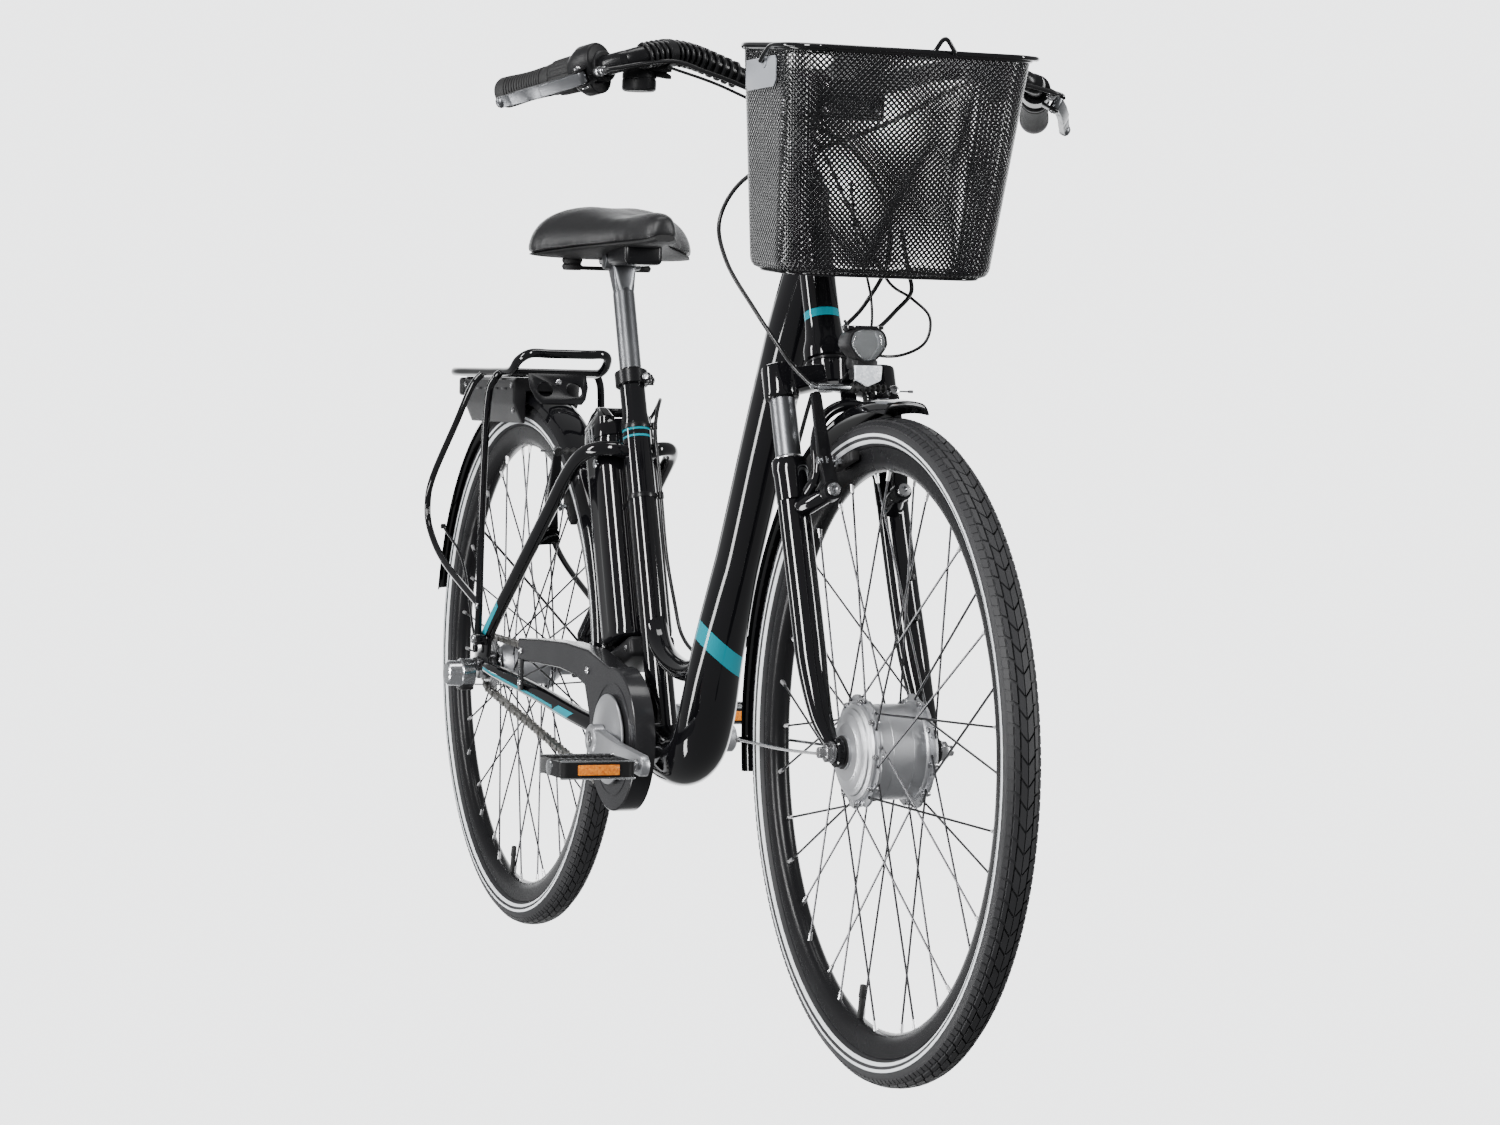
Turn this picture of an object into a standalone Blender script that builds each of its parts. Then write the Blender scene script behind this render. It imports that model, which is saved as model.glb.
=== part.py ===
"""Electric city bike: low-step frame, front hub motor, battery behind the seat tube.

Lengths are in metres. Stations are given from the point of the floor under the rear axle:
x forward, y to the rider's left, z up. SHIFT_X then centres the whole bike on the origin.
"""

import math

import bmesh
import bpy
from mathutils import Matrix, Vector

# Driving dimensions of the wheels and the frame
GAP = 0.0003
TYRE_RADIUS = 0.350
TYRE_HALF_WIDTH = 0.020
WHEELBASE = 1.224
FENDER_RADIUS = 0.3685
FENDER_HALF_WIDTH = 0.0255
FENDER_SHEET = 0.0018
REAR_FENDER_END = math.radians(167.0)
SHIFT_X = (FENDER_RADIUS * math.cos(math.pi - REAR_FENDER_END) - WHEELBASE - TYRE_RADIUS) / 2

AXLE_Z = TYRE_RADIUS
BB_X, BB_Z = 0.546, 0.300
CHAIN_Y = -0.050
SEAT_SLOPE = math.atan(0.3443)
STEER_BASE = (1.021, 0.0, 0.803)
STEER_LEAN = math.radians(20.0)
FORK_OFFSET = 0.0358
LEG_Y = 0.0625
AXLE_S = -0.4955

# Chain drive
PITCH = 0.0127
RING_TEETH = 38
SPROCKET_TEETH = 18
LINKS = 114

# Bar and grips
BAR_RADIUS = 0.0111
BAR_BORE = 0.0120
GRIP_END = (0.868, 0.320, 1.042)
GRIP_INNER = (0.980, 0.268, 1.060)
LEVER_TIP = (0.915, 0.337, 1.029)

WHEEL_STEPS = 36
SPOKES = 36

# Colours: name, base colour, roughness, metallic
FINISHES = {
    "gloss_black": ((0.008, 0.008, 0.010), 0.18, 0.0),
    "satin_black": ((0.015, 0.015, 0.017), 0.45, 0.0),
    "black_plastic": ((0.018, 0.018, 0.020), 0.50, 0.0),
    "rubber": ((0.020, 0.020, 0.020), 0.80, 0.0),
    "tyre_rubber": ((0.022, 0.022, 0.023), 0.85, 0.0),
    "saddle_vinyl": ((0.012, 0.012, 0.013), 0.40, 0.0),
    "silver": ((0.75, 0.76, 0.78), 0.28, 1.0),
    "steel": ((0.55, 0.56, 0.58), 0.35, 1.0),
    "chain_steel": ((0.50, 0.49, 0.46), 0.38, 1.0),
    "clear_plastic": ((0.85, 0.88, 0.90), 0.10, 0.0),
    "red_plastic": ((0.55, 0.02, 0.02), 0.25, 0.0),
}

for old in list(bpy.data.objects):
    bpy.data.objects.remove(old, do_unlink=True)

PARTS = bpy.data.collections.new("electric_city_bike")
CUTTERS = bpy.data.collections.new("cutters")
bpy.context.scene.collection.children.link(PARTS)
bpy.context.scene.collection.children.link(CUTTERS)


# Helpers

def spot(x, y, z):
    """A point given from under the rear axle, in the bike's own frame."""
    return Vector((x + SHIFT_X, y, z))


STEER_UP = Vector((-math.sin(STEER_LEAN), 0.0, math.cos(STEER_LEAN)))
STEER_FORE = Vector((math.cos(STEER_LEAN), 0.0, math.sin(STEER_LEAN)))
SEAT_UP = Vector((-math.sin(SEAT_SLOPE), 0.0, math.cos(SEAT_SLOPE)))
SEAT_BACK = Vector((-math.cos(SEAT_SLOPE), 0.0, -math.sin(SEAT_SLOPE)))
LEFT = Vector((0.0, 1.0, 0.0))
UP = Vector((0.0, 0.0, 1.0))
BB = spot(BB_X, 0.0, BB_Z)
REAR_AXLE = spot(0.0, 0.0, AXLE_Z)


def steer(s, fore, side):
    """A point on the fork: s up the steering axis, fore ahead of it, side to the left."""
    return spot(*STEER_BASE) + STEER_UP * s + STEER_FORE * fore + LEFT * side


def seat(t, back, side):
    """A point on the seat tube: t up from the bottom bracket, back behind the tube's axis."""
    return BB + SEAT_UP * t + SEAT_BACK * back + LEFT * side


FRONT_AXLE = steer(AXLE_S, FORK_OFFSET, 0.0)


def finish(name):
    """The material of a finish, made the first time it is used."""
    material = bpy.data.materials.get(name)
    if material is None:
        colour, roughness, metallic = FINISHES[name]
        material = bpy.data.materials.new(name)
        material.use_nodes = True
        shader = material.node_tree.nodes["Principled BSDF"]
        shader.inputs["Base Color"].default_value = (*colour, 1.0)
        shader.inputs["Roughness"].default_value = roughness
        shader.inputs["Metallic"].default_value = metallic
    return material


def keep(name, data, look):
    """A new object of the bike from mesh or curve data."""
    obj = bpy.data.objects.new(name, data)
    data.materials.append(finish(look).copy())
    PARTS.objects.link(obj)
    return obj


def from_bmesh(name, bm, look, recalc=True):
    if recalc:
        bmesh.ops.recalc_face_normals(bm, faces=bm.faces[:])
    mesh = bpy.data.meshes.new(name)
    bm.to_mesh(mesh)
    bm.free()
    return keep(name, mesh, look)


def frame_at(origin, direction, toward=None):
    """A matrix at origin whose Z runs along direction and whose X leans toward a vector."""
    z_axis = Vector(direction).normalized()
    hint = Vector(toward) if toward is not None else Vector((1.0, 0.0, 0.0))
    if abs(hint.normalized().dot(z_axis)) > 0.98:
        hint = Vector((0.0, 0.0, 1.0))
    x_axis = (hint - z_axis * hint.dot(z_axis)).normalized()
    y_axis = z_axis.cross(x_axis)
    matrix = Matrix((x_axis, y_axis, z_axis)).transposed().to_4x4()
    matrix.translation = origin
    return matrix


def smooth_sides(obj, angle=40.0):
    obj.data.shade_smooth()
    obj.data.set_sharp_from_angle(angle=math.radians(angle))


def baked(obj):
    """The object as one plain welded mesh in world space, with its modifiers applied."""
    bpy.context.view_layer.update()
    graph = bpy.context.evaluated_depsgraph_get()
    mesh = bpy.data.meshes.new_from_object(obj.evaluated_get(graph))
    mesh.transform(obj.matrix_world)
    bm = bmesh.new()
    bm.from_mesh(mesh)
    bmesh.ops.remove_doubles(bm, verts=bm.verts[:], dist=0.00001)
    bm.to_mesh(mesh)
    bm.free()
    name = obj.name
    bpy.data.objects.remove(obj, do_unlink=True)
    new = bpy.data.objects.new(name, mesh)
    new.name = name
    PARTS.objects.link(new)
    return new


def rod(name, start, end, radius, look, sides=16, end_radius=None):
    """A closed round bar between two points."""
    start, end = Vector(start), Vector(end)
    bm = bmesh.new()
    bmesh.ops.create_cone(bm, cap_ends=True, segments=sides, radius1=radius,
                          radius2=radius if end_radius is None else end_radius,
                          depth=(end - start).length)
    matrix = frame_at((start + end) / 2, end - start)
    bmesh.ops.transform(bm, matrix=matrix, verts=bm.verts)
    obj = from_bmesh(name, bm, look)
    smooth_sides(obj)
    return obj


def block(name, centre, size, look, matrix=None, bevel=0.0):
    """A box with optional rounded edges, turned by matrix about its centre."""
    bm = bmesh.new()
    bmesh.ops.create_cube(bm, size=1.0)
    bmesh.ops.scale(bm, vec=Vector(size), verts=bm.verts)
    if bevel:
        bmesh.ops.bevel(bm, geom=bm.edges[:], offset=bevel, segments=1, profile=0.5,
                        affect="EDGES")
    place = (matrix.to_3x3().to_4x4() if matrix else Matrix.Identity(4))
    bmesh.ops.transform(bm, matrix=Matrix.Translation(centre) @ place, verts=bm.verts)
    return from_bmesh(name, bm, look)


def turned(name, profile, origin, direction, look, steps=24, closed=False, toward=None):
    """A turned piece: profile points (radius, height) down the outer side, on a Screw."""
    bm = bmesh.new()
    verts = [bm.verts.new((radius, 0.0, height)) for radius, height in profile]
    for first, second in zip(verts, verts[1:]):
        bm.edges.new((first, second))
    if closed:
        bm.edges.new((verts[-1], verts[0]))
    mesh = bpy.data.meshes.new(name)
    bm.to_mesh(mesh)
    bm.free()
    obj = keep(name, mesh, look)
    obj.matrix_world = frame_at(origin, direction, toward)
    screw = obj.modifiers.new("turn", "SCREW")
    screw.steps = steps
    screw.render_steps = steps
    screw.use_merge_vertices = True
    screw.merge_threshold = 0.00002
    screw.use_smooth_shade = True
    obj = baked(obj)
    smooth_sides(obj)
    return obj


def curved(points, per_span=4, cyclic=False):
    """A smooth route through the points, per_span steps between each pair."""
    pts = [Vector(p) for p in points]
    count = len(pts)
    spans = count if cyclic else count - 1
    route = []
    for i in range(spans):
        p1 = pts[i]
        p2 = pts[(i + 1) % count]
        p0 = pts[i - 1] if (cyclic or i > 0) else p1 * 2 - p2
        p3 = pts[(i + 2) % count] if (cyclic or i + 2 < count) else p2 * 2 - p1
        for k in range(per_span):
            t = k / per_span
            route.append(0.5 * (2 * p1 + (p2 - p0) * t + (2 * p0 - 5 * p1 + 4 * p2 - p3) * t * t
                                + (3 * p1 - p0 - 3 * p2 + p3) * t ** 3))
    if not cyclic:
        route.append(pts[-1])
    return route


def tube(name, route, radius, look, sides=8, cyclic=False, taper=None):
    """A tube along the route; taper gives a radius factor at each share of the way."""
    curve = bpy.data.curves.new(name, "CURVE")
    curve.dimensions = "3D"
    curve.bevel_depth = radius
    curve.bevel_resolution = (sides - 4) // 2
    curve.use_fill_caps = not cyclic
    spline = curve.splines.new("POLY")
    spline.points.add(len(route) - 1)
    spline.use_cyclic_u = cyclic
    for i, place in enumerate(route):
        spline.points[i].co = (*place, 1.0)
        if taper:
            spline.points[i].radius = taper(i / (len(route) - 1))
    obj = baked(keep(name, curve, look))
    smooth_sides(obj, 60.0)
    return obj


def rings_hull(name, rings, look):
    """The tight skin round a few discs, each (centre, axis, radius, half thickness, sides)."""
    bm = bmesh.new()
    for centre, axis, radius, half, sides in rings:
        matrix = frame_at(Vector(centre), axis)
        for height in (-half, half):
            for i in range(sides):
                angle = 2 * math.pi * i / sides
                bm.verts.new(matrix @ Vector((radius * math.cos(angle),
                                              radius * math.sin(angle), height)))
    bmesh.ops.convex_hull(bm, input=bm.verts[:], use_existing_faces=False)
    inside = [vertex for vertex in bm.verts if not vertex.link_faces]
    bmesh.ops.delete(bm, geom=inside, context="VERTS")
    bmesh.ops.dissolve_limit(bm, angle_limit=math.radians(0.5), verts=bm.verts[:],
                             edges=bm.edges[:])
    obj = from_bmesh(name, bm, look)
    smooth_sides(obj)
    return obj


def plate(name, outline, thickness, matrix, look, holes=()):
    """A flat cut-out: outline and holes in the matrix's XY plane, thickness along its Z."""
    curve = bpy.data.curves.new(name, "CURVE")
    curve.dimensions = "2D"
    curve.fill_mode = "BOTH"
    curve.extrude = thickness / 2
    for loop in (outline, *holes):
        spline = curve.splines.new("POLY")
        spline.points.add(len(loop) - 1)
        spline.use_cyclic_u = True
        for i, (u, v) in enumerate(loop):
            spline.points[i].co = (u, v, 0.0, 1.0)
    obj = keep(name, curve, look)
    obj.matrix_world = matrix
    obj = baked(obj)
    smooth_sides(obj, 30.0)
    return obj


def side_plane(y):
    """The vertical plane at y, with local X forward and local Y up."""
    matrix = Matrix(((1, 0, 0, SHIFT_X), (0, 0, -1, y), (0, 1, 0, 0), (0, 0, 0, 1)))
    return matrix


def fuse(name, pieces, look):
    """Join overlapping pieces into one solid."""
    base = pieces[0]
    for i, other in enumerate(pieces[1:]):
        union = base.modifiers.new("join_%d" % i, "BOOLEAN")
        union.operation = "UNION"
        union.solver = "EXACT"
        union.object = other
    whole = baked(base)
    for other in pieces[1:]:
        bpy.data.objects.remove(other, do_unlink=True)
    whole.name = name
    whole.data.materials.clear()
    whole.data.materials.append(finish(look).copy())
    smooth_sides(whole)
    return whole


def carve(obj, *tools):
    """Cut each tool out of the piece; the tools move to the cutters."""
    for tool in tools:
        if tool.name in PARTS.objects:
            PARTS.objects.unlink(tool)
            CUTTERS.objects.link(tool)
        tool.hide_render = True
        tool.display_type = "WIRE"
        cut = obj.modifiers.new("cut_" + tool.name, "BOOLEAN")
        cut.operation = "DIFFERENCE"
        cut.solver = "EXACT"
        cut.object = tool
    return obj


def body(name, place, *pieces, parent=None):
    """An empty on a joint's axis that carries the pieces of one moving body."""
    empty = bpy.data.objects.new(name + "_axis", None)
    empty.empty_display_size = 0.03
    PARTS.objects.link(empty)
    empty.location = place
    if parent is not None:
        empty.parent = parent
        bpy.context.view_layer.update()
        empty.matrix_parent_inverse = parent.matrix_world.inverted()
    bpy.context.view_layer.update()
    for piece in pieces:
        piece.parent = empty
        piece.matrix_parent_inverse = empty.matrix_world.inverted()
    return empty


# Frame

HEAD_BOTTOM, HEAD_TOP = -0.048, 0.150
HEAD_RADIUS = 0.0195
HEAD_BORE = 0.0150
DOWN_DEPTH = 0.0325
DOWN_FLATTEN = 0.77
SEAT_TUBE_TOP = 0.4707
POST_RADIUS = 0.0136
SHELL_HALF = 0.0365
SHELL_RADIUS = 0.0210
DROPOUT_Y = 0.0675


def make_head_tube():
    flare = 0.0250
    top_flare = 0.0235
    profile = [(HEAD_BORE, HEAD_TOP), (top_flare, HEAD_TOP), (top_flare, HEAD_TOP - 0.012),
               (HEAD_RADIUS, HEAD_TOP - 0.018), (HEAD_RADIUS, HEAD_BOTTOM + 0.026),
               (flare, HEAD_BOTTOM + 0.014), (flare, HEAD_BOTTOM), (HEAD_BORE, HEAD_BOTTOM)]
    return turned("head_tube", profile, spot(*STEER_BASE), STEER_UP, "gloss_black", 16, True)


DOWN_LINE = [(0.987, 0, 0.891), (0.930, 0, 0.795), (0.850, 0, 0.661), (0.770, 0, 0.527),
             (0.720, 0, 0.4435), (0.694, 0, 0.398), (0.676, 0, 0.352), (0.652, 0, 0.315),
             (0.620, 0, 0.296), (0.585, 0, 0.292), (0.556, 0, 0.296)]


def down_tube_solid(name, grow):
    """The bent oval beam, narrower where it meets the head tube."""
    solid = tube(name, [spot(*p) for p in DOWN_LINE], DOWN_DEPTH + grow, "gloss_black", 10)
    for vertex in solid.data.vertices:
        narrowing = max(0.0, min(1.0, (vertex.co.z - 0.790) / 0.100))
        vertex.co.y *= DOWN_FLATTEN - 0.17 * narrowing
    return solid


def make_down_tube():
    down = down_tube_solid("down_tube", 0.0)
    head_tool = rod("down_tube_head_cut", steer(-0.1, 0, 0), steer(0.2, 0, 0),
                    HEAD_RADIUS + GAP, "steel", 20)
    shell_tool = rod("down_tube_shell_cut", BB - LEFT * 0.1, BB + LEFT * 0.1,
                     SHELL_RADIUS + GAP, "steel", 24)
    return carve(down, head_tool, shell_tool)


def make_seat_tube():
    thick, thin = 0.0175, 0.0159
    cuff = 0.4125
    bore = 0.0144
    bore_floor = 0.200
    profile = [(0, bore_floor), (bore, bore_floor), (bore, SEAT_TUBE_TOP),
               (thin, SEAT_TUBE_TOP), (thin, cuff), (thick, cuff - 0.010), (thick, 0.012),
               (0, 0.012)]
    tube_part = turned("seat_tube", profile, BB, SEAT_UP, "gloss_black", 14)
    rail = block("rail", seat(0.285, 0.0190, 0), (0.0070, 0.024, 0.250), "gloss_black",
                 frame_at(BB, SEAT_UP, -SEAT_BACK))
    cradle = block("cradle", seat(0.120, 0.056, 0), (0.090, 0.060, 0.026), "gloss_black",
                   frame_at(BB, SEAT_UP, -SEAT_BACK), 0.004)
    whole = fuse("seat_tube", [tube_part, rail, cradle], "gloss_black")
    shell_tool = rod("seat_tube_shell_cut", BB - LEFT * 0.1, BB + LEFT * 0.1,
                     SHELL_RADIUS + GAP, "steel", 24)
    return carve(whole, shell_tool)


def make_cross_strut():
    line = [(0.492, 0, 0.457), (0.503, 0, 0.430), (0.525, 0, 0.406), (0.560, 0, 0.391),
            (0.605, 0, 0.385), (0.650, 0, 0.391), (0.700, 0, 0.412)]
    strut = tube("cross_strut", [spot(*p) for p in line], 0.0135, "gloss_black", 10)
    seat_tool = rod("strut_seat_cut", seat(0.0, 0, 0), seat(0.6, 0, 0), 0.0175 + GAP,
                    "steel", 20)
    return carve(strut, seat_tool, down_tube_solid("strut_down_cut", GAP))


def make_shell():
    bore = 0.0092
    profile = [(bore, SHELL_HALF), (0.0185, SHELL_HALF), (0.0185, SHELL_HALF - 0.003),
               (SHELL_RADIUS, SHELL_HALF - 0.003), (SHELL_RADIUS, 0.003 - SHELL_HALF),
               (0.0185, 0.003 - SHELL_HALF), (0.0185, -SHELL_HALF), (bore, -SHELL_HALF)]
    return turned("bottom_bracket_shell", profile, BB, LEFT, "gloss_black", 14, True)


def dropout(name, side, grow=0.0):
    """The flat end plate between chainstay, seatstay and rear axle."""
    half = 0.003 + grow
    y = side * DROPOUT_Y
    discs = [((0.000, 0.350), 0.020), ((0.036, 0.3475), 0.013), ((0.034, 0.386), 0.010)]
    rings = [(spot(x, y, z), LEFT, radius + grow, half, 10) for (x, z), radius in discs]
    return rings_hull(name, rings, "gloss_black")


def make_chainstay(word, side):
    line = [(0.528, 0.024, 0.303), (0.470, 0.0300, 0.308), (0.400, 0.0395, 0.316),
            (0.330, 0.0450, 0.322), (0.220, 0.0520, 0.332), (0.110, 0.0620, 0.3415),
            (0.060, 0.0665, 0.3455), (0.034, 0.0675, 0.3475)]
    points = [(x, side * y, z) for x, y, z in line]
    stay = tube(word + "_stay_tube", [spot(*p) for p in curved(points, 1)], 0.0115,
                "gloss_black", 8, taper=lambda t: 1.0 - 0.36 * max(0.0, t - 0.5) * 2)
    end = dropout(word + "_dropout", side)
    whole = fuse(word + "_chainstay", [stay, end], "gloss_black")
    shell_tool = rod(word + "_stay_shell_cut", BB - LEFT * 0.1, BB + LEFT * 0.1,
                     SHELL_RADIUS + GAP, "steel", 24)
    axle_tool = rod(word + "_stay_axle_cut", REAR_AXLE + LEFT * side * 0.060,
                    REAR_AXLE + LEFT * side * 0.080, 0.0054, "steel", 12)
    return carve(whole, shell_tool, axle_tool)


REAR_PIVOT = spot(0.2187, 0.0, 0.5296)
REAR_ARM_UP = Vector((0.33, 0.0, 0.944)).normalized()
REAR_ARM_OUT = Vector((-0.944, 0.0, 0.33)).normalized()
FRONT_PIVOT = steer(-0.2188, 0.0, 0.0)
PIVOT_Y = 0.040
BOSS_RADIUS = 0.0050


def make_seatstay(word, side):
    line = [(0.4262, 0.0150, 0.6440), (0.4240, 0.0300, 0.6480), (0.4080, 0.0480, 0.6470),
            (0.3800, 0.0590, 0.6370), (0.3350, 0.0625, 0.6100), (0.2600, 0.0635, 0.5560),
            (0.0500, 0.0672, 0.4050), (0.0360, 0.0675, 0.3900)]
    points = [(x, side * y, z) for x, y, z in line]
    stay = tube(word + "_seat_stay_tube", [spot(*p) for p in curved(points, 1)], 0.0090,
                "gloss_black", 8)
    y = side * PIVOT_Y
    foot = REAR_PIVOT - REAR_ARM_OUT * 0.004
    lug = rings_hull(word + "_lug", [(foot + LEFT * y, REAR_ARM_OUT, 0.0085, 0.005, 8),
                                     (foot + LEFT * side * 0.061, REAR_ARM_OUT, 0.0070, 0.005, 8)],
                     "gloss_black")
    pin = rod(word + "_pin", REAR_PIVOT + LEFT * y - REAR_ARM_OUT * 0.006,
              REAR_PIVOT + LEFT * y + REAR_ARM_OUT * 0.0185, BOSS_RADIUS, "steel", 8)
    head = rod(word + "_head", REAR_PIVOT + LEFT * y + REAR_ARM_OUT * 0.0175,
               REAR_PIVOT + LEFT * y + REAR_ARM_OUT * 0.0225, 0.0075, "steel", 6)
    whole = fuse(word + "_seatstay", [stay, lug, pin, head], "gloss_black")
    seat_tool = rod(word + "_seatstay_tube_cut", seat(0.2, 0, 0), seat(0.5, 0, 0),
                    0.0175 + GAP, "steel", 20)
    return carve(whole, seat_tool, dropout(word + "_dropout_cut", side, GAP))


def make_seat_clamp():
    inner = 0.0169
    profile = [(inner, 0.008), (0.0205, 0.008), (0.0205, -0.010), (inner, -0.010)]
    ring = turned("clamp_ring", profile, seat(0.460, 0, 0), SEAT_UP, "satin_black", 14, True)
    ear_dir = Vector((0.64, 0.77, 0.0))
    ear = block("clamp_ear", seat(0.460, 0, 0) + ear_dir * 0.0225, (0.009, 0.016, 0.014),
                "satin_black", frame_at(BB, SEAT_UP, ear_dir), 0.001)
    bolt_dir = SEAT_UP.cross(ear_dir).normalized()
    centre = seat(0.460, 0, 0) + ear_dir * 0.0235
    bolt = rod("clamp_bolt", centre - bolt_dir * 0.012, centre + bolt_dir * 0.012, 0.003,
               "satin_black", 8)
    return fuse("seat_clamp", [ring, ear, bolt], "satin_black")


def fender_sheet(name, centre, start, end, steps):
    """An arched mudguard over a wheel, from angle start to end, forward to back."""
    half, crown = FENDER_HALF_WIDTH, FENDER_RADIUS - FENDER_SHEET
    section = [(-half, crown - 0.0140), (-half + 0.0060, crown - 0.0030), (0.0, crown),
               (half - 0.0060, crown - 0.0030), (half, crown - 0.0140)]
    bm = bmesh.new()
    verts = [bm.verts.new((radius * math.cos(start), y, radius * math.sin(start)))
             for y, radius in section]
    edges = [bm.edges.new(pair) for pair in zip(verts, verts[1:])]
    bmesh.ops.spin(bm, geom=verts + edges, cent=(0, 0, 0), axis=(0, -1, 0),
                   angle=end - start, steps=steps, use_merge=False)
    bmesh.ops.remove_doubles(bm, verts=bm.verts[:], dist=0.00001)
    for face in bm.faces:
        face.normal_update()
        if face.normal.dot(face.calc_center_median()) < 0:
            face.normal_flip()
    bmesh.ops.translate(bm, vec=centre, verts=bm.verts)
    sheet = from_bmesh(name, bm, "gloss_black", recalc=False)
    wall = sheet.modifiers.new("wall", "SOLIDIFY")
    wall.thickness = FENDER_SHEET
    wall.offset = 1.0
    sheet = baked(sheet)
    smooth_sides(sheet)
    return sheet


def make_rear_fender():
    sheet = fender_sheet("sheet", REAR_AXLE, math.radians(4.0), REAR_FENDER_END, 14)
    stays = []
    for side in (-1, 1):
        route = [spot(0.006, side * 0.0760, 0.372), spot(-0.05, side * 0.064, 0.402),
                 spot(-0.20, side * 0.034, 0.4790), spot(-0.3210, side * 0.0265, 0.5210)]
        stays.append(tube("wire", route, 0.0020, "gloss_black", 6))
    return fuse("rear_fender", [sheet, *stays], "gloss_black")


def make_rack():
    radius = 0.0060
    loop = [(0.095, -0.0620, 0.7420), (0.125, -0.0610, 0.7560), (0.143, -0.0500, 0.7650),
            (0.147, -0.0250, 0.7650), (0.147, 0.0250, 0.7650), (0.143, 0.0500, 0.7650),
            (0.125, 0.0610, 0.7560), (0.095, 0.0620, 0.7420), (-0.150, 0.0620, 0.7400),
            (-0.168, 0.0560, 0.7400), (-0.176, 0.0350, 0.7400), (-0.176, -0.0350, 0.7400),
            (-0.168, -0.0560, 0.7400), (-0.150, -0.0620, 0.7400)]
    pieces = [tube("loop", [spot(*p) for p in loop], radius, "satin_black", 6, cyclic=True)]
    for x in (0.097, -0.030, -0.150):
        pieces.append(rod("bar", spot(x, -0.0620, 0.7415), spot(x, 0.0620, 0.7415), 0.0045,
                          "satin_black", 6))
    for side in (-1, 1):
        stay = [(0.062, side * 0.0630, 0.7400), (0.060, side * 0.0720, 0.7320),
                (0.050, side * 0.0790, 0.7000), (0.040, side * 0.0824, 0.4300),
                (0.036, side * 0.0824, 0.3840)]
        pieces.append(tube("stay", [spot(*p) for p in stay], 0.0050, "satin_black", 6))
        bow = [(-0.020, side * 0.0630, 0.7400), (-0.040, side * 0.0740, 0.7200),
               (-0.090, side * 0.0800, 0.6700), (-0.175, side * 0.0860, 0.5950),
               (-0.195, side * 0.0870, 0.5550), (-0.178, side * 0.0870, 0.5200),
               (-0.110, side * 0.0860, 0.4800), (0.042, side * 0.0820, 0.4300)]
        pieces.append(tube("bow", [spot(*p) for p in bow], 0.0045, "satin_black", 6))
    top, low = spot(0.097, 0, 0.7400), spot(0.121, 0, 0.7008)
    down = low - top
    outline = [(-0.040, 0.0), (0.040, 0.0), (0.034, -0.012), (0.030, -down.length),
               (-0.030, -down.length), (-0.034, -0.012)]
    holes = []
    for sign in (-1, 1):
        holes.append([(sign * 0.004, -0.009), (sign * 0.024, -0.009), (sign * 0.020, -0.036),
                      (sign * 0.004, -0.032)])
    normal = LEFT.cross(-down).normalized()
    pieces.append(plate("bracket", outline, 0.0040, frame_at(top, normal, LEFT), "satin_black",
                        holes))
    return fuse("rear_rack", pieces, "satin_black")


def make_controller():
    box_low, box_high = (-0.172, 0.672), (0.060, 0.7335)
    outline = [(box_low[0], box_high[1]), (box_low[0], box_low[1] + 0.012),
               (box_low[0] + 0.014, box_low[1]), (box_high[0] - 0.010, box_low[1]),
               (box_high[0], box_low[1] + 0.012), (box_high[0], box_high[1])]
    shell = plate("controller_box", outline, 0.090, side_plane(0.0), "black_plastic")
    arch = rod("controller_arch", REAR_AXLE - LEFT * 0.0295, REAR_AXLE + LEFT * 0.0295,
               FENDER_RADIUS + 0.0014, "steel", 64)
    slots = []
    for x in (-0.030, -0.150):
        slots.append(rod("controller_bar_cut", spot(x, -0.06, 0.7412), spot(x, 0.06, 0.7412),
                         0.0052 + GAP, "steel", 8))
    tools = [arch]
    for side in (-1, 1):
        tools.append(block("controller_step", spot(-0.05, side * 0.0465, 0.7400),
                           (0.30, 0.006, 0.030), "steel"))
    return carve(shell, *tools, *slots)


def make_rear_light():
    light = rings_hull("rear_light", [(spot(-0.1880, -0.035, 0.7200), (1, 0, 0), 0.012, 0.006, 10),
                                      (spot(-0.1880, 0.035, 0.7200), (1, 0, 0), 0.012, 0.006, 10)],
                       "red_plastic")
    return light


def make_rear_axle():
    rod_part = rod("rod", REAR_AXLE - LEFT * 0.086, REAR_AXLE + LEFT * 0.081, 0.0050, "steel", 8)
    pieces = [rod_part]
    for side in (-1, 1):
        pieces.append(rod("inner_nut", REAR_AXLE + LEFT * side * 0.0603,
                          REAR_AXLE + LEFT * side * 0.0642, 0.0095, "steel", 6))
        pieces.append(rod("outer_nut", REAR_AXLE + LEFT * side * 0.0708,
                          REAR_AXLE + LEFT * side * 0.0778, 0.0088, "steel", 6))
    return fuse("rear_axle", pieces, "steel")


def make_hub_cap():
    centre = spot(0.003, 0, 0.338)
    cap = rings_hull("gear_hub_cap", [(centre - LEFT * 0.088, LEFT, 0.0195, 0.0095, 16),
                                      (centre - LEFT * 0.106, LEFT, 0.0165, 0.0090, 16)],
                     "silver")
    bore = rod("hub_cap_bore", REAR_AXLE - LEFT * 0.070, REAR_AXLE - LEFT * 0.0865, 0.0056,
               "steel", 12)
    return carve(cap, bore)


# Chain drive

def gear_outline(teeth, root, tip):
    """Tooth outline round the origin, a pointed tooth between each two pins."""
    points = []
    for i in range(teeth):
        for share, radius in ((0.0, root), (0.5, tip)):
            angle = 2 * math.pi * (i + share) / teeth
            points.append((radius * math.cos(angle), radius * math.sin(angle)))
    return points


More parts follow.
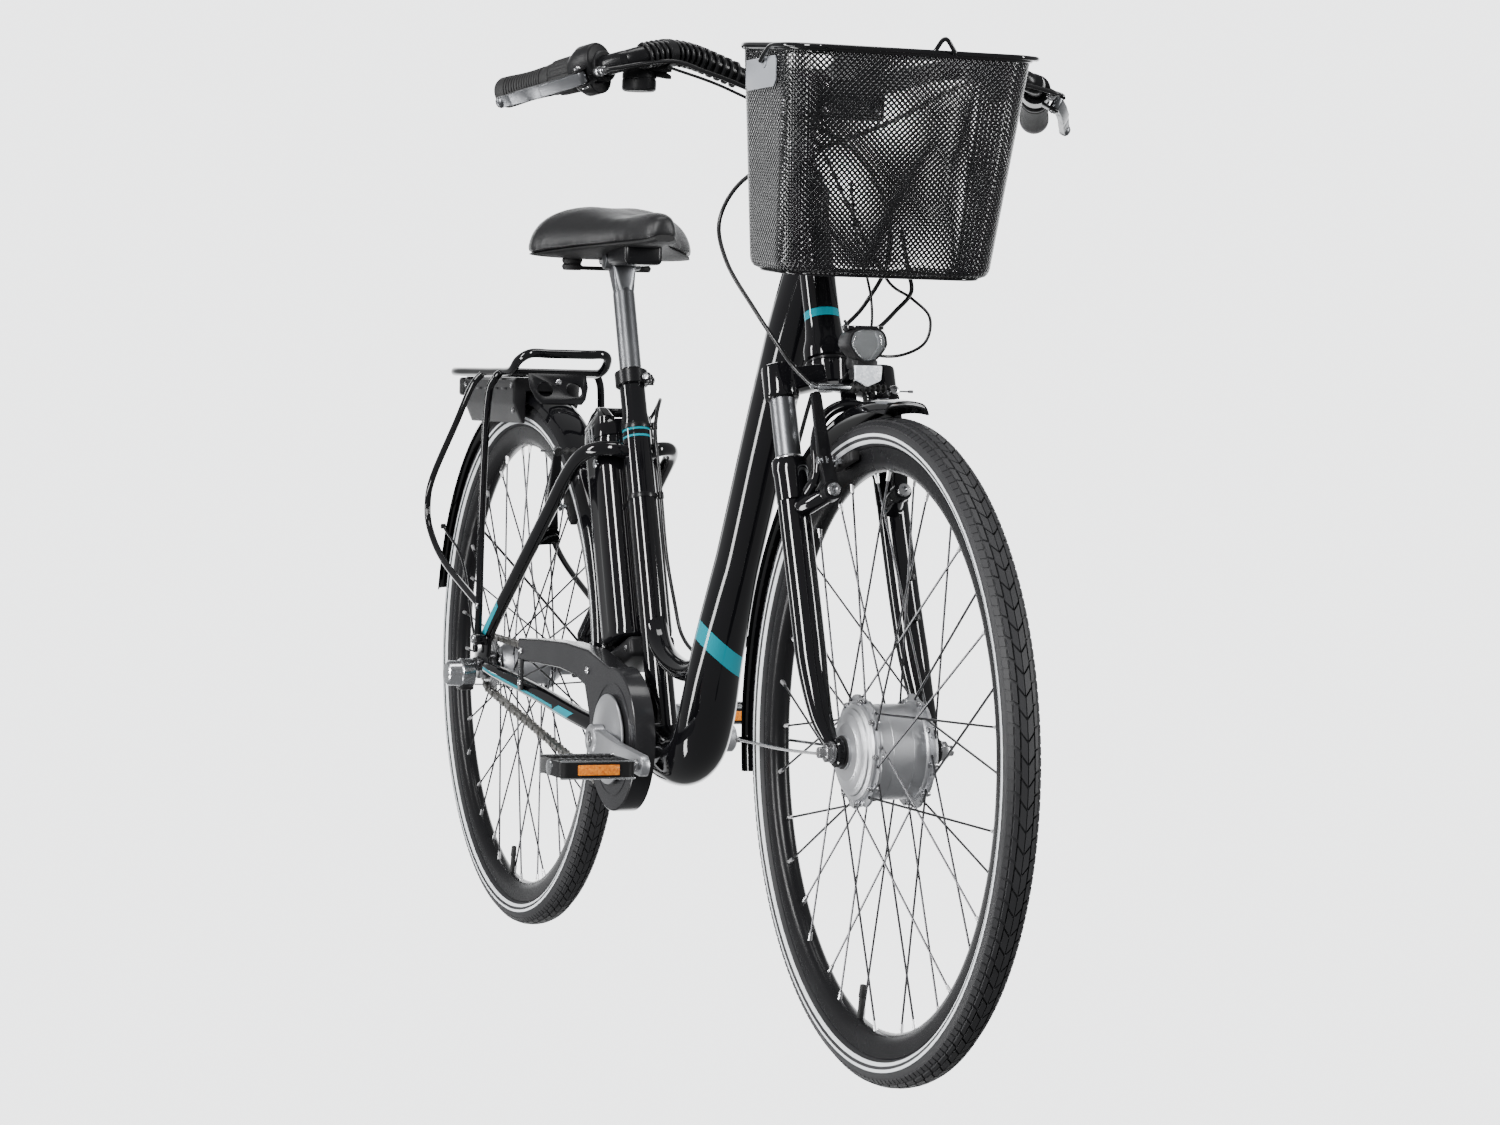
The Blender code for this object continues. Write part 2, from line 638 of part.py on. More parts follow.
def circle(radius, sides, centre=(0.0, 0.0), start=0.0):
    return [(centre[0] + radius * math.cos(start + 2 * math.pi * i / sides),
             centre[1] + radius * math.sin(start + 2 * math.pi * i / sides))
            for i in range(sides)]


def pitch_radius(teeth):
    return PITCH / 2 / math.sin(math.pi / teeth)


RING_PITCH_R = pitch_radius(RING_TEETH)
SPROCKET_PITCH_R = pitch_radius(SPROCKET_TEETH)
TOOTH = 0.0024
GEAR_THICKNESS = 0.0022


def gear_plane(centre):
    matrix = Matrix(((1, 0, 0, centre.x), (0, 0, -1, CHAIN_Y), (0, 1, 0, centre.z), (0, 0, 0, 1)))
    return matrix


def make_chainring():
    outline = gear_outline(RING_TEETH, RING_PITCH_R - 0.0034, RING_PITCH_R + TOOTH)
    holes = [circle(0.0240, 16)]
    windows = 5
    for i in range(windows):
        middle = 2 * math.pi * (i + 0.5) / windows
        span = math.radians(25)
        outer = [(0.060 * math.cos(middle + span * k), 0.060 * math.sin(middle + span * k))
                 for k in (-1, 0, 1)]
        inner = [(0.034 * math.cos(middle + span * k), 0.034 * math.sin(middle + span * k))
                 for k in (0.8, -0.8)]
        holes.append(outer + inner)
    ring = plate("chainring", outline, GEAR_THICKNESS, gear_plane(BB), "steel", holes)
    return ring


def make_sprocket():
    outline = gear_outline(SPROCKET_TEETH, SPROCKET_PITCH_R - 0.0034, SPROCKET_PITCH_R + TOOTH)
    disc = plate("disc", outline, GEAR_THICKNESS, gear_plane(REAR_AXLE), "steel",
                 [circle(0.0130, 8)])
    profile = [(0.0060, -0.0418), (0.0170, -0.0418), (0.0170, -0.0560), (0.0130, -0.0596),
               (0.0060, -0.0596)]
    driver = turned("driver", profile, REAR_AXLE, LEFT, "steel", 12, True)
    return fuse("rear_sprocket", [disc, driver], "steel")


def chain_path():
    """Points and outward directions along the pitch line, starting at the top of the ring."""
    centre_gap = REAR_AXLE - BB
    distance = math.hypot(centre_gap.x, centre_gap.z)
    line_angle = math.atan2(centre_gap.z, centre_gap.x)
    lean = math.asin((RING_PITCH_R - SPROCKET_PITCH_R) / distance)
    top_normal = line_angle - (math.pi / 2 - lean)
    low_normal = line_angle + (math.pi / 2 - lean)
    run = math.sqrt(distance ** 2 - (RING_PITCH_R - SPROCKET_PITCH_R) ** 2)
    ring_arc = (2 * math.pi - (low_normal - top_normal)) * RING_PITCH_R
    sprocket_arc = (low_normal - top_normal) * SPROCKET_PITCH_R
    total = 2 * run + ring_arc + sprocket_arc

    def place(along):
        along %= total
        if along < run:
            normal = top_normal
            start = (BB.x + RING_PITCH_R * math.cos(normal), BB.z + RING_PITCH_R * math.sin(normal))
            end = (REAR_AXLE.x + SPROCKET_PITCH_R * math.cos(normal),
                   REAR_AXLE.z + SPROCKET_PITCH_R * math.sin(normal))
            share = along / run
            return (start[0] + (end[0] - start[0]) * share,
                    start[1] + (end[1] - start[1]) * share, normal)
        along -= run
        if along < sprocket_arc:
            normal = top_normal + along / SPROCKET_PITCH_R
            return (REAR_AXLE.x + SPROCKET_PITCH_R * math.cos(normal),
                    REAR_AXLE.z + SPROCKET_PITCH_R * math.sin(normal), normal)
        along -= sprocket_arc
        if along < run:
            normal = low_normal
            start = (REAR_AXLE.x + SPROCKET_PITCH_R * math.cos(normal),
                     REAR_AXLE.z + SPROCKET_PITCH_R * math.sin(normal))
            end = (BB.x + RING_PITCH_R * math.cos(normal), BB.z + RING_PITCH_R * math.sin(normal))
            share = along / run
            return (start[0] + (end[0] - start[0]) * share,
                    start[1] + (end[1] - start[1]) * share, normal)
        along -= run
        normal = low_normal + along / RING_PITCH_R
        return (BB.x + RING_PITCH_R * math.cos(normal), BB.z + RING_PITCH_R * math.sin(normal),
                normal)

    return place, total


def make_chain():
    """A closed band with a pin's pitch per section round the gears, and slots for the teeth."""
    place, total = chain_path()
    wide, narrow = 0.0036, 0.0030
    tall = 0.0041
    bm = bmesh.new()
    rings = []
    last_normal = None
    for link in range(LINKS):
        half = wide if link % 2 else narrow
        x, z, normal = place(link * total / LINKS)
        if normal == last_normal and link % 3:
            continue
        last_normal = normal
        out = Vector((math.cos(normal), 0.0, math.sin(normal)))
        centre = Vector((x, CHAIN_Y, z))
        corners = [centre + out * tall - LEFT * half, centre + out * tall + LEFT * half,
                   centre - out * tall + LEFT * half, centre - out * tall - LEFT * half]
        rings.append([bm.verts.new(corner) for corner in corners])
    for first, second in zip(rings, rings[1:] + rings[:1]):
        for i in range(4):
            j = (i + 1) % 4
            bm.faces.new((first[i], first[j], second[j], second[i]))
    chain = from_bmesh("chain", bm, "chain_steel")
    ring_slot = rod("chain_ring_slot", BB + LEFT * (CHAIN_Y - 0.0015),
                    BB + LEFT * (CHAIN_Y + 0.0015),
                    (RING_PITCH_R + TOOTH + 0.0005) / math.cos(math.pi / 38), "steel", 38)
    sprocket_slot = rod("chain_sprocket_slot", REAR_AXLE + LEFT * (CHAIN_Y - 0.0015),
                        REAR_AXLE + LEFT * (CHAIN_Y + 0.0015),
                        (SPROCKET_PITCH_R + TOOTH + 0.0005) / math.cos(math.pi / 18), "steel", 18)
    return carve(chain, ring_slot, sprocket_slot)


GUARD_RADIUS = 0.0870
GUARD_FACE_Y = -0.0680
GUARD_INNER_Y = -0.0430


def guard_outline(inset):
    """The guard's side view: a ring round the chainring and an arm over the chain."""
    radius = GUARD_RADIUS - inset
    arc_start, arc_end = math.radians(100), math.radians(-192)
    steps = 17
    arc = []
    for i in range(steps + 1):
        angle = arc_start + (arc_end - arc_start) * i / steps
        arc.append((BB_X + radius * math.cos(angle), BB_Z + radius * math.sin(angle)))
    top = [(0.168 + inset, 0.3960 - inset), (0.260, 0.4010 - inset), (0.360, 0.4040 - inset),
           (0.450, 0.4010 - inset)]
    low = [(0.440, 0.3560 + inset), (0.400, 0.3660 + inset), (0.340, 0.3700 + inset),
           (0.250, 0.3690 + inset), (0.168 + inset, 0.3660 + inset)]
    return top + arc + low


def make_chain_guard():
    depth = GUARD_INNER_Y - GUARD_FACE_Y
    outer = plate("guard", guard_outline(0.0), depth,
                  side_plane((GUARD_INNER_Y + GUARD_FACE_Y) / 2), "gloss_black")
    hollow = plate("guard_hollow", guard_outline(0.0022), depth,
                   side_plane((GUARD_INNER_Y + GUARD_FACE_Y) / 2 + 0.0022), "steel")
    eye = rod("guard_eye", BB + LEFT * -0.10, BB + LEFT * -0.03, 0.0330, "steel", 28)
    chain_gate = block("guard_chain_gate", spot(0.487, -0.0530, 0.2320),
                       (0.090, 0.0240, 0.026), "steel")
    arm_gate = block("guard_arm_gate", spot(0.160, -0.0530, 0.3805), (0.030, 0.0240, 0.022),
                     "steel")
    stay_gate = block("guard_stay_gate", spot(0.445, -0.0400, 0.3180),
                          (0.080, 0.030, 0.052), "steel")
    guard = carve(outer, hollow, eye, chain_gate, arm_gate, stay_gate)
    lug = plate("lug", [(0.172, 0.3680), (0.172, 0.3280), (0.196, 0.3280), (0.196, 0.3680)],
                0.0022, side_plane(-0.0683), "gloss_black")
    guard = baked(guard)
    return fuse("chain_guard", [guard, lug], "gloss_black")


# Wheels

def tyre(name, centre):
    half = [(0.3130, 0.0088), (0.3330, TYRE_HALF_WIDTH), (0.3462, 0.0120), (TYRE_RADIUS, 0.0)]
    profile = half + [(r, -h) for r, h in reversed(half[:-1])]
    return turned(name, profile, centre, LEFT, "tyre_rubber", WHEEL_STEPS, True)


def rim(name, centre, hub_radius, flange, cross):
    """A double-wall rim with its laced spokes."""
    half = [(0.3180, 0.0122), (0.3122, 0.0094)]
    track = (0.3050, 0.0122)
    profile = half + [(r, -h) for r, h in reversed(half)]
    profile += [(track[0], -track[1]), (0.2925, 0.0), track]
    hoop = turned(name, profile, centre, LEFT, "satin_black", WHEEL_STEPS, True)
    bm = bmesh.new()
    per_side = SPOKES // 2
    for side in (-1, 1):
        for k in range(per_side):
            lead = 1 if k % 2 else -1
            hub_angle = 2 * math.pi * (k + (0.5 if side < 0 else 0.0)) / per_side
            rim_angle = hub_angle + lead * cross * 2 * math.pi / per_side
            start = Vector((hub_radius * math.cos(hub_angle), side * (flange + lead * 0.0026),
                            hub_radius * math.sin(hub_angle)))
            end = Vector((0.2985 * math.cos(rim_angle), side * 0.0030,
                          0.2985 * math.sin(rim_angle)))
            matrix = frame_at(centre + (start + end) / 2, end - start)
            bmesh.ops.create_cone(bm, cap_ends=True, segments=3, radius1=0.0013, radius2=0.0013,
                                  depth=(end - start).length, matrix=matrix)
    spokes = from_bmesh("spokes", bm, "steel")
    return fuse(name, [hoop, spokes], "satin_black")


def make_hub_motor():
    bore = 0.0070
    half = [(bore, 0.0488), (0.0175, 0.0488), (0.0490, 0.0425), (0.0550, 0.0330),
            (0.0605, 0.0325), (0.0605, 0.0275), (0.0545, 0.0265)]
    profile = half + [(r, -h) for r, h in reversed(half)]
    return turned("hub_motor", profile, FRONT_AXLE, LEFT, "silver", 16, True)


def make_rear_hub():
    profile = [(0.0062, 0.0598), (0.0150, 0.0598), (0.0150, 0.0440), (0.0335, 0.0315),
               (0.0335, 0.0275), (0.0280, 0.0270), (0.0280, -0.0240), (0.0335, -0.0245),
               (0.0335, -0.0285), (0.0220, -0.0405), (0.0062, -0.0405)]
    return turned("rear_hub", profile, REAR_AXLE, LEFT, "silver", 12, True)


# Crank set

CRANK_LENGTH = 0.170
CRANK_DROP = math.radians(5.0)
SPINDLE_RADIUS = 0.0085
PEDAL_PIN = 0.0045


def crank_dir(side):
    forward = -1 if side > 0 else 1
    return Vector((forward * math.cos(CRANK_DROP), 0.0, -forward * math.sin(CRANK_DROP)))


def pedal_axle(side, y):
    return BB + crank_dir(side) * CRANK_LENGTH + LEFT * side * y


def make_right_crank():
    arm_y = 0.0880
    boss = rings_hull("arm", [(BB - LEFT * arm_y, LEFT, 0.0185, 0.0085, 14),
                              (BB - LEFT * arm_y + crank_dir(-1) * 0.075, LEFT, 0.0125, 0.0055, 10),
                              (pedal_axle(-1, arm_y), LEFT, 0.0130, 0.0060, 12)], "silver")
    profile = [(0.0, -0.0560), (0.0290, -0.0560), (0.0300, -0.0690), (0.0540, -0.0715),
               (0.0540, -0.0745), (0.0280, -0.0800), (0.0, -0.0800)]
    dish = turned("dish", profile, BB, LEFT, "silver", 14)
    hub = rod("hub", BB - LEFT * 0.0390, BB - LEFT * 0.0600, 0.0230, "silver", 14)
    spindle = rod("spindle", BB - LEFT * 0.0700, BB + LEFT * 0.0760, SPINDLE_RADIUS, "steel", 12)
    pin = rod("pin", pedal_axle(-1, arm_y), pedal_axle(-1, 0.190), PEDAL_PIN, "steel", 8)
    return fuse("right_crank", [boss, dish, hub, spindle, pin], "silver")


def make_left_crank():
    arm_y = 0.0800
    arm = rings_hull("arm", [(BB + LEFT * (arm_y - 0.006), LEFT, 0.0175, 0.0130, 16),
                             (pedal_axle(1, arm_y), LEFT, 0.0130, 0.0060, 12)], "silver")
    pin = rod("pin", pedal_axle(1, arm_y), pedal_axle(1, 0.190), PEDAL_PIN, "steel", 8)
    whole = fuse("left_crank", [arm, pin], "silver")
    bore = rod("left_crank_bore", BB + LEFT * 0.050, BB + LEFT * 0.0775, SPINDLE_RADIUS + 0.0005,
               "steel", 16)
    return carve(whole, bore)


def make_pedal(word, side):
    centre = pedal_axle(side, 0.1525)
    pedal = block("body", centre, (0.084, 0.094, 0.024), "black_plastic", None, 0.004)
    tools = []
    for end in (-1, 1):
        for way in (-1, 1):
            tools.append(block(word + "_pedal_window",
                               centre + Vector((end * 0.0245, way * 0.0215, 0.0)),
                               (0.021, 0.032, 0.05), "steel"))
    tools.append(rod(word + "_pedal_bore", centre - LEFT * 0.06 * side,
                     centre + LEFT * 0.0395 * side, PEDAL_PIN + 0.0005, "steel", 12))
    reflectors = []
    for end in (-1, 1):
        reflectors.append(block("reflector", centre + Vector((end * 0.0425, 0, 0)),
                                (0.004, 0.052, 0.013), "black_plastic"))
    pedal = fuse(word + "_pedal", [pedal, *reflectors], "black_plastic")
    return carve(pedal, *tools)


# Saddle and seatpost

def make_seatpost():
    bottom, top = 0.270, 0.600
    post = rod("post", seat(bottom, 0, 0), seat(top, 0, 0), POST_RADIUS, "steel", 16)
    head = rings_hull("head", [(seat(top - 0.012, 0, 0), SEAT_UP, 0.0165, 0.012, 14),
                               (spot(0.3500, 0, 0.8810), LEFT, 0.0130, 0.0230, 12)], "steel")
    return fuse("seatpost", [post, head], "steel")


def make_saddle():
    """Cage of nine stations from tail to nose, finished with subdivision."""
    stations = [(0.264, 0.058, 0.938, 0.921), (0.282, 0.098, 0.949, 0.914),
                (0.320, 0.112, 0.952, 0.908), (0.362, 0.094, 0.947, 0.909),
                (0.405, 0.056, 0.940, 0.911), (0.450, 0.034, 0.938, 0.909),
                (0.495, 0.026, 0.938, 0.907), (0.526, 0.019, 0.933, 0.908)]
    bm = bmesh.new()
    rings = []
    for x, half, top, edge in stations:
        section = [(0.0, top), (half * 0.62, top - 0.001), (half * 1.02, (top + edge) / 2 + 0.002),
                   (half * 0.96, edge - 0.004), (0.0, edge + 0.004), (-half * 0.96, edge - 0.004),
                   (-half * 1.02, (top + edge) / 2 + 0.002), (-half * 0.62, top - 0.001)]
        rings.append([bm.verts.new(spot(x, y, z)) for y, z in section])
    for first, second in zip(rings, rings[1:]):
        for i in range(8):
            j = (i + 1) % 8
            bm.faces.new((first[i], first[j], second[j], second[i]))
    for ring in (rings[0], rings[-1]):
        bm.faces.new((ring[0], ring[1], ring[2], ring[3], ring[4]))
        bm.faces.new((ring[4], ring[5], ring[6], ring[7], ring[0]))
    pad = from_bmesh("pad", bm, "saddle_vinyl")
    rounding = pad.modifiers.new("rounding", "SUBSURF")
    rounding.levels = 1
    rounding.render_levels = 1
    pad = baked(pad)
    pieces = [pad]
    for side in (-1, 1):
        rail = [(0.290, side * 0.030, 0.9120), (0.298, side * 0.029, 0.9000),
                (0.325, side * 0.0265, 0.8990), (0.385, side * 0.0265, 0.9000),
                (0.440, side * 0.022, 0.9000), (0.478, side * 0.010, 0.9090)]
        pieces.append(tube("rail", [spot(*p) for p in rail], 0.0035, "steel", 6))
        bumper = rod("bumper", spot(0.292, side * 0.046, 0.8800), spot(0.292, side * 0.046, 0.9160),
                     0.0130, "rubber", 10)
        pieces.append(bumper)
    bridge = block("bridge", spot(0.294, 0, 0.8830), (0.014, 0.094, 0.006), "steel")
    pieces.append(bridge)
    clamp = rings_hull("clamp", [(spot(0.352, 0, 0.9010), LEFT, 0.0062, 0.0330, 10)], "steel")
    pieces.append(clamp)
    return fuse("saddle", pieces, "saddle_vinyl")


# Battery

def make_battery():
    low, high = 0.1365, 0.4180
    depth = 0.082
    back = 0.0235 + depth / 2
    matrix = frame_at(BB, SEAT_UP, -SEAT_BACK)
    case = block("case", seat((low + high) / 2, back, 0), (depth, 0.080, high - low),
                 "satin_black", matrix)
    bm = bmesh.new()
    bm.from_mesh(case.data)
    along = [edge for edge in bm.edges
             if abs((edge.verts[0].co - edge.verts[1].co).normalized().dot(SEAT_UP)) > 0.99]
    bmesh.ops.bevel(bm, geom=along, offset=0.020, segments=3, profile=0.5, affect="EDGES")
    bm.to_mesh(case.data)
    bm.free()
    cap = rings_hull("cap", [(seat(0.430, back - 0.016, y), SEAT_UP, 0.0240, 0.0130, 14)
                             for y in (-0.0165, 0.0165)]
                     + [(seat(0.426, back + 0.018, y), SEAT_UP, 0.0220, 0.0090, 14)
                        for y in (-0.0175, 0.0175)], "black_plastic")
    grip_slot = rod("battery_grip_slot", seat(0.4560, back + 0.002, -0.060),
                    seat(0.4560, back + 0.002, 0.060), 0.0165, "steel", 16)
    battery = fuse("battery", [case, cap], "satin_black")
    channel = block("battery_channel", seat(0.285, 0.0190, 0), (0.0090, 0.026, 0.330), "steel",
                    matrix)
    return carve(battery, grip_slot, channel)


# Fork

CROWN_TOP = -0.0525
CROWN_LOW = -0.0780
SOCKET_LOW = -0.1040
STANCHION_RADIUS = 0.0140
LOWERS_TOP = -0.1705
ARM_PLANE = 0.0630


def make_fork_crown():
    centre = rod("centre", steer(CROWN_LOW, 0, 0), steer(CROWN_TOP, 0, 0), 0.0215, "gloss_black", 14)
    pieces = [centre]
    middle = (CROWN_LOW - 0.0560) / 2
    half = (-0.0560 - CROWN_LOW) / 2
    pieces.append(rod("steerer", steer(CROWN_LOW + 0.004, 0, 0), steer(HEAD_TOP, 0, 0), 0.0143,
                      "steel", 12))
    for side in (-1, 1):
        y = side * LEG_Y
        pieces.append(rings_hull("beam", [(steer(middle, 0, 0), STEER_UP, 0.0175, half, 10),
                                          (steer(middle, FORK_OFFSET, y), STEER_UP, 0.0150, half, 10)],
                                 "gloss_black"))
        pieces.append(rod("socket", steer(SOCKET_LOW, FORK_OFFSET, y),
                          steer(-0.0620, FORK_OFFSET, y), 0.0195, "gloss_black", 14))
        pieces.append(rod("stanchion", steer(-0.3600, FORK_OFFSET, y),
                          steer(-0.0750, FORK_OFFSET, y), STANCHION_RADIUS, "steel", 12))
    return fuse("fork_crown", pieces, "gloss_black")


def make_fork_lowers():
    pieces = []
    for side in (-1, 1):
        y = side * LEG_Y
        down = 0.470
        bore, floor = 0.0149, -0.400
        profile = [(0.0, floor), (bore, floor), (bore, LOWERS_TOP), (0.0190, LOWERS_TOP),
                   (0.0178, LOWERS_TOP - 0.014), (0.0172, -0.330), (0.0125, -down), (0.0, -down)]
        pieces.append(turned("leg", profile, spot(*STEER_BASE) + STEER_FORE * FORK_OFFSET + LEFT * y,
                             STEER_UP, "gloss_black", 12))
        flat = block("dropout_flat", FRONT_AXLE + LEFT * side * 0.0700, (0.040, 0.0224, 0.040),
                     "steel")
        eye = rings_hull("eye", [(FRONT_AXLE + LEFT * side * 0.0545, LEFT, 0.0160, 0.0040, 12),
                                 (steer(-0.455, FORK_OFFSET, side * 0.0600), STEER_UP, 0.0110,
                                  0.006, 8)], "gloss_black")
        hole = rod("dropout_hole", FRONT_AXLE + LEFT * side * 0.040,
                   FRONT_AXLE + LEFT * side * 0.070, 0.0068, "steel", 10)
        pieces.append(carve(eye, hole, flat))
        lug_fore = 0.0520
        pieces.append(rings_hull("lug", [(steer(-0.2188, lug_fore, side * PIVOT_Y), STEER_FORE,
                                          0.0085, 0.0040, 8),
                                         (steer(-0.2188, lug_fore, side * 0.0455), STEER_FORE,
                                          0.0070, 0.0040, 8)], "gloss_black"))
        pieces.append(rod("boss", steer(-0.2188, 0.0500, side * PIVOT_Y),
                          steer(-0.2188, 0.0740, side * PIVOT_Y), BOSS_RADIUS, "steel", 8))
        pieces.append(rod("head", steer(-0.2188, 0.0700, side * PIVOT_Y),
                          steer(-0.2188, 0.0760, side * PIVOT_Y), 0.0075, "steel", 6))
    arch_line = [(-0.195, 0.0505, 0.0485), (-0.160, 0.0490, 0.0450), (-0.133, 0.0470, 0.0340),
                 (-0.1175, 0.0455, 0.0120)]
    arch_line += [(s, fore, -y) for s, fore, y in reversed(arch_line)]
    pieces.append(tube("arch", [steer(*place) for place in arch_line], 0.0050, "gloss_black", 6))
    matrix = frame_at(FRONT_AXLE, STEER_UP, STEER_FORE)
    pieces.append(block("upright", steer(-0.1010, 0.0460, 0), (0.0040, 0.018, 0.0300),
                        "gloss_black", matrix))
    pieces.append(block("tongue", steer(-0.0880, 0.0700, 0), (0.0480, 0.016, 0.0040),
                        "gloss_black", matrix))
    return fuse("fork_lowers", pieces, "gloss_black")


def make_front_axle():
    pieces = [rod("rod", FRONT_AXLE - LEFT * 0.0765, FRONT_AXLE + LEFT * 0.0765, 0.0060, "steel", 10)]
    for side in (-1, 1):
        pieces.append(rod("nut", FRONT_AXLE + LEFT * side * 0.0592,
                          FRONT_AXLE + LEFT * side * 0.0700, 0.0105, "steel", 6))
    return fuse("front_axle", pieces, "steel")


def make_front_fender():
    sheet = fender_sheet("sheet", FRONT_AXLE, math.radians(73.0), math.radians(189.0), 10)
    end = math.radians(181.0)
    radius = FENDER_RADIUS - 0.006
    foot = FRONT_AXLE + Vector((radius * math.cos(end), 0.0, radius * math.sin(end)))
    pieces = [sheet]
    for side in (-1, 1):
        route = [FRONT_AXLE + Vector((0.0, side * 0.0545, -0.0195)),
                 FRONT_AXLE + Vector((-0.030, side * 0.0530, -0.021)),
                 foot + Vector((0.0, side * 0.0262, 0.0))]
        pieces.append(tube("wire", route, 0.0018, "steel", 6))
    return fuse("front_fender", pieces, "gloss_black")


def lamp_ring(x, half_width, half_height, sides=12):
    """Points of one upright oval of the lamp."""
    points = []
    for i in range(sides):
        angle = 2 * math.pi * i / sides
        points.append(spot(x, half_width * math.cos(angle), LAMP_Z + half_height * math.sin(angle)))
    return points


LAMP_X = 1.164
LAMP_Z = 0.775


def hull_of_points(name, points, look):
    bm = bmesh.new()
    for point in points:
        bm.verts.new(point)
    bmesh.ops.convex_hull(bm, input=bm.verts[:], use_existing_faces=False)
    inside = [vertex for vertex in bm.verts if not vertex.link_faces]
    bmesh.ops.delete(bm, geom=inside, context="VERTS")
    obj = from_bmesh(name, bm, look)
    smooth_sides(obj)
    return obj


def make_front_lamp():
    back = lamp_ring(LAMP_X - 0.0290, 0.0130, 0.0110)
    middle = lamp_ring(LAMP_X - 0.0060, 0.0225, 0.0185)
    front = lamp_ring(LAMP_X + 0.0260, 0.0255, 0.0210)
    shell = hull_of_points("front_lamp", back + middle + front, "black_plastic")
    pocket = hull_of_points("lamp_pocket", lamp_ring(LAMP_X + 0.0140, 0.0225, 0.0180)
                            + lamp_ring(LAMP_X + 0.0300, 0.0235, 0.0190), "steel")
    foot = block("foot", spot(LAMP_X - 0.004, 0, LAMP_Z - 0.0190), (0.020, 0.018, 0.012),
                 "black_plastic")
    lamp = fuse("front_lamp", [shell, foot], "black_plastic")
    tongue_tool = block("lamp_tongue_cut", steer(-0.0880, 0.0700, 0), (0.0490, 0.0212, 0.0052),
                        "steel", frame_at(FRONT_AXLE, STEER_UP, STEER_FORE))
    return carve(lamp, pocket, tongue_tool)


def make_lamp_lens():
    glass = hull_of_points("glass", lamp_ring(LAMP_X + 0.0146, 0.0218, 0.0174)
                           + lamp_ring(LAMP_X + 0.0250, 0.0226, 0.0182)
                           + lamp_ring(LAMP_X + 0.0300, 0.0190, 0.0150), "clear_plastic")
    neck = block("neck", spot(LAMP_X + 0.0290, 0, LAMP_Z - 0.0180), (0.0036, 0.020, 0.022),
                 "clear_plastic")
    reflector = block("reflector", spot(LAMP_X + 0.0290, 0, LAMP_Z - 0.0350),
                      (0.0060, 0.036, 0.024), "clear_plastic", None, 0.002)
    return fuse("lamp_lens", [glass, neck, reflector], "clear_plastic")


def make_brake_arm(name, pivot, arm_up, arm_out, plane, side, axle, reach):
    """A brake arm on its boss with the pad it carries."""
    eye = pivot + arm_out * plane + LEFT * side * PIVOT_Y
    top = eye + arm_up * 0.106 + LEFT * side * 0.0050
    arm = rings_hull("arm", [(eye, arm_out, 0.0105, 0.0062, 10),
                             (top, arm_out, 0.0060, 0.0050, 8)], "satin_black")
    pad_at = pivot + arm_out * plane + arm_up * reach
    post = rod("post", pad_at + LEFT * side * 0.0220, pad_at + LEFT * side * 0.0440, 0.0042,
               "satin_black", 6)
    radial = (pad_at - axle).normalized()
    matrix = frame_at(pad_at, radial, arm_out)
    pad = block("pad", pad_at + LEFT * side * 0.0192, (0.0560, 0.0092, 0.0105), "satin_black",
                matrix, 0.0015)
    whole = fuse(name, [arm, post, pad], "satin_black")
    bore = rod(name + "_bore", eye - arm_out * 0.02, eye + arm_out * 0.02, BOSS_RADIUS + 0.0009,
               "steel", 8)
    return carve(whole, bore)


# Handlebar and what is on it

BAR_LINE = [(0.974, 0.000, 1.060), (0.974, 0.040, 1.060), (0.974, 0.075, 1.062),
            (0.981, 0.110, 1.072), (0.994, 0.145, 1.081), (1.012, 0.175, 1.083),
            (1.028, 0.200, 1.080), (1.0355, 0.220, 1.0755), (1.033, 0.236, 1.0705)]
STRAIGHT = 0.170
LEVER_PIVOT_A, LEVER_PIVOT_D = 0.148, 0.0270


def grip_frame(side):
    """Origin at the grip's outer end, g inward along the grip, p toward the lever."""
    def flip(p):
        return spot(p[0], p[1] * side, p[2])
    origin = flip(GRIP_END)
    g = (flip(GRIP_INNER) - origin).normalized()
    reach = flip(LEVER_TIP) - origin
    p = (reach - g * reach.dot(g)).normalized()
    n = g.cross(p)
    return origin, g, p, n


def make_handlebar():
    line = [spot(x, y, z) for x, y, z in BAR_LINE]
    origin, g, _, _ = grip_frame(1)
    left = line + [origin + g * STRAIGHT, origin + g * 0.0060]
    right = [Vector((p.x, -p.y, p.z)) for p in left]
    route = list(reversed(right)) + left[1:]
    return tube("handlebar", route, BAR_RADIUS, "satin_black", 8)


def make_stem():
    column = turned("column", [(0.0, 0.232), (0.0125, 0.232), (0.0125, 0.172), (0.0185, 0.168),
                               (0.0185, 0.1506), (0.0, 0.1506)], spot(*STEER_BASE), STEER_UP,
                    "satin_black", 14)
    clamp = spot(BAR_LINE[0][0], 0, BAR_LINE[0][2])
    arm = rings_hull("arm", [(steer(0.228, 0, 0), STEER_UP, 0.0150, 0.010, 12),
                             (clamp, LEFT, 0.0165, 0.0180, 12)], "satin_black")
    barrel = rod("barrel", clamp - LEFT * 0.0210, clamp + LEFT * 0.0210, 0.0180, "satin_black", 14)
    stem = fuse("stem", [column, arm, barrel], "satin_black")
    bore = rod("stem_bore", clamp - LEFT * 0.05, clamp + LEFT * 0.05, BAR_BORE, "steel", 12)
    return carve(stem, bore)


def make_grip(word, side, length):
    origin, g, _, _ = grip_frame(side)
    profile = [(0.0, 0.0045), (BAR_BORE, 0.0045), (BAR_BORE, length), (0.0160, length),
               (0.0150, length * 0.75), (0.0168, length * 0.45), (0.0172, length * 0.15),
               (0.0160, 0.004), (0.0120, 0.0), (0.0, 0.0)]
    return turned(word + "_grip", profile, origin, g, "rubber", 12)


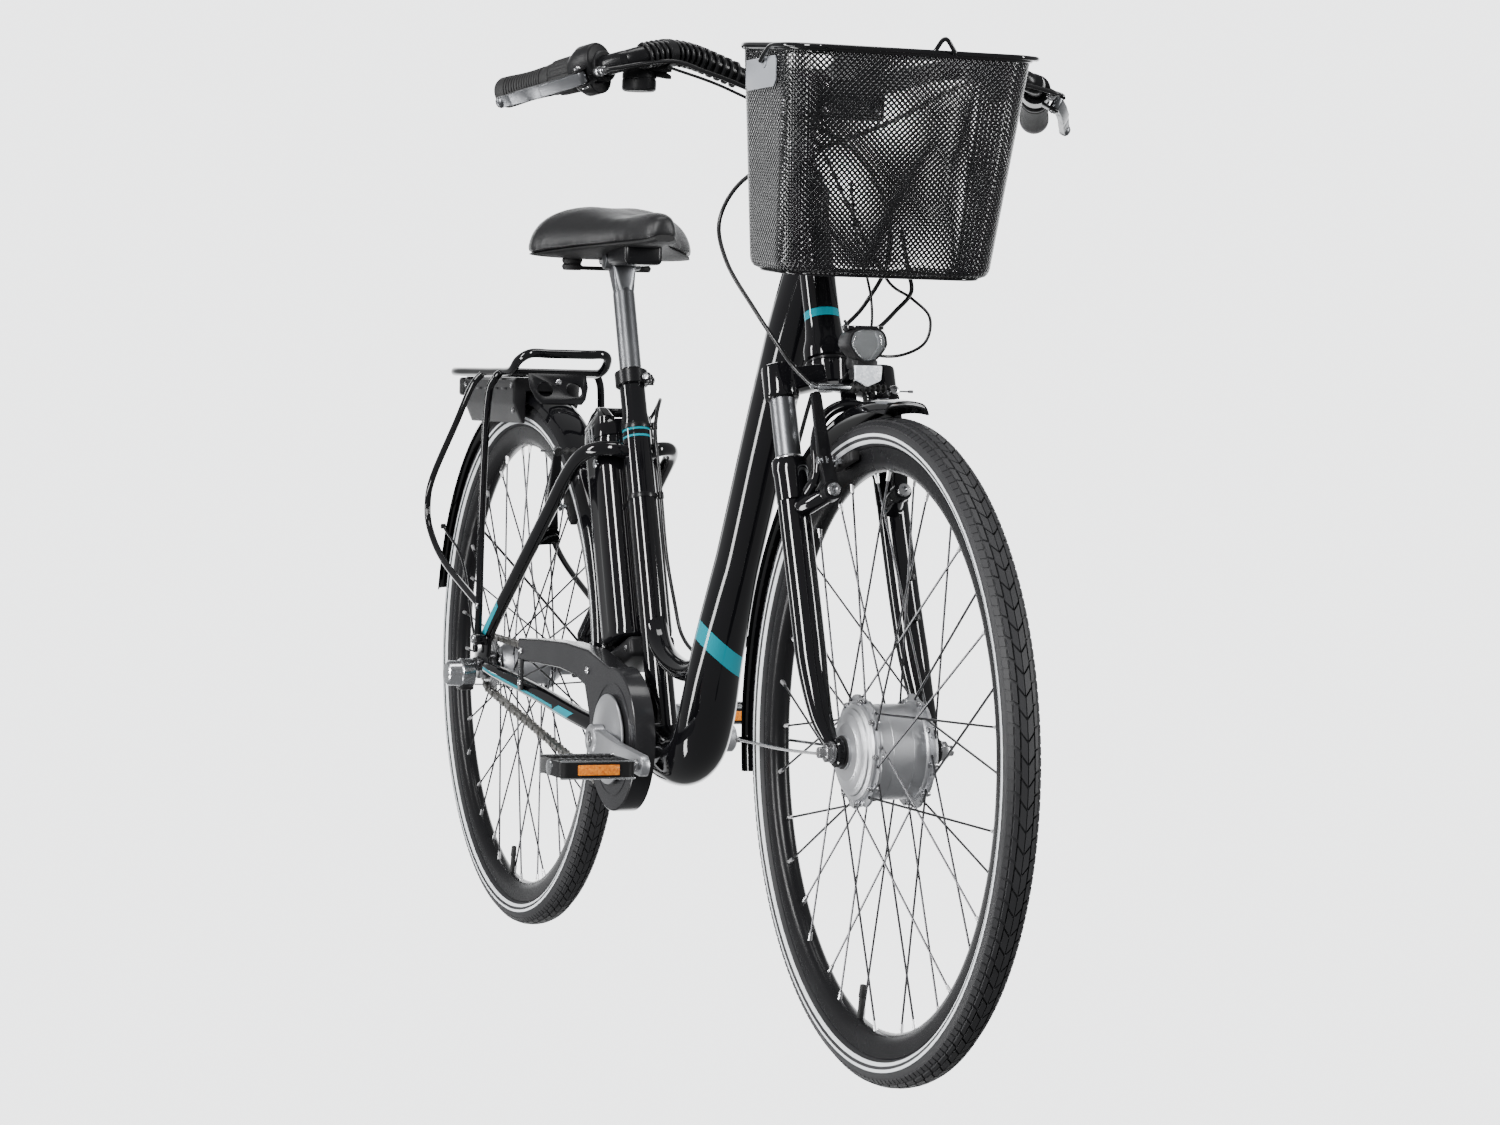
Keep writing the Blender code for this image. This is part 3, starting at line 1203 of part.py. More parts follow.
def make_twist_shifter():
    origin, g, _, _ = grip_frame(-1)
    low, high = 0.0885, 0.1230
    profile = [(BAR_BORE, high), (0.0200, high), (0.0196, high - 0.012), (0.0176, low + 0.004),
               (0.0168, low), (BAR_BORE, low)]
    return turned("twist_shifter", profile, origin, g, "rubber", 16, True)


def make_lever_bracket(word, side):
    origin, g, p, n = grip_frame(side)
    low = 0.1385
    ring = rod("ring", origin + g * low, origin + g * 0.1620, 0.0168, "satin_black", 12)
    pieces = [ring]
    pivot = origin + g * LEVER_PIVOT_A + p * LEVER_PIVOT_D
    for way in (-1, 1):
        cheek = rings_hull("cheek", [(pivot + n * way * 0.0088, n, 0.0062, 0.0013, 8),
                                     (origin + g * LEVER_PIVOT_A + p * 0.010 + n * way * 0.0088, n,
                                      0.0090, 0.0013, 8)], "satin_black")
        pieces.append(cheek)
    barrel = rod("barrel", origin + g * 0.1500 + p * 0.0150, origin + g * 0.1800 + p * 0.0215,
                 0.0050, "satin_black", 10)
    pieces.append(barrel)
    if side < 0:
        profile = [(0.0, 0.1400), (0.0185, 0.1400), (0.0215, 0.1340), (0.0215, 0.1234),
                   (0.0, 0.1234)]
        pieces.append(turned("housing", profile, origin, g, "satin_black", 12))
    whole = fuse(word + "_lever_bracket", pieces, "satin_black")
    bore = rod(word + "_bracket_bore", origin + g * 0.10, origin + g * 0.1700, BAR_BORE, "steel", 12)
    return carve(whole, bore)


def make_brake_lever(word, side):
    origin, g, p, n = grip_frame(side)
    pivot = origin + g * LEVER_PIVOT_A + p * LEVER_PIVOT_D
    elbow = origin + g * 0.0950 + p * 0.0365
    reach = spot(LEVER_TIP[0], LEVER_TIP[1] * side, LEVER_TIP[2])
    upper = rings_hull("upper", [(pivot, n, 0.0056, 0.0070, 8), (elbow, n, 0.0040, 0.0065, 8)],
                       "silver")
    lower = rings_hull("lower", [(elbow, n, 0.0040, 0.0065, 8), (reach, n, 0.0036, 0.0055, 8)],
                       "silver")
    bm = bmesh.new()
    bmesh.ops.create_uvsphere(bm, u_segments=8, v_segments=4, radius=0.0068)
    bmesh.ops.translate(bm, vec=reach, verts=bm.verts)
    ball = from_bmesh("ball", bm, "silver")
    return fuse(word + "_brake_lever", [upper, lower, ball], "silver")


DISPLAY_Y = 0.058


def make_display():
    clamp = rod("clamp", spot(0.974, DISPLAY_Y - 0.010, 1.0605), spot(0.974, DISPLAY_Y + 0.008, 1.0611),
                0.0160, "black_plastic", 14)
    tilt = Matrix.Rotation(math.radians(-35.0), 4, "Y")
    screen = block("screen", spot(0.967, DISPLAY_Y, 1.0850), (0.046, 0.062, 0.012),
                   "black_plastic", tilt, 0.003)
    neck = block("neck", spot(0.970, DISPLAY_Y, 1.0790), (0.020, 0.016, 0.012), "black_plastic")
    whole = fuse("display", [clamp, screen, neck], "black_plastic")
    bore = rod("display_bore", spot(0.974, 0.035, 1.0601), spot(0.974, 0.075, 1.0618),
               BAR_BORE + 0.0002, "steel", 10)
    return carve(whole, bore)


BELL_X, BELL_Y = 1.008, -0.2050


def make_bell():
    profile = [(0.0, 1.0560), (0.0150, 1.0560), (0.0185, 1.0520), (0.0185, 1.0320), (0.0160, 1.0300),
               (0.0, 1.0300)]
    cup = turned("cup", profile, spot(BELL_X, BELL_Y, 0.0), UP, "black_plastic", 12)
    before, after = Vector(BAR_LINE[5]), Vector(BAR_LINE[6])
    middle = (before + after) / 2
    along = (after - before).normalized()
    centre = spot(middle.x, -middle.y, middle.z)
    direction = Vector((along.x, -along.y, along.z))
    ring = rod("ring", centre - direction * 0.0060, centre + direction * 0.0060, 0.0158,
               "black_plastic", 12)
    neck = rings_hull("neck", [(spot(BELL_X, BELL_Y + 0.004, 1.0540), UP, 0.0080, 0.002, 6),
                               (centre - UP * 0.010, UP, 0.0070, 0.002, 6)], "black_plastic")
    whole = fuse("bell", [cup, ring, neck], "black_plastic")
    bore = rod("bell_bore", centre - direction * 0.02, centre + direction * 0.02, 0.0126, "steel", 10)
    return carve(whole, bore)


BELL_LEVER_PIVOT = (BELL_X + 0.004, BELL_Y + 0.0225, 1.0400)


def make_bell_lever():
    x, y, z = BELL_LEVER_PIVOT
    return rings_hull("bell_lever", [(spot(x, y, z), UP, 0.0036, 0.0045, 10),
                                     (spot(x + 0.006, y + 0.0200, z - 0.001), UP, 0.0050, 0.0025, 10)],
                      "black_plastic")


# Basket

BASKET_LOW_Z, BASKET_TOP_Z = 0.847, 1.080
HANDLE_PIVOT = (1.190, 1.062)
BASKET_ROWS = 3
BASKET_WIRES_Y = 4
BASKET_WIRES_X = 3


def basket_outline(share):
    """The rounded oblong of the basket's wall at a share of its height."""
    half_x = 0.0650 + 0.0200 * share
    half_y = 0.1210 + 0.0175 * share
    centre_x = 1.1560 + 0.0340 * share
    corner = 0.040
    z = BASKET_LOW_Z + (BASKET_TOP_Z - BASKET_LOW_Z) * share
    points = []
    straight_y = [(half_y - corner) * (1 - 2 * k / BASKET_WIRES_Y) for k in range(BASKET_WIRES_Y + 1)]
    straight_x = [(half_x - corner) * (1 - 2 * k / BASKET_WIRES_X) for k in range(BASKET_WIRES_X + 1)]
    points += [(centre_x + half_x, y, z) for y in straight_y]
    points += [(centre_x + x, -half_y, z) for x in straight_x]
    points += [(centre_x - half_x, -y, z) for y in straight_y]
    points += [(centre_x - x, half_y, z) for x in straight_x]
    return [spot(*p) for p in points]


def make_basket():
    bm = bmesh.new()
    loops = []
    for row in range(BASKET_ROWS + 1):
        loops.append([bm.verts.new(p) for p in basket_outline(row / BASKET_ROWS)])
    count = len(loops[0])
    for lower, upper in zip(loops, loops[1:]):
        for i in range(count):
            j = (i + 1) % count
            bm.faces.new((lower[i], lower[j], upper[j], upper[i]))
    bm.faces.new(loops[0])
    half_turn = count // 2
    front = loops[0][1:BASKET_WIRES_Y]
    back = loops[0][half_turn + 1:half_turn + BASKET_WIRES_Y]
    for first, second in zip(front, reversed(back)):
        bmesh.ops.connect_verts(bm, verts=[first, second])
    bmesh.ops.recalc_face_normals(bm, faces=bm.faces[:])
    mesh = bpy.data.meshes.new("basket")
    bm.to_mesh(mesh)
    bm.free()
    basket = keep("basket", mesh, "satin_black")
    group = basket.vertex_groups.new(name="wire")
    top = BASKET_TOP_Z - 0.001
    for vertex in mesh.vertices:
        group.add([vertex.index], 1.0 if vertex.co.z > top else 0.45, "REPLACE")
    wires = basket.modifiers.new("wires", "WIREFRAME")
    wires.thickness = 0.0060
    wires.use_replace = True
    wires.use_boundary = True
    wires.use_even_offset = True
    wires.vertex_group = "wire"
    wires.thickness_vertex_group = 0.0
    pieces = [baked(basket)]
    x0, z0 = HANDLE_PIVOT
    for side in (-1, 1):
        ear = block("ear", spot(x0, side * 0.1418, z0 + 0.005), (0.016, 0.0024, 0.032),
                    "satin_black")
        hole = rod("basket_ear_hole", spot(x0, side * 0.13, z0), spot(x0, side * 0.15, z0), 0.0036,
                   "steel", 6)
        pieces.append(carve(ear, hole))
    return fuse("basket", pieces, "satin_black")


def make_basket_handle():
    x0, z0 = HANDLE_PIVOT
    y0 = 0.1480
    reach = 0.098
    lift = 0.0262
    half = [(x0, y0 - 0.0090, z0), (x0, y0 - 0.0020, z0), (x0 + 0.004, y0, z0 + 0.001),
            (x0 + 0.055, y0, z0 + lift), (x0 + reach - 0.018, y0, z0 + lift),
            (x0 + reach, y0 - 0.040, z0 + lift), (x0 + reach, 0.030, z0 + lift),
            (x0 + reach, 0.012, z0 + lift + 0.013)]
    route = half + [(x, -y, z) for x, y, z in reversed(half)]
    return tube("basket_handle", [spot(*p) for p in route], 0.0027, "satin_black", 6)


def make_basket_bracket():
    pieces = []
    for side in (-1, 1):
        y = side * 0.0330
        pieces.append(rod("ring", spot(0.974, y - 0.006, 1.060), spot(0.974, y + 0.006, 1.060),
                          0.0170, "satin_black", 12))
        pieces.append(block("arm", spot(1.036, y, 1.0500), (0.100, 0.010, 0.010), "satin_black"))
    pieces.append(block("plate", spot(1.0890, 0, 1.0300), (0.0060, 0.100, 0.060), "satin_black"))
    whole = fuse("basket_bracket", pieces, "satin_black")
    tools = []
    for side in (-1, 1):
        tools.append(rod("bracket_bore", spot(0.974, side * 0.022, 1.060),
                         spot(0.974, side * 0.044, 1.060), BAR_BORE + 0.0004, "steel", 10))
    return carve(whole, *tools)


# Brake cables

def make_front_brake_cable():
    origin, g, p, _ = grip_frame(1)
    start = origin + g * 0.1806 + p * 0.0217
    top = -0.2188 + 0.1180
    line = [start, start + g * 0.012 + p * 0.002, spot(1.062, 0.150, 1.046), spot(1.062, 0.060, 1.012),
            spot(1.056, -0.030, 0.982), spot(1.016, -0.088, 0.955), spot(0.990, -0.110, 0.910),
            spot(1.018, -0.112, 0.862), spot(1.068, -0.094, 0.806), spot(1.104, -0.070, 0.762),
            steer(top + 0.005, ARM_PLANE, -0.0520), steer(top, ARM_PLANE, -0.040),
            steer(top, ARM_PLANE, -0.015), steer(top, ARM_PLANE, 0.015),
            steer(top, ARM_PLANE, 0.0440)]
    return tube("front_brake_cable", line, 0.0024, "rubber", 6)


def make_rear_brake_cable():
    origin, g, p, _ = grip_frame(-1)
    start = origin + g * 0.1806 + p * 0.0217
    line = [start, start + g * 0.012 + p * 0.002, spot(1.058, -0.150, 1.046), spot(1.054, -0.070, 1.022),
            spot(1.050, 0.020, 0.985), spot(1.046, 0.060, 0.930), spot(1.036, 0.070, 0.870),
            spot(1.000, 0.058, 0.820), spot(0.950, 0.034, 0.765), spot(0.860, 0.0300, 0.6300),
            spot(0.780, 0.0300, 0.5000), spot(0.720, 0.0300, 0.4250), spot(0.660, 0.0245, 0.4120),
            spot(0.600, 0.0205, 0.4060), spot(0.540, 0.0215, 0.4200), spot(0.505, 0.0235, 0.4560),
            seat(0.230, -0.0060, 0.0222), seat(0.300, -0.0080, 0.0218), seat(0.345, -0.0125, 0.0200),
            seat(0.385, -0.0125, 0.0200), seat(0.415, 0.0020, 0.0300), seat(0.440, 0.0240, 0.0440),
            spot(0.352, 0.0530, 0.7050),
            spot(0.310, 0.0570, 0.6850),
            REAR_PIVOT + REAR_ARM_OUT * 0.0095 + REAR_ARM_UP * 0.1240 + LEFT * 0.0490,
            REAR_PIVOT + REAR_ARM_OUT * 0.0095 + REAR_ARM_UP * 0.1165 + LEFT * 0.0455]
    return tube("rear_brake_cable", line, 0.0024, "rubber", 6)


# Build every piece, body by body

head_tube = make_head_tube()
down_tube = make_down_tube()
seat_tube = make_seat_tube()
cross_strut = make_cross_strut()
shell = make_shell()
chainstays = [make_chainstay("right", -1), make_chainstay("left", 1)]
seatstays = [make_seatstay("right", -1), make_seatstay("left", 1)]
chain_guard = make_chain_guard()
chain = make_chain()
rear_fender = make_rear_fender()
rear_rack = make_rack()
controller = make_controller()
rear_light = make_rear_light()
seat_clamp = make_seat_clamp()
rear_axle = make_rear_axle()
hub_cap = make_hub_cap()
rear_cable = make_rear_brake_cable()

fork_crown = make_fork_crown()
stem = make_stem()
handlebar = make_handlebar()
right_grip = make_grip("right", -1, 0.0880)
left_grip = make_grip("left", 1, 0.1240)
brackets = [make_lever_bracket("right", -1), make_lever_bracket("left", 1)]
display = make_display()
bell = make_bell()
basket = make_basket()
basket_bracket = make_basket_bracket()
front_cable = make_front_brake_cable()
steering = body("steering", spot(*STEER_BASE), fork_crown, stem, handlebar, right_grip, left_grip,
                *brackets, display, bell, basket, basket_bracket, front_cable)

lowers = body("fork_lowers", FRONT_AXLE, make_fork_lowers(), make_front_axle(),
              make_front_fender(), make_front_lamp(), make_lamp_lens(), parent=steering)
body("front_wheel", FRONT_AXLE, tyre("front_tyre", FRONT_AXLE),
     rim("front_rim", FRONT_AXLE, 0.0619, 0.0300, 2), make_hub_motor(), parent=lowers)
body("rear_wheel", REAR_AXLE, tyre("rear_tyre", REAR_AXLE),
     rim("rear_rim", REAR_AXLE, 0.0350, 0.0280, 3), make_rear_hub())
body("sprocket", REAR_AXLE, make_sprocket())
crank = body("crank", BB, make_right_crank(), make_left_crank(), make_chainring())
for word, side in (("right", -1), ("left", 1)):
    body(word + "_pedal", pedal_axle(side, 0.15), make_pedal(word, side), parent=crank)
    body("front_%s_brake_arm" % word, FRONT_PIVOT + STEER_FORE * ARM_PLANE + LEFT * side * PIVOT_Y,
         make_brake_arm("front_%s_brake_arm" % word, FRONT_PIVOT, STEER_UP, STEER_FORE, ARM_PLANE,
                        side, FRONT_AXLE, 0.0340), parent=lowers)
    body("rear_%s_brake_arm" % word, REAR_PIVOT + LEFT * side * PIVOT_Y,
         make_brake_arm("rear_%s_brake_arm" % word, REAR_PIVOT, REAR_ARM_UP, REAR_ARM_OUT, 0.0100,
                        side, REAR_AXLE, 0.0380))
    origin, g, p, n = grip_frame(side)
    body(word + "_brake_lever", origin + g * LEVER_PIVOT_A + p * LEVER_PIVOT_D,
         make_brake_lever(word, side), parent=steering)
origin, g, p, n = grip_frame(-1)
body("twist_shifter", origin + g * 0.10, make_twist_shifter(), parent=steering)
body("bell_lever", spot(*BELL_LEVER_PIVOT), make_bell_lever(), parent=steering)
body("basket_handle", spot(HANDLE_PIVOT[0], 0, HANDLE_PIVOT[1]), make_basket_handle(),
     parent=steering)
body("seatpost", seat(0.45, 0, 0), make_seatpost(), make_saddle())
body("battery", seat(0.28, 0.06, 0), make_battery())
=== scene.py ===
# %% [markdown]
# # An electric city bike, dressed around its solid parts
# The solid parts of the bike, with their joints, are loaded as a fixed frame. This lesson gives
# them their looks: smooth tubes, treaded tyres, laced wheels, a mesh basket, a padded saddle and
# paint. Each cell first says what the piece is on the real bike, then models it with small bmesh
# steps. Lengths are metres. Points are given as on the drawing: x forward from under the rear
# axle, y to the rider's left, z up, and a helper moves them to the bike's own centre.

# %% Load the solid frame
import math

import bmesh
import bpy
from mathutils import Matrix, Vector


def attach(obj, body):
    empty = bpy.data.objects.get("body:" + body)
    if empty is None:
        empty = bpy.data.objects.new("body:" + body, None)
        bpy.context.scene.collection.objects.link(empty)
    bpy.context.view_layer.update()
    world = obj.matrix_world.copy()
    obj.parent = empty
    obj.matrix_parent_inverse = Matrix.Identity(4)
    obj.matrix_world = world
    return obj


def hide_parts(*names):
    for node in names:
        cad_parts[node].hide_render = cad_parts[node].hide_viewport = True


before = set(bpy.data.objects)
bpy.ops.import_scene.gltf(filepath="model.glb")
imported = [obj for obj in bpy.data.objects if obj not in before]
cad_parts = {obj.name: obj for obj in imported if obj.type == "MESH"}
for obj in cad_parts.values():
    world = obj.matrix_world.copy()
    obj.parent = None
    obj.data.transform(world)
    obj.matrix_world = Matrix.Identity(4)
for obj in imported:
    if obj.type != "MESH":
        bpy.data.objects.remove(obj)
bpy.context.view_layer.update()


def new_object(name, data):
    """An object for a mesh, lamp or curve, put in the scene."""
    obj = bpy.data.objects.new(name, data)
    bpy.context.scene.collection.objects.link(obj)
    return obj


# %% Driving dimensions, as in the drawing
SHIFT_X = -0.6074723
TYRE_R = 0.35
AXLE_Z = 0.35
FENDER_R = 0.3685
BB_X, BB_Z = 0.546, 0.3
CHAIN_Y = -0.05
PITCH = 0.0127
RING_TEETH, SPROCKET_TEETH, LINKS = 38, 18, 114
SEAT_SLOPE = math.atan(0.3443)
STEER_LEAN = math.radians(20.0)
STEER_BASE = (1.021, 0.0, 0.803)
FORK_OFFSET, LEG_Y, AXLE_S = 0.0358, 0.0575, -0.4955
BAR_R = 0.0111
SPOKES = 36
CRANK, CRANK_DROP = 0.17, math.radians(5.0)
PIVOT_S, PIVOT_Y, ARM_PLANE, REAR_PLANE = -0.2188, 0.04, 0.063, 0.01


def at(x, y, z):
    """A drawing point, in the bike's own frame."""
    return Vector((x + SHIFT_X, y, z))


def drawn(points, side=1):
    """Drawing points in the bike's own frame, mirrored where side is -1."""
    return [at(x, side * y, z) for x, y, z in points]


def outward(angle):
    """The direction at an angle in the wheels' plane, from forward toward up."""
    return Vector((math.cos(angle), 0.0, math.sin(angle)))


def polar(radius, angle, centre=(0.0, 0.0)):
    """A flat point at a radius and an angle about a centre."""
    return (centre[0] + radius * math.cos(angle), centre[1] + radius * math.sin(angle))


UP = Vector((0.0, 0.0, 1.0))
LEFT = Vector((0.0, 1.0, 0.0))
FORE = Vector((1.0, 0.0, 0.0))
STEER_UP = Vector((-math.sin(STEER_LEAN), 0.0, math.cos(STEER_LEAN)))
STEER_FORE = Vector((math.cos(STEER_LEAN), 0.0, math.sin(STEER_LEAN)))
SEAT_UP = Vector((-math.sin(SEAT_SLOPE), 0.0, math.cos(SEAT_SLOPE)))
SEAT_BACK = Vector((-math.cos(SEAT_SLOPE), 0.0, -math.sin(SEAT_SLOPE)))
BB = at(BB_X, 0.0, BB_Z)
REAR_AXLE = at(0.0, 0.0, AXLE_Z)


def steer(s, fore, side):
    """A point on the fork: s up the steering axis, fore ahead of it, side to the left."""
    return at(*STEER_BASE) + STEER_UP * s + STEER_FORE * fore + LEFT * side


def seat(t, back, side):
    """A point on the seat tube: t up from the crank, back behind the tube's axis."""
    return BB + SEAT_UP * t + SEAT_BACK * back + LEFT * side


FRONT_AXLE = steer(AXLE_S, FORK_OFFSET, 0.0)
FRONT_PIVOT = steer(PIVOT_S, 0.0, 0.0)
REAR_PIVOT = at(0.2187, 0.0, 0.5296)
REAR_ARM_UP = Vector((0.33, 0.0, 0.944)).normalized()
REAR_ARM_OUT = Vector((-0.944, 0.0, 0.33)).normalized()
print("wheelbase", round((FRONT_AXLE - REAR_AXLE).length, 4))

# %% [markdown]
# ## Camera and studio
# The camera stands low in front of the bike, to its right, with a long lens, as a catalogue
# photographer would. Its place and angles were solved from points of the bike whose sizes are
# known. The picture is a cut-out on white, so there is no floor: a bright paper wall fills the
# view behind the bike, the rest of the room is dim, and tall soft lights draw the long bright
# streaks down the black tubes. A low board lights the slanting down tube from below.

# %% Camera
CAMERA_AT = Vector((4.2745, -1.571, 0.725))
CAMERA_YAW, CAMERA_PITCH, CAMERA_ROLL = map(math.radians, (158.86, -2.6, 1.3))
LENS = 91.63

ahead = Vector((math.cos(CAMERA_YAW) * math.cos(CAMERA_PITCH),
    math.sin(CAMERA_YAW) * math.cos(CAMERA_PITCH), math.sin(CAMERA_PITCH)))
level_right = ahead.cross(UP).normalized()
level_up = level_right.cross(ahead)
camera_right = level_right * math.cos(CAMERA_ROLL) + level_up * math.sin(CAMERA_ROLL)
camera_up = level_up * math.cos(CAMERA_ROLL) - level_right * math.sin(CAMERA_ROLL)
camera = new_object("camera", bpy.data.cameras.new("camera"))
camera.data.lens = LENS
camera.data.sensor_width = 36.0
camera.data.clip_end = 200.0
axes = Matrix((camera_right, camera_up, -ahead)).transposed().to_4x4()
camera.matrix_world = Matrix.Translation(CAMERA_AT) @ axes
bpy.context.scene.camera = camera
print("camera at", tuple(round(value, 3) for value in camera.location))

# %% Paper wall, dim room and soft lights
world = bpy.data.worlds.new("studio")
bpy.context.scene.world = world
world.use_nodes = True
surround = world.node_tree.nodes["Background"]
PAPER_BRIGHT, ROOM_DIM = 3.4, 0.34
PAPER_EDGE, PAPER_FADE = 19.0, 38.0
tree = world.node_tree
direction = tree.nodes.new("ShaderNodeTexCoord")
toward_paper = tree.nodes.new("ShaderNodeVectorMath")
toward_paper.operation = "DOT_PRODUCT"
toward_paper.inputs[1].default_value = ahead
brightness = tree.nodes.new("ShaderNodeMapRange")
brightness.interpolation_type = "SMOOTHSTEP"
brightness.inputs["From Min"].default_value = math.cos(math.radians(PAPER_FADE))
brightness.inputs["From Max"].default_value = math.cos(math.radians(PAPER_EDGE))
brightness.inputs["To Min"].default_value = ROOM_DIM
brightness.inputs["To Max"].default_value = PAPER_BRIGHT
tree.links.new(direction.outputs["Generated"], toward_paper.inputs[0])
tree.links.new(toward_paper.outputs["Value"], brightness.inputs["Value"])
tree.links.new(brightness.outputs["Result"], surround.inputs["Strength"])
surround.inputs["Color"].default_value = (0.98, 0.99, 1.0, 1.0)

MIDDLE = Vector((0.0, 0.0, 0.55))
LIGHTS = [("key", (3.6, -3.8, 2.6), 0.9, 2.8, 500.0), ("fill", (3.2, 4.0, 1.8), 0.75, 2.8, 290.0),
    ("side", (-1.2, -5.0, 1.6), 0.6, 2.8, 240.0), ("board", (-0.8, -3.2, -1.6), 0.6, 2.4, 120.0),
    ("top", (0.2, 0.0, 4.2), 2.6, 1.2, 90.0)]
for name, place, width, height, power in LIGHTS:
    lamp = bpy.data.lights.new(name, "AREA")
    lamp.shape = "RECTANGLE"
    lamp.size, lamp.size_y = width, height
    lamp.energy = power
    turned = (MIDDLE - Vector(place)).to_track_quat("-Z", "Y").to_matrix().to_4x4()
    new_object(name, lamp).matrix_world = Matrix.Translation(place) @ turned

# %% [markdown]
# ## The workshop's few helpers
# Almost every piece of a bike is a tube, a turned part, a rounded block or a skin stretched
# between a few discs. Each helper starts from a bmesh create operator and shapes it with
# extrude, spin, bevel, bridge or convex hull. A piece's place goes in its mesh, so its object
# stays at the origin, and its patterns stay still when the model is exported.

# %% Placing and joining
NEAR_PARALLEL = 0.98
MERGE, TURNED_MERGE, PLATE_MERGE = 0.000002, 0.000005, 0.00001
HULL_TURN, PLATE_TURN = math.radians(1.0), math.radians(0.5)


def place_at(origin, direction, toward=None):
    """A matrix at origin with Z along direction and X leaning to toward."""
    z_axis = Vector(direction).normalized()
    hint = FORE if toward is None else Vector(toward)
    if abs(hint.normalized().dot(z_axis)) > NEAR_PARALLEL:
        hint = UP
    x_axis = (hint - z_axis * hint.dot(z_axis)).normalized()
    return axes_at(x_axis, z_axis.cross(x_axis), z_axis, origin)


def axes_at(x_axis, y_axis, z_axis, origin):
    """A matrix with these axes at an origin."""
    matrix = Matrix((x_axis, y_axis, z_axis)).transposed().to_4x4()
    matrix.translation = origin
    return matrix


def piece(name, bm, look, body, replaces=(), angle=38.0):
    """Close a bmesh into an object that rides on a body and takes a finish."""
    bmesh.ops.remove_doubles(bm, verts=bm.verts[:], dist=MERGE)
    bmesh.ops.recalc_face_normals(bm, faces=bm.faces[:])
    mesh = bpy.data.meshes.new(name)
    bm.to_mesh(mesh)
    bm.free()
    mesh.shade_smooth()
    mesh.set_sharp_from_angle(angle=math.radians(angle))
    mesh.materials.append(look)
    obj = new_object(name, mesh)
    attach(obj, body)
    if replaces:
        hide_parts(*replaces)
    made.append((name, len(mesh.polygons)))


made, told = [], []


def tell():
    """Print the pieces made since the last time, with their faces."""
    fresh = made[len(told):]
    told.extend(fresh)
    print("made", ", ".join(f"{name} {faces}" for name, faces in fresh))


print("helpers ready: place_at, piece, tell")

# %% Rods, boxes and turned shapes


def rounded(bm, verts, width, steps=2, above=30.0):
    """Round the edges among verts where faces meet at more than an angle."""
    bm.normal_update()
    chosen = set(verts)
    edges = [edge for edge in bm.edges if edge.verts[0] in chosen and edge.verts[1] in chosen
        and len(edge.link_faces) == 2 and edge.calc_face_angle(0.0) > math.radians(above)]
    bmesh.ops.bevel(bm, geom=edges, offset=width, segments=steps, profile=0.5, affect="EDGES",
        material=-1, clamp_overlap=True)


def add_rod(bm, start, end, radius, end_radius=None, sides=20, edge=0.0):
    """A round bar between two points, with its rims rounded by edge."""
    start, end = Vector(start), Vector(end)
    made_verts = bmesh.ops.create_cone(bm, cap_ends=True, segments=sides, radius1=radius,
        radius2=radius if end_radius is None else end_radius, depth=(end - start).length,
        matrix=place_at((start + end) / 2, end - start))["verts"]
    if edge:
        rounded(bm, made_verts, edge, 2, 50.0)


def add_pin(bm, place, way, low, high, radius, sides=20, edge=0.0):
    """A round bar along way, from low to high as measured from a place."""
    add_rod(bm, place + way * low, place + way * high, radius, sides=sides, edge=edge)


def add_box(bm, centre, size, axes=None, edge=0.0, steps=2):
    """A box about centre, turned by axes, with rounded edges."""
    turn = axes.to_3x3().to_4x4() if axes else Matrix.Identity(4)
    matrix = Matrix.Translation(centre) @ turn @ Matrix.Diagonal((*size, 1.0))
    verts = bmesh.ops.create_cube(bm, size=1.0, matrix=matrix)["verts"]
    if edge:
        rounded(bm, verts, edge, steps)


def add_turned(bm, profile, origin, direction, steps=48, closed=False, toward=None):
    """Spin a profile of (radius, height) round an axis."""
    new = bmesh.new()
    verts = [new.verts.new((radius, 0.0, height)) for radius, height in profile]
    edges = [new.edges.new(pair) for pair in zip(verts, verts[1:])]
    if closed:
        edges.append(new.edges.new((verts[-1], verts[0])))
    bmesh.ops.spin(new, geom=verts + edges, cent=(0, 0, 0), axis=(0, 0, 1), angle=2 * math.pi,
        steps=steps, use_merge=True)
    bmesh.ops.remove_doubles(new, verts=new.verts[:], dist=TURNED_MERGE)
    bmesh.ops.transform(new, matrix=place_at(origin, direction, toward), verts=new.verts[:])
    bmesh.ops.recalc_face_normals(new, faces=new.faces[:])
    pour(bm, new)


def add_ring(bm, bore, radius, low, high, chamfer, origin, direction, steps=32, toward=None):
    """A turned ring with its two outer edges broken by a chamfer."""
    add_turned(bm, [(bore, low), (radius - chamfer, low), (radius, low + chamfer),
        (radius, high - chamfer), (radius - chamfer, high), (bore, high)], origin, direction, steps,
        closed=True, toward=toward)


def pour(bm, new):
    """Move the contents of one bmesh into another."""
    mesh = bpy.data.meshes.new("pour")
    new.to_mesh(mesh)
    new.free()
    bm.from_mesh(mesh)
    bpy.data.meshes.remove(mesh)


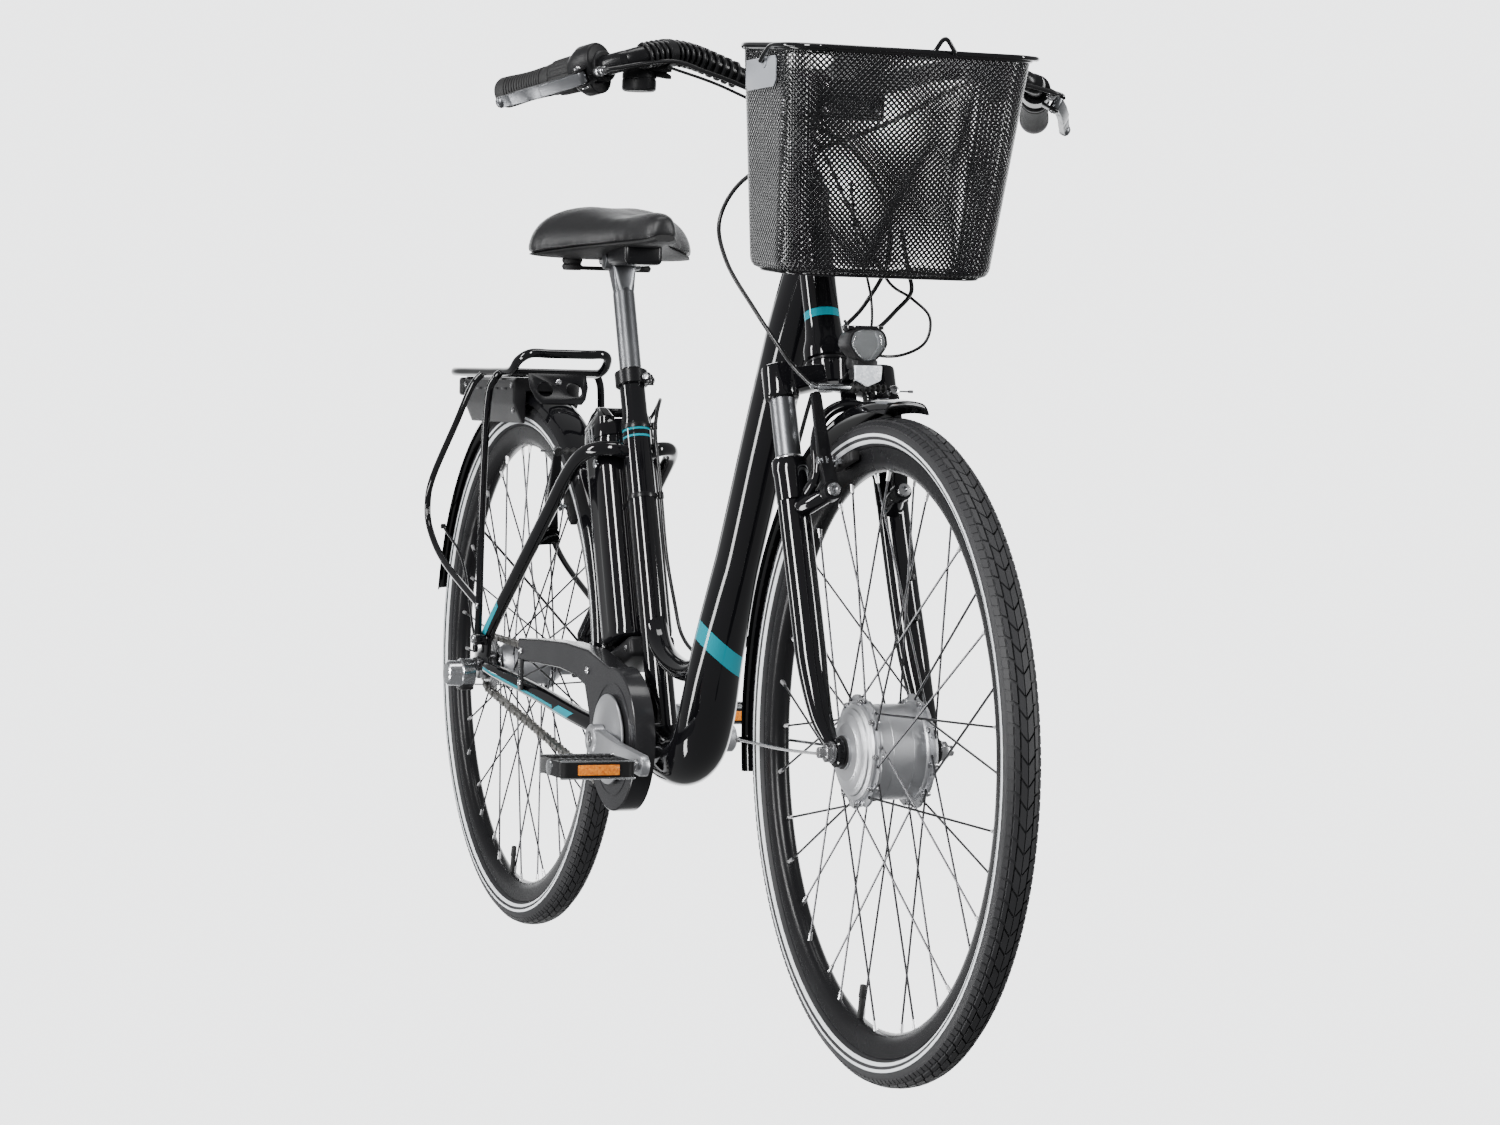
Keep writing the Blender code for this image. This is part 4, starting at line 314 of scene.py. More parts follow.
def add_hull(bm, discs, edge=0.0, steps=2, sides=24):
    """The tight skin round discs, each (centre, axis, radius, half thickness)."""
    new = bmesh.new()
    for centre, axis, radius, half in discs:
        for height in (-half, half):
            matrix = place_at(Vector(centre), axis) @ Matrix.Translation((0, 0, height))
            bmesh.ops.create_circle(new, cap_ends=False, segments=sides, radius=radius, matrix=matrix)
    bmesh.ops.convex_hull(new, input=new.verts[:], use_existing_faces=False)
    loose = [vertex for vertex in new.verts if not vertex.link_faces]
    bmesh.ops.delete(new, geom=loose, context="VERTS")
    bmesh.ops.dissolve_limit(new, angle_limit=HULL_TURN, verts=new.verts[:], edges=new.edges[:])
    if edge:
        rounded(new, new.verts[:], edge, steps, 50.0)
    pour(bm, new)


print("helpers ready: add_rod, add_pin, add_box, add_turned, add_ring, add_hull")

# %% Tubes and lofts, grown ring by ring


def smooth_route(points, per_span=6, cyclic=False):
    """A smooth line through the points, per_span steps between each pair."""
    pts = [Vector(p) for p in points]
    count = len(pts)
    route = []
    for i in range(count if cyclic else count - 1):
        p1, p2 = pts[i], pts[(i + 1) % count]
        p0 = pts[i - 1] if (cyclic or i > 0) else p1 * 2 - p2
        p3 = pts[(i + 2) % count] if (cyclic or i + 2 < count) else p2 * 2 - p1
        for k in range(per_span):
            t = k / per_span
            route.append(0.5 * (2 * p1 + (p2 - p0) * t + (2 * p0 - 5 * p1 + 4 * p2 - p3) * t * t
                + (3 * p1 - p0 - 3 * p2 + p3) * t ** 3))
    if not cyclic:
        route.append(pts[-1])
    return route


def carried_frames(route, cyclic=False, toward=None):
    """A matrix at each point of a route, carried along it without twisting."""
    count = len(route)
    frames = []
    sideways = None
    for i, point in enumerate(route):
        after = route[(i + 1) % count] if cyclic or i + 1 < count else point
        before = route[i - 1] if cyclic or i > 0 else point
        along = (after - before).normalized()
        if sideways is None:
            sideways = place_at(point, along, toward).to_3x3().col[0]
        sideways = (sideways - along * sideways.dot(along)).normalized()
        frames.append(axes_at(sideways, along.cross(sideways), along, point))
    return frames


def grow(bm, loops, capped=True, cyclic=False):
    """Extrude a ring from loop to loop; each loop is a list of as many points."""
    ring = [bm.verts.new(point) for point in loops[0]]
    count = len(ring)
    edges = [bm.edges.new((ring[i], ring[(i + 1) % count])) for i in range(count)]
    first_edges = edges
    for points in loops[1:]:
        made_geom = bmesh.ops.extrude_edge_only(bm, edges=edges)["geom"]
        fresh = {g for g in made_geom if isinstance(g, bmesh.types.BMVert)}
        ring = [next(edge.other_vert(vertex) for edge in vertex.link_edges
            if edge.other_vert(vertex) in fresh) for vertex in ring]
        for vertex, point in zip(ring, points):
            vertex.co = point
        edges = [bm.edges.get((ring[i], ring[(i + 1) % count])) for i in range(count)]
    if cyclic:
        bmesh.ops.bridge_loops(bm, edges=edges + first_edges)
    elif capped:
        bmesh.ops.contextual_create(bm, geom=first_edges)
        bmesh.ops.contextual_create(bm, geom=edges)


def add_tube(bm, route, radius, sides=12, cyclic=False, taper=None, across=1.0, toward=None):
    """A tube along a route; taper(share) scales it and across narrows it toward one side."""
    loops = []
    for i, matrix in enumerate(carried_frames(route, cyclic, toward)):
        share = i / (len(route) - 1)
        grown = radius * (taper(share) if taper else 1.0)
        wide = grown * (across(share) if callable(across) else across)
        loops.append([matrix @ Vector((wide * math.cos(2 * math.pi * k / sides),
            grown * math.sin(2 * math.pi * k / sides), 0.0)) for k in range(sides)])
    grow(bm, loops, cyclic=cyclic)


def add_plate(bm, outline, thickness, matrix, holes=(), edge=0.0):
    """A flat cut-out: outline and holes in the matrix's plane, thickness along its Z."""
    curve = bpy.data.curves.new("cutout", "CURVE")
    curve.dimensions = "2D"
    curve.fill_mode = "BOTH"
    curve.extrude = thickness / 2
    for loop in (outline, *holes):
        spline = curve.splines.new("POLY")
        spline.points.add(len(loop) - 1)
        spline.use_cyclic_u = True
        for i, (u, v) in enumerate(loop):
            spline.points[i].co = (u, v, 0.0, 1.0)
    holder = new_object("cutout", curve)
    graph = bpy.context.evaluated_depsgraph_get()
    mesh = bpy.data.meshes.new_from_object(holder.evaluated_get(graph))
    new = bmesh.new()
    new.from_mesh(mesh)
    bpy.data.objects.remove(holder, do_unlink=True)
    bpy.data.meshes.remove(mesh)
    bmesh.ops.remove_doubles(new, verts=new.verts[:], dist=PLATE_MERGE)
    bmesh.ops.dissolve_limit(new, angle_limit=PLATE_TURN, verts=new.verts[:], edges=new.edges[:])
    if edge:
        rounded(new, new.verts[:], edge, 2, 60.0)
    bmesh.ops.transform(new, matrix=matrix, verts=new.verts[:])
    pour(bm, new)


def circle(radius, sides, centre=(0.0, 0.0)):
    """Points round a circle in a plane."""
    return [polar(radius, 2 * math.pi * i / sides, centre) for i in range(sides)]


def side_plane(point):
    """The upright plane through a point, local X forward and local Y up."""
    return Matrix(((1, 0, 0, point.x), (0, 0, -1, point.y), (0, 1, 0, point.z), (0, 0, 0, 1)))


def add_bolt(bm, centre, axis, radius, height):
    """A round-headed bolt with a round socket, seated at centre."""
    add_turned(bm, [(0, height * 0.62), (radius * 0.45, height * 0.62), (radius * 0.55, height),
        (radius * 0.85, height * 0.9), (radius, height * 0.6), (radius, -0.0005), (0, -0.0005)], centre,
        Vector(axis).normalized(), 12)


def add_nut(bm, centre, axis, radius, height):
    """A hexagon nut on a round collar, from centre outward along axis."""
    axis = axis.normalized()
    add_pin(bm, centre, axis, 0.0, height, radius, 6, radius * 0.1)
    add_rod(bm, centre - axis * 0.0002, centre + axis * height * 0.18, radius * 1.12, sides=20)


print("helpers ready: smooth_route, add_tube, grow, add_plate, add_bolt, add_nut")

# %% [markdown]
# ## Finishes
# Paint, moulded plastic, rubber and cast metal all have the same kind of small unevenness: the
# colour drifts a little, the gloss varies, and the surface has a fine grain. So one node group
# makes that unevenness from the place on the object, and each finish uses it with its own
# values. A second group marks a flat slab of space, which places the teal stripes, and a third
# marks a ring round a wheel's axle, which places the pale bands on the tyre walls.

# %% Node groups
BROAD_SCALE, BROAD_DETAIL, FINE_DETAIL, GRAIN_HEIGHT = 14.0, 4.0, 2.0, 0.0004


def new_group(name, inputs, outputs):
    """A shader node group with named sockets and its two end nodes."""
    group = bpy.data.node_groups.new(name, "ShaderNodeTree")
    for label, kind, value in inputs:
        socket = group.interface.new_socket(label, in_out="INPUT", socket_type=kind)
        socket.default_value = value
    for label, kind in outputs:
        group.interface.new_socket(label, in_out="OUTPUT", socket_type=kind)
    return group, group.nodes.new("NodeGroupInput"), group.nodes.new("NodeGroupOutput")


def wired(tree, node, operation, *values):
    """A node set to an operation, with its inputs linked to sockets or set to values."""
    node.operation = operation
    for socket, value in zip(node.inputs, values):
        if isinstance(value, bpy.types.NodeSocket):
            tree.links.new(value, socket)
        else:
            socket.default_value = value
    return node


def math_node(tree, operation, first, second):
    """The result of a Math node whose two inputs are sockets or numbers."""
    return wired(tree, tree.nodes.new("ShaderNodeMath"), operation, first, second).outputs[0]


def vector_node(tree, operation, first, second=(0.0, 0.0, 0.0)):
    """A Vector Math node whose two inputs are sockets or vectors."""
    return wired(tree, tree.nodes.new("ShaderNodeVectorMath"), operation, first, second)


def uneven_group():
    """Drifting colour, varying gloss and a fine grain, from the place on the object."""
    group, start, end = new_group("uneven surface", [("Colour", "NodeSocketColor", (0, 0, 0, 1)),
        ("Drift Colour", "NodeSocketColor", (0, 0, 0, 1)), ("Drift", "NodeSocketFloat", 0.3),
        ("Roughness", "NodeSocketFloat", 0.4), ("Spread", "NodeSocketFloat", 0.1),
        ("Grain Size", "NodeSocketFloat", 900.0), ("Grain", "NodeSocketFloat", 0.1)],
        [("Colour", "NodeSocketColor"), ("Roughness", "NodeSocketFloat"), ("Normal", "NodeSocketVector")])
    place = group.nodes.new("ShaderNodeTexCoord")
    broad = group.nodes.new("ShaderNodeTexNoise")
    broad.inputs["Scale"].default_value = BROAD_SCALE
    broad.inputs["Detail"].default_value = BROAD_DETAIL
    fine = group.nodes.new("ShaderNodeTexNoise")
    fine.inputs["Detail"].default_value = FINE_DETAIL
    mix = group.nodes.new("ShaderNodeMix")
    mix.data_type = "RGBA"
    bump = group.nodes.new("ShaderNodeBump")
    bump.inputs["Distance"].default_value = GRAIN_HEIGHT
    link = group.links.new
    link(place.outputs["Object"], broad.inputs["Vector"])
    link(place.outputs["Object"], fine.inputs["Vector"])
    link(start.outputs["Grain Size"], fine.inputs["Scale"])
    link(math_node(group, "MULTIPLY", broad.outputs["Fac"], start.outputs["Drift"]), mix.inputs["Factor"])
    link(start.outputs["Colour"], mix.inputs["A"])
    link(start.outputs["Drift Colour"], mix.inputs["B"])
    centred = math_node(group, "SUBTRACT", broad.outputs["Fac"], 0.5)
    spread = math_node(group, "MULTIPLY", centred, start.outputs["Spread"])
    link(math_node(group, "ADD", spread, start.outputs["Roughness"]), end.inputs["Roughness"])
    link(fine.outputs["Fac"], bump.inputs["Height"])
    link(start.outputs["Grain"], bump.inputs["Strength"])
    link(mix.outputs["Result"], end.inputs["Colour"])
    link(bump.outputs["Normal"], end.inputs["Normal"])
    return group


def mask_group(name, first_socket, measure):
    """1 where a measured distance lies between two values."""
    group, start, end = new_group(name, [(first_socket, "NodeSocketVector", (0, 0, 1)),
        ("Low", "NodeSocketFloat", 0.0), ("High", "NodeSocketFloat", 1.0)], [("Mask", "NodeSocketFloat")])
    place = group.nodes.new("ShaderNodeTexCoord").outputs["Object"]
    distance = measure(group, place, start.outputs[first_socket]).outputs["Value"]
    above = math_node(group, "GREATER_THAN", distance, start.outputs["Low"])
    below = math_node(group, "LESS_THAN", distance, start.outputs["High"])
    group.links.new(math_node(group, "MULTIPLY", above, below), end.inputs["Mask"])
    return group


def along_way(group, place, direction):
    """The distance along a direction."""
    return vector_node(group, "DOT_PRODUCT", place, direction)


def from_axle(group, place, axle):
    """The distance from an axle that runs along Y."""
    away = vector_node(group, "SUBTRACT", place, axle).outputs[0]
    return vector_node(group, "LENGTH", vector_node(group, "MULTIPLY", away, (1.0, 0.0, 1.0)).outputs[0])


UNEVEN = uneven_group()
SLAB = mask_group("slab mask", "Direction", along_way)
RING = mask_group("ring mask", "Axle", from_axle)
print("groups", [group.name for group in (UNEVEN, SLAB, RING)])

# %% One function for every plain finish


def finish(name, colour, drift_colour, drift, roughness, spread, grain_size, grain, **sockets):
    """A material whose unevenness comes from the shared group; sockets names shader inputs."""
    material = bpy.data.materials.new(name)
    material.use_nodes = True
    tree = material.node_tree
    shader = tree.nodes["Principled BSDF"]
    group = tree.nodes.new("ShaderNodeGroup")
    group.node_tree = UNEVEN
    values = {"Colour": (*colour, 1.0), "Drift Colour": (*drift_colour, 1.0), "Drift": drift,
        "Roughness": roughness, "Spread": spread, "Grain Size": grain_size, "Grain": grain}
    for label, value in values.items():
        group.inputs[label].default_value = value
    for output, label in (("Colour", "Base Color"), ("Roughness", "Roughness"), ("Normal", "Normal")):
        tree.links.new(group.outputs[output], shader.inputs[label])
    for label, value in sockets.items():
        shader.inputs[label.replace("_", " ")].default_value = value
    return material


TEAL = (0.0, 0.19, 0.24, 1.0)


def masked(tree, group, first, low, high):
    """A mask group in a material, with its direction or axle and its two limits."""
    node = tree.nodes.new("ShaderNodeGroup")
    node.node_tree = group
    for socket, value in zip(node.inputs, (first, low, high)):
        socket.default_value = value
    return node.outputs["Mask"]


def slab(tree, direction, low, high):
    """1 between two distances along a direction."""
    return masked(tree, SLAB, tuple(direction), low, high)


def paint_over(material, mask, colour):
    """Lay a second colour over a finish where the mask is 1."""
    tree = material.node_tree
    shader = tree.nodes["Principled BSDF"]
    under = shader.inputs["Base Color"].links[0].from_socket
    mix = tree.nodes.new("ShaderNodeMix")
    mix.data_type = "RGBA"
    tree.links.new(mask, mix.inputs["Factor"])
    tree.links.new(under, mix.inputs["A"])
    mix.inputs["B"].default_value = colour
    tree.links.new(mix.outputs["Result"], shader.inputs["Base Color"])


def lacquer(name):
    """The black gloss paint of frame, fork and mudguards."""
    return finish(name, (0.002, 0.002, 0.0025), (0.005, 0.005, 0.006), 0.5, 0.06, 0.04, 260.0, 0.02,
        Specular_IOR_Level=0.45)


black_lacquer = lacquer("black_lacquer")
satin_enamel = finish("satin_enamel", (0.004, 0.004, 0.0045), (0.009, 0.009, 0.01), 0.5, 0.27, 0.14,
    900.0, 0.08, Specular_IOR_Level=0.18)
moulded_plastic = finish("moulded_plastic", (0.007, 0.007, 0.0075), (0.014, 0.014, 0.015), 0.6, 0.38,
    0.14, 1400.0, 0.22, Specular_IOR_Level=0.13)
smoked_plastic = finish("smoked_plastic", (0.013, 0.013, 0.014), (0.024, 0.024, 0.026), 0.5, 0.17, 0.06,
    700.0, 0.04, Specular_IOR_Level=0.2)
soft_rubber = finish("soft_rubber", (0.008, 0.008, 0.0085), (0.017, 0.017, 0.017), 0.7, 0.6, 0.18, 2200.0,
    0.4, Specular_IOR_Level=0.26)
cable_skin = finish("cable_skin", (0.005, 0.005, 0.0055), (0.012, 0.012, 0.013), 0.5, 0.32, 0.12, 1500.0,
    0.12, Specular_IOR_Level=0.35)
cast_alloy = finish("cast_alloy", (0.33, 0.335, 0.35), (0.43, 0.435, 0.45), 0.7, 0.4, 0.14, 1800.0, 0.22,
    Metallic=0.9)
dark_alloy = finish("dark_alloy", (0.1, 0.103, 0.11), (0.16, 0.163, 0.17), 0.7, 0.34, 0.12, 1500.0, 0.14,
    Metallic=0.9)
bright_alloy = finish("bright_alloy", (0.46, 0.47, 0.49), (0.58, 0.59, 0.6), 0.6, 0.22, 0.12, 900.0, 0.06,
    Metallic=1.0)
bright_steel = finish("bright_steel", (0.36, 0.36, 0.37), (0.5, 0.5, 0.51), 0.6, 0.24, 0.14, 1300.0, 0.08,
    Metallic=1.0)
nipple_plate = finish("nipple_plate", (0.66, 0.66, 0.67), (0.78, 0.78, 0.79), 0.5, 0.42, 0.1, 1200.0,
    0.05, Metallic=1.0)
spoke_steel = finish("spoke_steel", (0.055, 0.055, 0.058), (0.11, 0.11, 0.115), 0.6, 0.3, 0.14, 1300.0,
    0.08, Metallic=1.0)
chain_steel = finish("chain_steel", (0.22, 0.215, 0.205), (0.36, 0.35, 0.335), 0.8, 0.32, 0.18, 1300.0,
    0.18, Metallic=1.0)
black_anodised = finish("black_anodised", (0.005, 0.005, 0.0055), (0.012, 0.012, 0.013), 0.5, 0.26, 0.12,
    1100.0, 0.06, Specular_IOR_Level=0.14)
grey_inlay = finish("grey_inlay", (0.2, 0.21, 0.23), (0.3, 0.31, 0.33), 0.6, 0.34, 0.12, 1600.0, 0.12)
saddle_skin = finish("saddle_skin", (0.006, 0.006, 0.0065), (0.013, 0.013, 0.014), 0.6, 0.4, 0.14, 1900.0,
    0.45, Specular_IOR_Level=0.32)
print("finishes", len(bpy.data.materials))

# %% [markdown]
# ## Striped paint
# The bike has a few plain teal stripes: a band on the head tube, two fine lines on the seat
# tube, a slanting band on the down tube and a thin line with a block on each chainstay. Each is
# a slab of space, so it goes round the tube without a seam. The words that such stripes often
# carry are left off.

# %% Teal stripes
head_lacquer = lacquer("head_lacquer")
head_zero = STEER_UP.dot(at(*STEER_BASE))
paint_over(head_lacquer, slab(head_lacquer.node_tree, STEER_UP, head_zero - 0.002, head_zero + 0.0072),
    TEAL)

seat_lacquer = lacquer("seat_lacquer")
seat_zero = SEAT_UP.dot(BB)
for low, high in ((0.38, 0.3828), (0.389, 0.3918)):
    paint_over(seat_lacquer, slab(seat_lacquer.node_tree, SEAT_UP, seat_zero + low, seat_zero + high),
        TEAL)

down_lacquer = lacquer("down_lacquer")
BAND_SLANT = (0.36, 0.8, 1.0)
BAND_LOW, BAND_HIGH = 0.4525, 0.48
paint_over(down_lacquer, slab(down_lacquer.node_tree, BAND_SLANT, BAND_LOW, BAND_HIGH), TEAL)

stay_lacquer = lacquer("stay_lacquer")
STAY_SLOPE = Vector((0.122, 0.0, 1.0))
stay_zero = STAY_SLOPE.dot(at(0.0367, 0.0, 0.347))
tree = stay_lacquer.node_tree
line = math_node(tree, "MULTIPLY", slab(tree, STAY_SLOPE, stay_zero - 0.0019, stay_zero + 0.0019),
    slab(tree, FORE, SHIFT_X + 0.037, SHIFT_X + 0.285))
patch = math_node(tree, "MULTIPLY", slab(tree, STAY_SLOPE, stay_zero - 0.011, stay_zero + 0.006),
    slab(tree, (1, 0, -2.93), SHIFT_X - 0.632, SHIFT_X - 0.565))
paint_over(stay_lacquer, math_node(tree, "MAXIMUM", line, patch), TEAL)

upper_stay_lacquer = lacquer("upper_stay_lacquer")
STAY_OUT, STAY_SKIN = 0.0738, 0.078
tree = upper_stay_lacquer.node_tree
outer = math_node(tree, "MAXIMUM", slab(tree, LEFT, STAY_OUT, STAY_SKIN),
    slab(tree, LEFT, -STAY_SKIN, -STAY_OUT))
paint_over(upper_stay_lacquer, math_node(tree, "MULTIPLY", outer,
    slab(tree, FORE, SHIFT_X + 0.012, SHIFT_X + 0.096)), TEAL)
print("striped paints", [m.name for m in (head_lacquer, seat_lacquer, down_lacquer, stay_lacquer,
    upper_stay_lacquer)])

# %% [markdown]
# ## Tyre rubber, lenses and reflectors
# The tyre's walls carry two pale reflecting bands, drawn by the ring mask about each wheel's own
# axle. A lens is a thin clear plastic with a faint tint. A reflector is a plastic with a field
# of tiny prisms, which a small Voronoi pattern draws in colour and bump.

# %% Tyre, lens and reflector finishes


PALE_BAND = (0.62, 0.64, 0.66, 1.0)
PRISM_SCALE, PRISM_BUMP, PRISM_HEIGHT = 480.0, 0.6, 0.0006


def tyre_finish(name, axle):
    """Matt rubber with two reflecting bands round the axle."""
    material = finish(name, (0.01, 0.01, 0.011), (0.024, 0.024, 0.026), 0.7, 0.56, 0.16, 1500.0, 0.3,
        Specular_IOR_Level=0.3)
    for low, high in ((0.3222, 0.3258), (0.3292, 0.3324)):
        paint_over(material, masked(material.node_tree, RING, axle, low, high), PALE_BAND)
    return material


def reflector(name, colour, dark):
    """Prismatic plastic: small cells that catch the light differently."""
    material = bpy.data.materials.new(name)
    material.use_nodes = True
    tree = material.node_tree
    shader = tree.nodes["Principled BSDF"]
    place = tree.nodes.new("ShaderNodeTexCoord")
    cells = tree.nodes.new("ShaderNodeTexVoronoi")
    cells.inputs["Scale"].default_value = PRISM_SCALE
    mix = tree.nodes.new("ShaderNodeMix")
    mix.data_type = "RGBA"
    mix.inputs["A"].default_value = (*dark, 1.0)
    mix.inputs["B"].default_value = (*colour, 1.0)
    bump = tree.nodes.new("ShaderNodeBump")
    bump.inputs["Strength"].default_value = PRISM_BUMP
    bump.inputs["Distance"].default_value = PRISM_HEIGHT
    tree.links.new(place.outputs["Object"], cells.inputs["Vector"])
    tree.links.new(cells.outputs["Color"], mix.inputs["Factor"])
    tree.links.new(cells.outputs["Distance"], bump.inputs["Height"])
    tree.links.new(mix.outputs["Result"], shader.inputs["Base Color"])
    tree.links.new(bump.outputs["Normal"], shader.inputs["Normal"])
    shader.inputs["Roughness"].default_value = 0.12
    shader.inputs["Coat Weight"].default_value = 0.8
    return material


front_tyre_rubber = tyre_finish("front_tyre_rubber", FRONT_AXLE)
rear_tyre_rubber = tyre_finish("rear_tyre_rubber", REAR_AXLE)
amber_prism = reflector("amber_prism", (0.95, 0.3, 0.02), (0.5, 0.1, 0.0))
clear_prism = reflector("clear_prism", (0.9, 0.92, 0.95), (0.42, 0.45, 0.5))
red_prism = reflector("red_prism", (0.55, 0.01, 0.01), (0.22, 0.0, 0.0))
clear_lens = finish("clear_lens", (0.92, 0.95, 0.97), (0.86, 0.9, 0.93), 0.3, 0.04, 0.02, 400.0, 0.02,
    Transmission_Weight=0.92, IOR=1.46)
lamp_mirror = finish("lamp_mirror", (0.86, 0.87, 0.88), (0.7, 0.71, 0.72), 0.5, 0.08, 0.05, 300.0, 0.1,
    Metallic=1.0)
dark_screen = finish("dark_screen", (0.01, 0.012, 0.014), (0.02, 0.024, 0.026), 0.4, 0.08, 0.04, 300.0,
    0.01, Coat_Weight=1.0, Coat_Roughness=0.05)
print("materials in all", len(bpy.data.materials))

# %% [markdown]
# ## Tyres
# A city tyre is a round rubber body with a thin patterned tread: a row of arrow-shaped blocks
# along the middle, then slanting blocks, then short shoulder blocks. The body is a turned ring.
# One set of blocks is shaped from cubes that are laid on the ring's crown, and then spun round
# the axle a hundred times, so the tread is real geometry with few faces.

# %% Tyre bodies and tread
TREAD_REPEATS = 100
TREAD_PITCH = 2 * math.pi * TYRE_R / TREAD_REPEATS
TYRE_SIDE = [(0.3128, 0.0084), (0.315, 0.0097), (0.3187, 0.0099), (0.3196, 0.0132), (0.3235, 0.0176),
    (0.329, 0.0196), (0.335, 0.0194), (0.34, 0.0174), (0.343, 0.0142), (0.345, 0.0102), (0.3462, 0.0058),
    (0.3467, 0.0)]


BLOCK_GAP, BLOCK_ROOT, SLANT_REACH = 0.003, -0.0012, 0.0075
BLOCK = TREAD_PITCH - BLOCK_GAP
TREAD = [(0.0, BLOCK, 0.0005, 0.0066, 0.01, 0.0029),
    (TREAD_PITCH * 0.35, BLOCK, 0.0082, 0.012, 0.0062, 0.0027),
    (TREAD_PITCH * 0.05, BLOCK * 0.44, 0.0134, 0.0176, 0.003, 0.0013),
    (TREAD_PITCH * 0.55, BLOCK * 0.44, 0.0134, 0.0176, 0.003, 0.0013)]


def mirrored(half, middle=()):
    """A half profile of (radius, height), its middle points, and its other half below."""
    return [*half, *middle, *[(radius, -height) for radius, height in reversed(half)]]


def crown(y):
    """The tyre body's radius above a distance from the middle of the tread."""
    far = abs(y)
    for (r0, y0), (r1, y1) in zip(TYRE_SIDE[5:], TYRE_SIDE[6:]):
        if y1 <= far <= y0:
            return r1 + (r0 - r1) * (far - y1) / (y0 - y1)
    return TYRE_SIDE[-1][0]


def add_block(bm, start, length, inner, outer, slant, height):
    """One tread block: start and length along the tyre, inner to outer across it."""
    for side in (-1, 1):
        cube = bmesh.ops.create_cube(bm, size=1.0)["verts"]
        for vertex in cube:
            across = outer if vertex.co.y * side > 0 else inner
            along = start + (length if vertex.co.x > 0 else 0.0) + slant * across / SLANT_REACH
            up = height if vertex.co.z > 0 else BLOCK_ROOT
            forward, upward = polar(crown(across) + up, along / TYRE_R)
            vertex.co = (forward, side * across, upward)


def make_tyre(word, axle, rubber):
    """The treaded tyre of the front or the rear wheel."""
    bm = bmesh.new()
    for block in TREAD:
        add_block(bm, *block)
    bmesh.ops.spin(bm, geom=bm.verts[:] + bm.edges[:] + bm.faces[:], cent=(0, 0, 0), axis=(0, 1, 0),
        angle=2 * math.pi * (TREAD_REPEATS - 1) / TREAD_REPEATS, steps=TREAD_REPEATS - 1,
        use_duplicate=True)
    bmesh.ops.translate(bm, vec=axle, verts=bm.verts[:])
    bmesh.ops.recalc_face_normals(bm, faces=bm.faces[:])
    add_turned(bm, mirrored(TYRE_SIDE[:-1], TYRE_SIDE[-1:]), axle, LEFT, 180, closed=True)
    piece(word + "_tyre_treaded", bm, rubber, word + "_wheel", [word + "_tyre"], 30.0)


make_tyre("front", FRONT_AXLE, front_tyre_rubber)
make_tyre("rear", REAR_AXLE, rear_tyre_rubber)
print("tread pitch", round(TREAD_PITCH * 1000, 1), "mm")
tell()

# %% [markdown]
# ## Rims and spokes
# The rim is a black double-wall section. Thirty-six spokes run from the hub's two flanges to the
# rim, crossing each other as they would be laced, two crossings round the big motor and three
# round the small rear hub. Each ends in a bright nipple. A turned ring makes the rim, and each
# spoke is a thin bar from the hole in the flange to its nipple.

# %% Laced wheels
RIM_HALF = [(0.3186, 0.0122), (0.3186, 0.0106), (0.3125, 0.0103), (0.3105, 0.006)]
RIM_INNER = [(0.2926, 0.003), (0.295, 0.0076), (0.2995, 0.011), (0.3045, 0.0122)]
SPOKE_R, NIPPLE_R = 0.0013, 0.0028
NIPPLE_OUT, NIPPLE_IN = 0.296, 0.283
RIM_SPREAD, FLANGE_HALF = 0.0028, 0.0022
VALVE_ANGLE = math.radians(260.0)


def lace(side, k, hub_radius, flange, cross):
    """Where one spoke leaves its flange and where it meets the rim."""
    per_side = SPOKES // 2
    lead = 1 if k % 2 else -1
    hub_angle = 2 * math.pi * (k + (0.5 if side < 0 else 0.0)) / per_side
    rim_angle = hub_angle + lead * cross * 2 * math.pi / per_side
    near, far = polar(hub_radius, hub_angle), polar(NIPPLE_OUT, rim_angle)
    return (Vector((near[0], side * (flange + lead * FLANGE_HALF), near[1])),
        Vector((far[0], side * RIM_SPREAD, far[1])))


def make_wheel(word, axle, hub_radius, flange, cross):
    """Rim, laced spokes, nipples and valve of one wheel."""
    body = word + "_wheel"
    bm = bmesh.new()
    profile = mirrored(RIM_HALF) + [(r, -y) for r, y in reversed(RIM_INNER)] + RIM_INNER
    add_turned(bm, profile, axle, LEFT, 144, closed=True)
    piece(word + "_rim_hoop", bm, black_anodised, body, [word + "_rim"], 32.0)
    bm, nipples = bmesh.new(), bmesh.new()
    for side in (-1, 1):
        for k in range(SPOKES // 2):
            start, end = lace(side, k, hub_radius, flange, cross)
            along = (end - start).normalized()
            add_rod(bm, axle + start, axle + end, SPOKE_R, sides=6)
            add_pin(bm, axle + start, LEFT * side, -0.0006, 0.0014, 0.0019, 8)
            shoulder = end - along * (NIPPLE_OUT - NIPPLE_IN)
            add_rod(nipples, axle + shoulder, axle + end, NIPPLE_R * 0.72, NIPPLE_R, sides=8)
    piece(word + "_spokes", bm, spoke_steel, body)
    piece(word + "_nipples", nipples, nipple_plate, body)
    bm = bmesh.new()
    out = outward(VALVE_ANGLE)
    add_pin(bm, axle, out, 0.294, 0.27, 0.0033, 14, 0.0004)
    add_rod(bm, axle + out * 0.27, axle + out * 0.256, 0.004, 0.0034, sides=14, edge=0.0006)
    piece(word + "_valve", bm, soft_rubber, body)


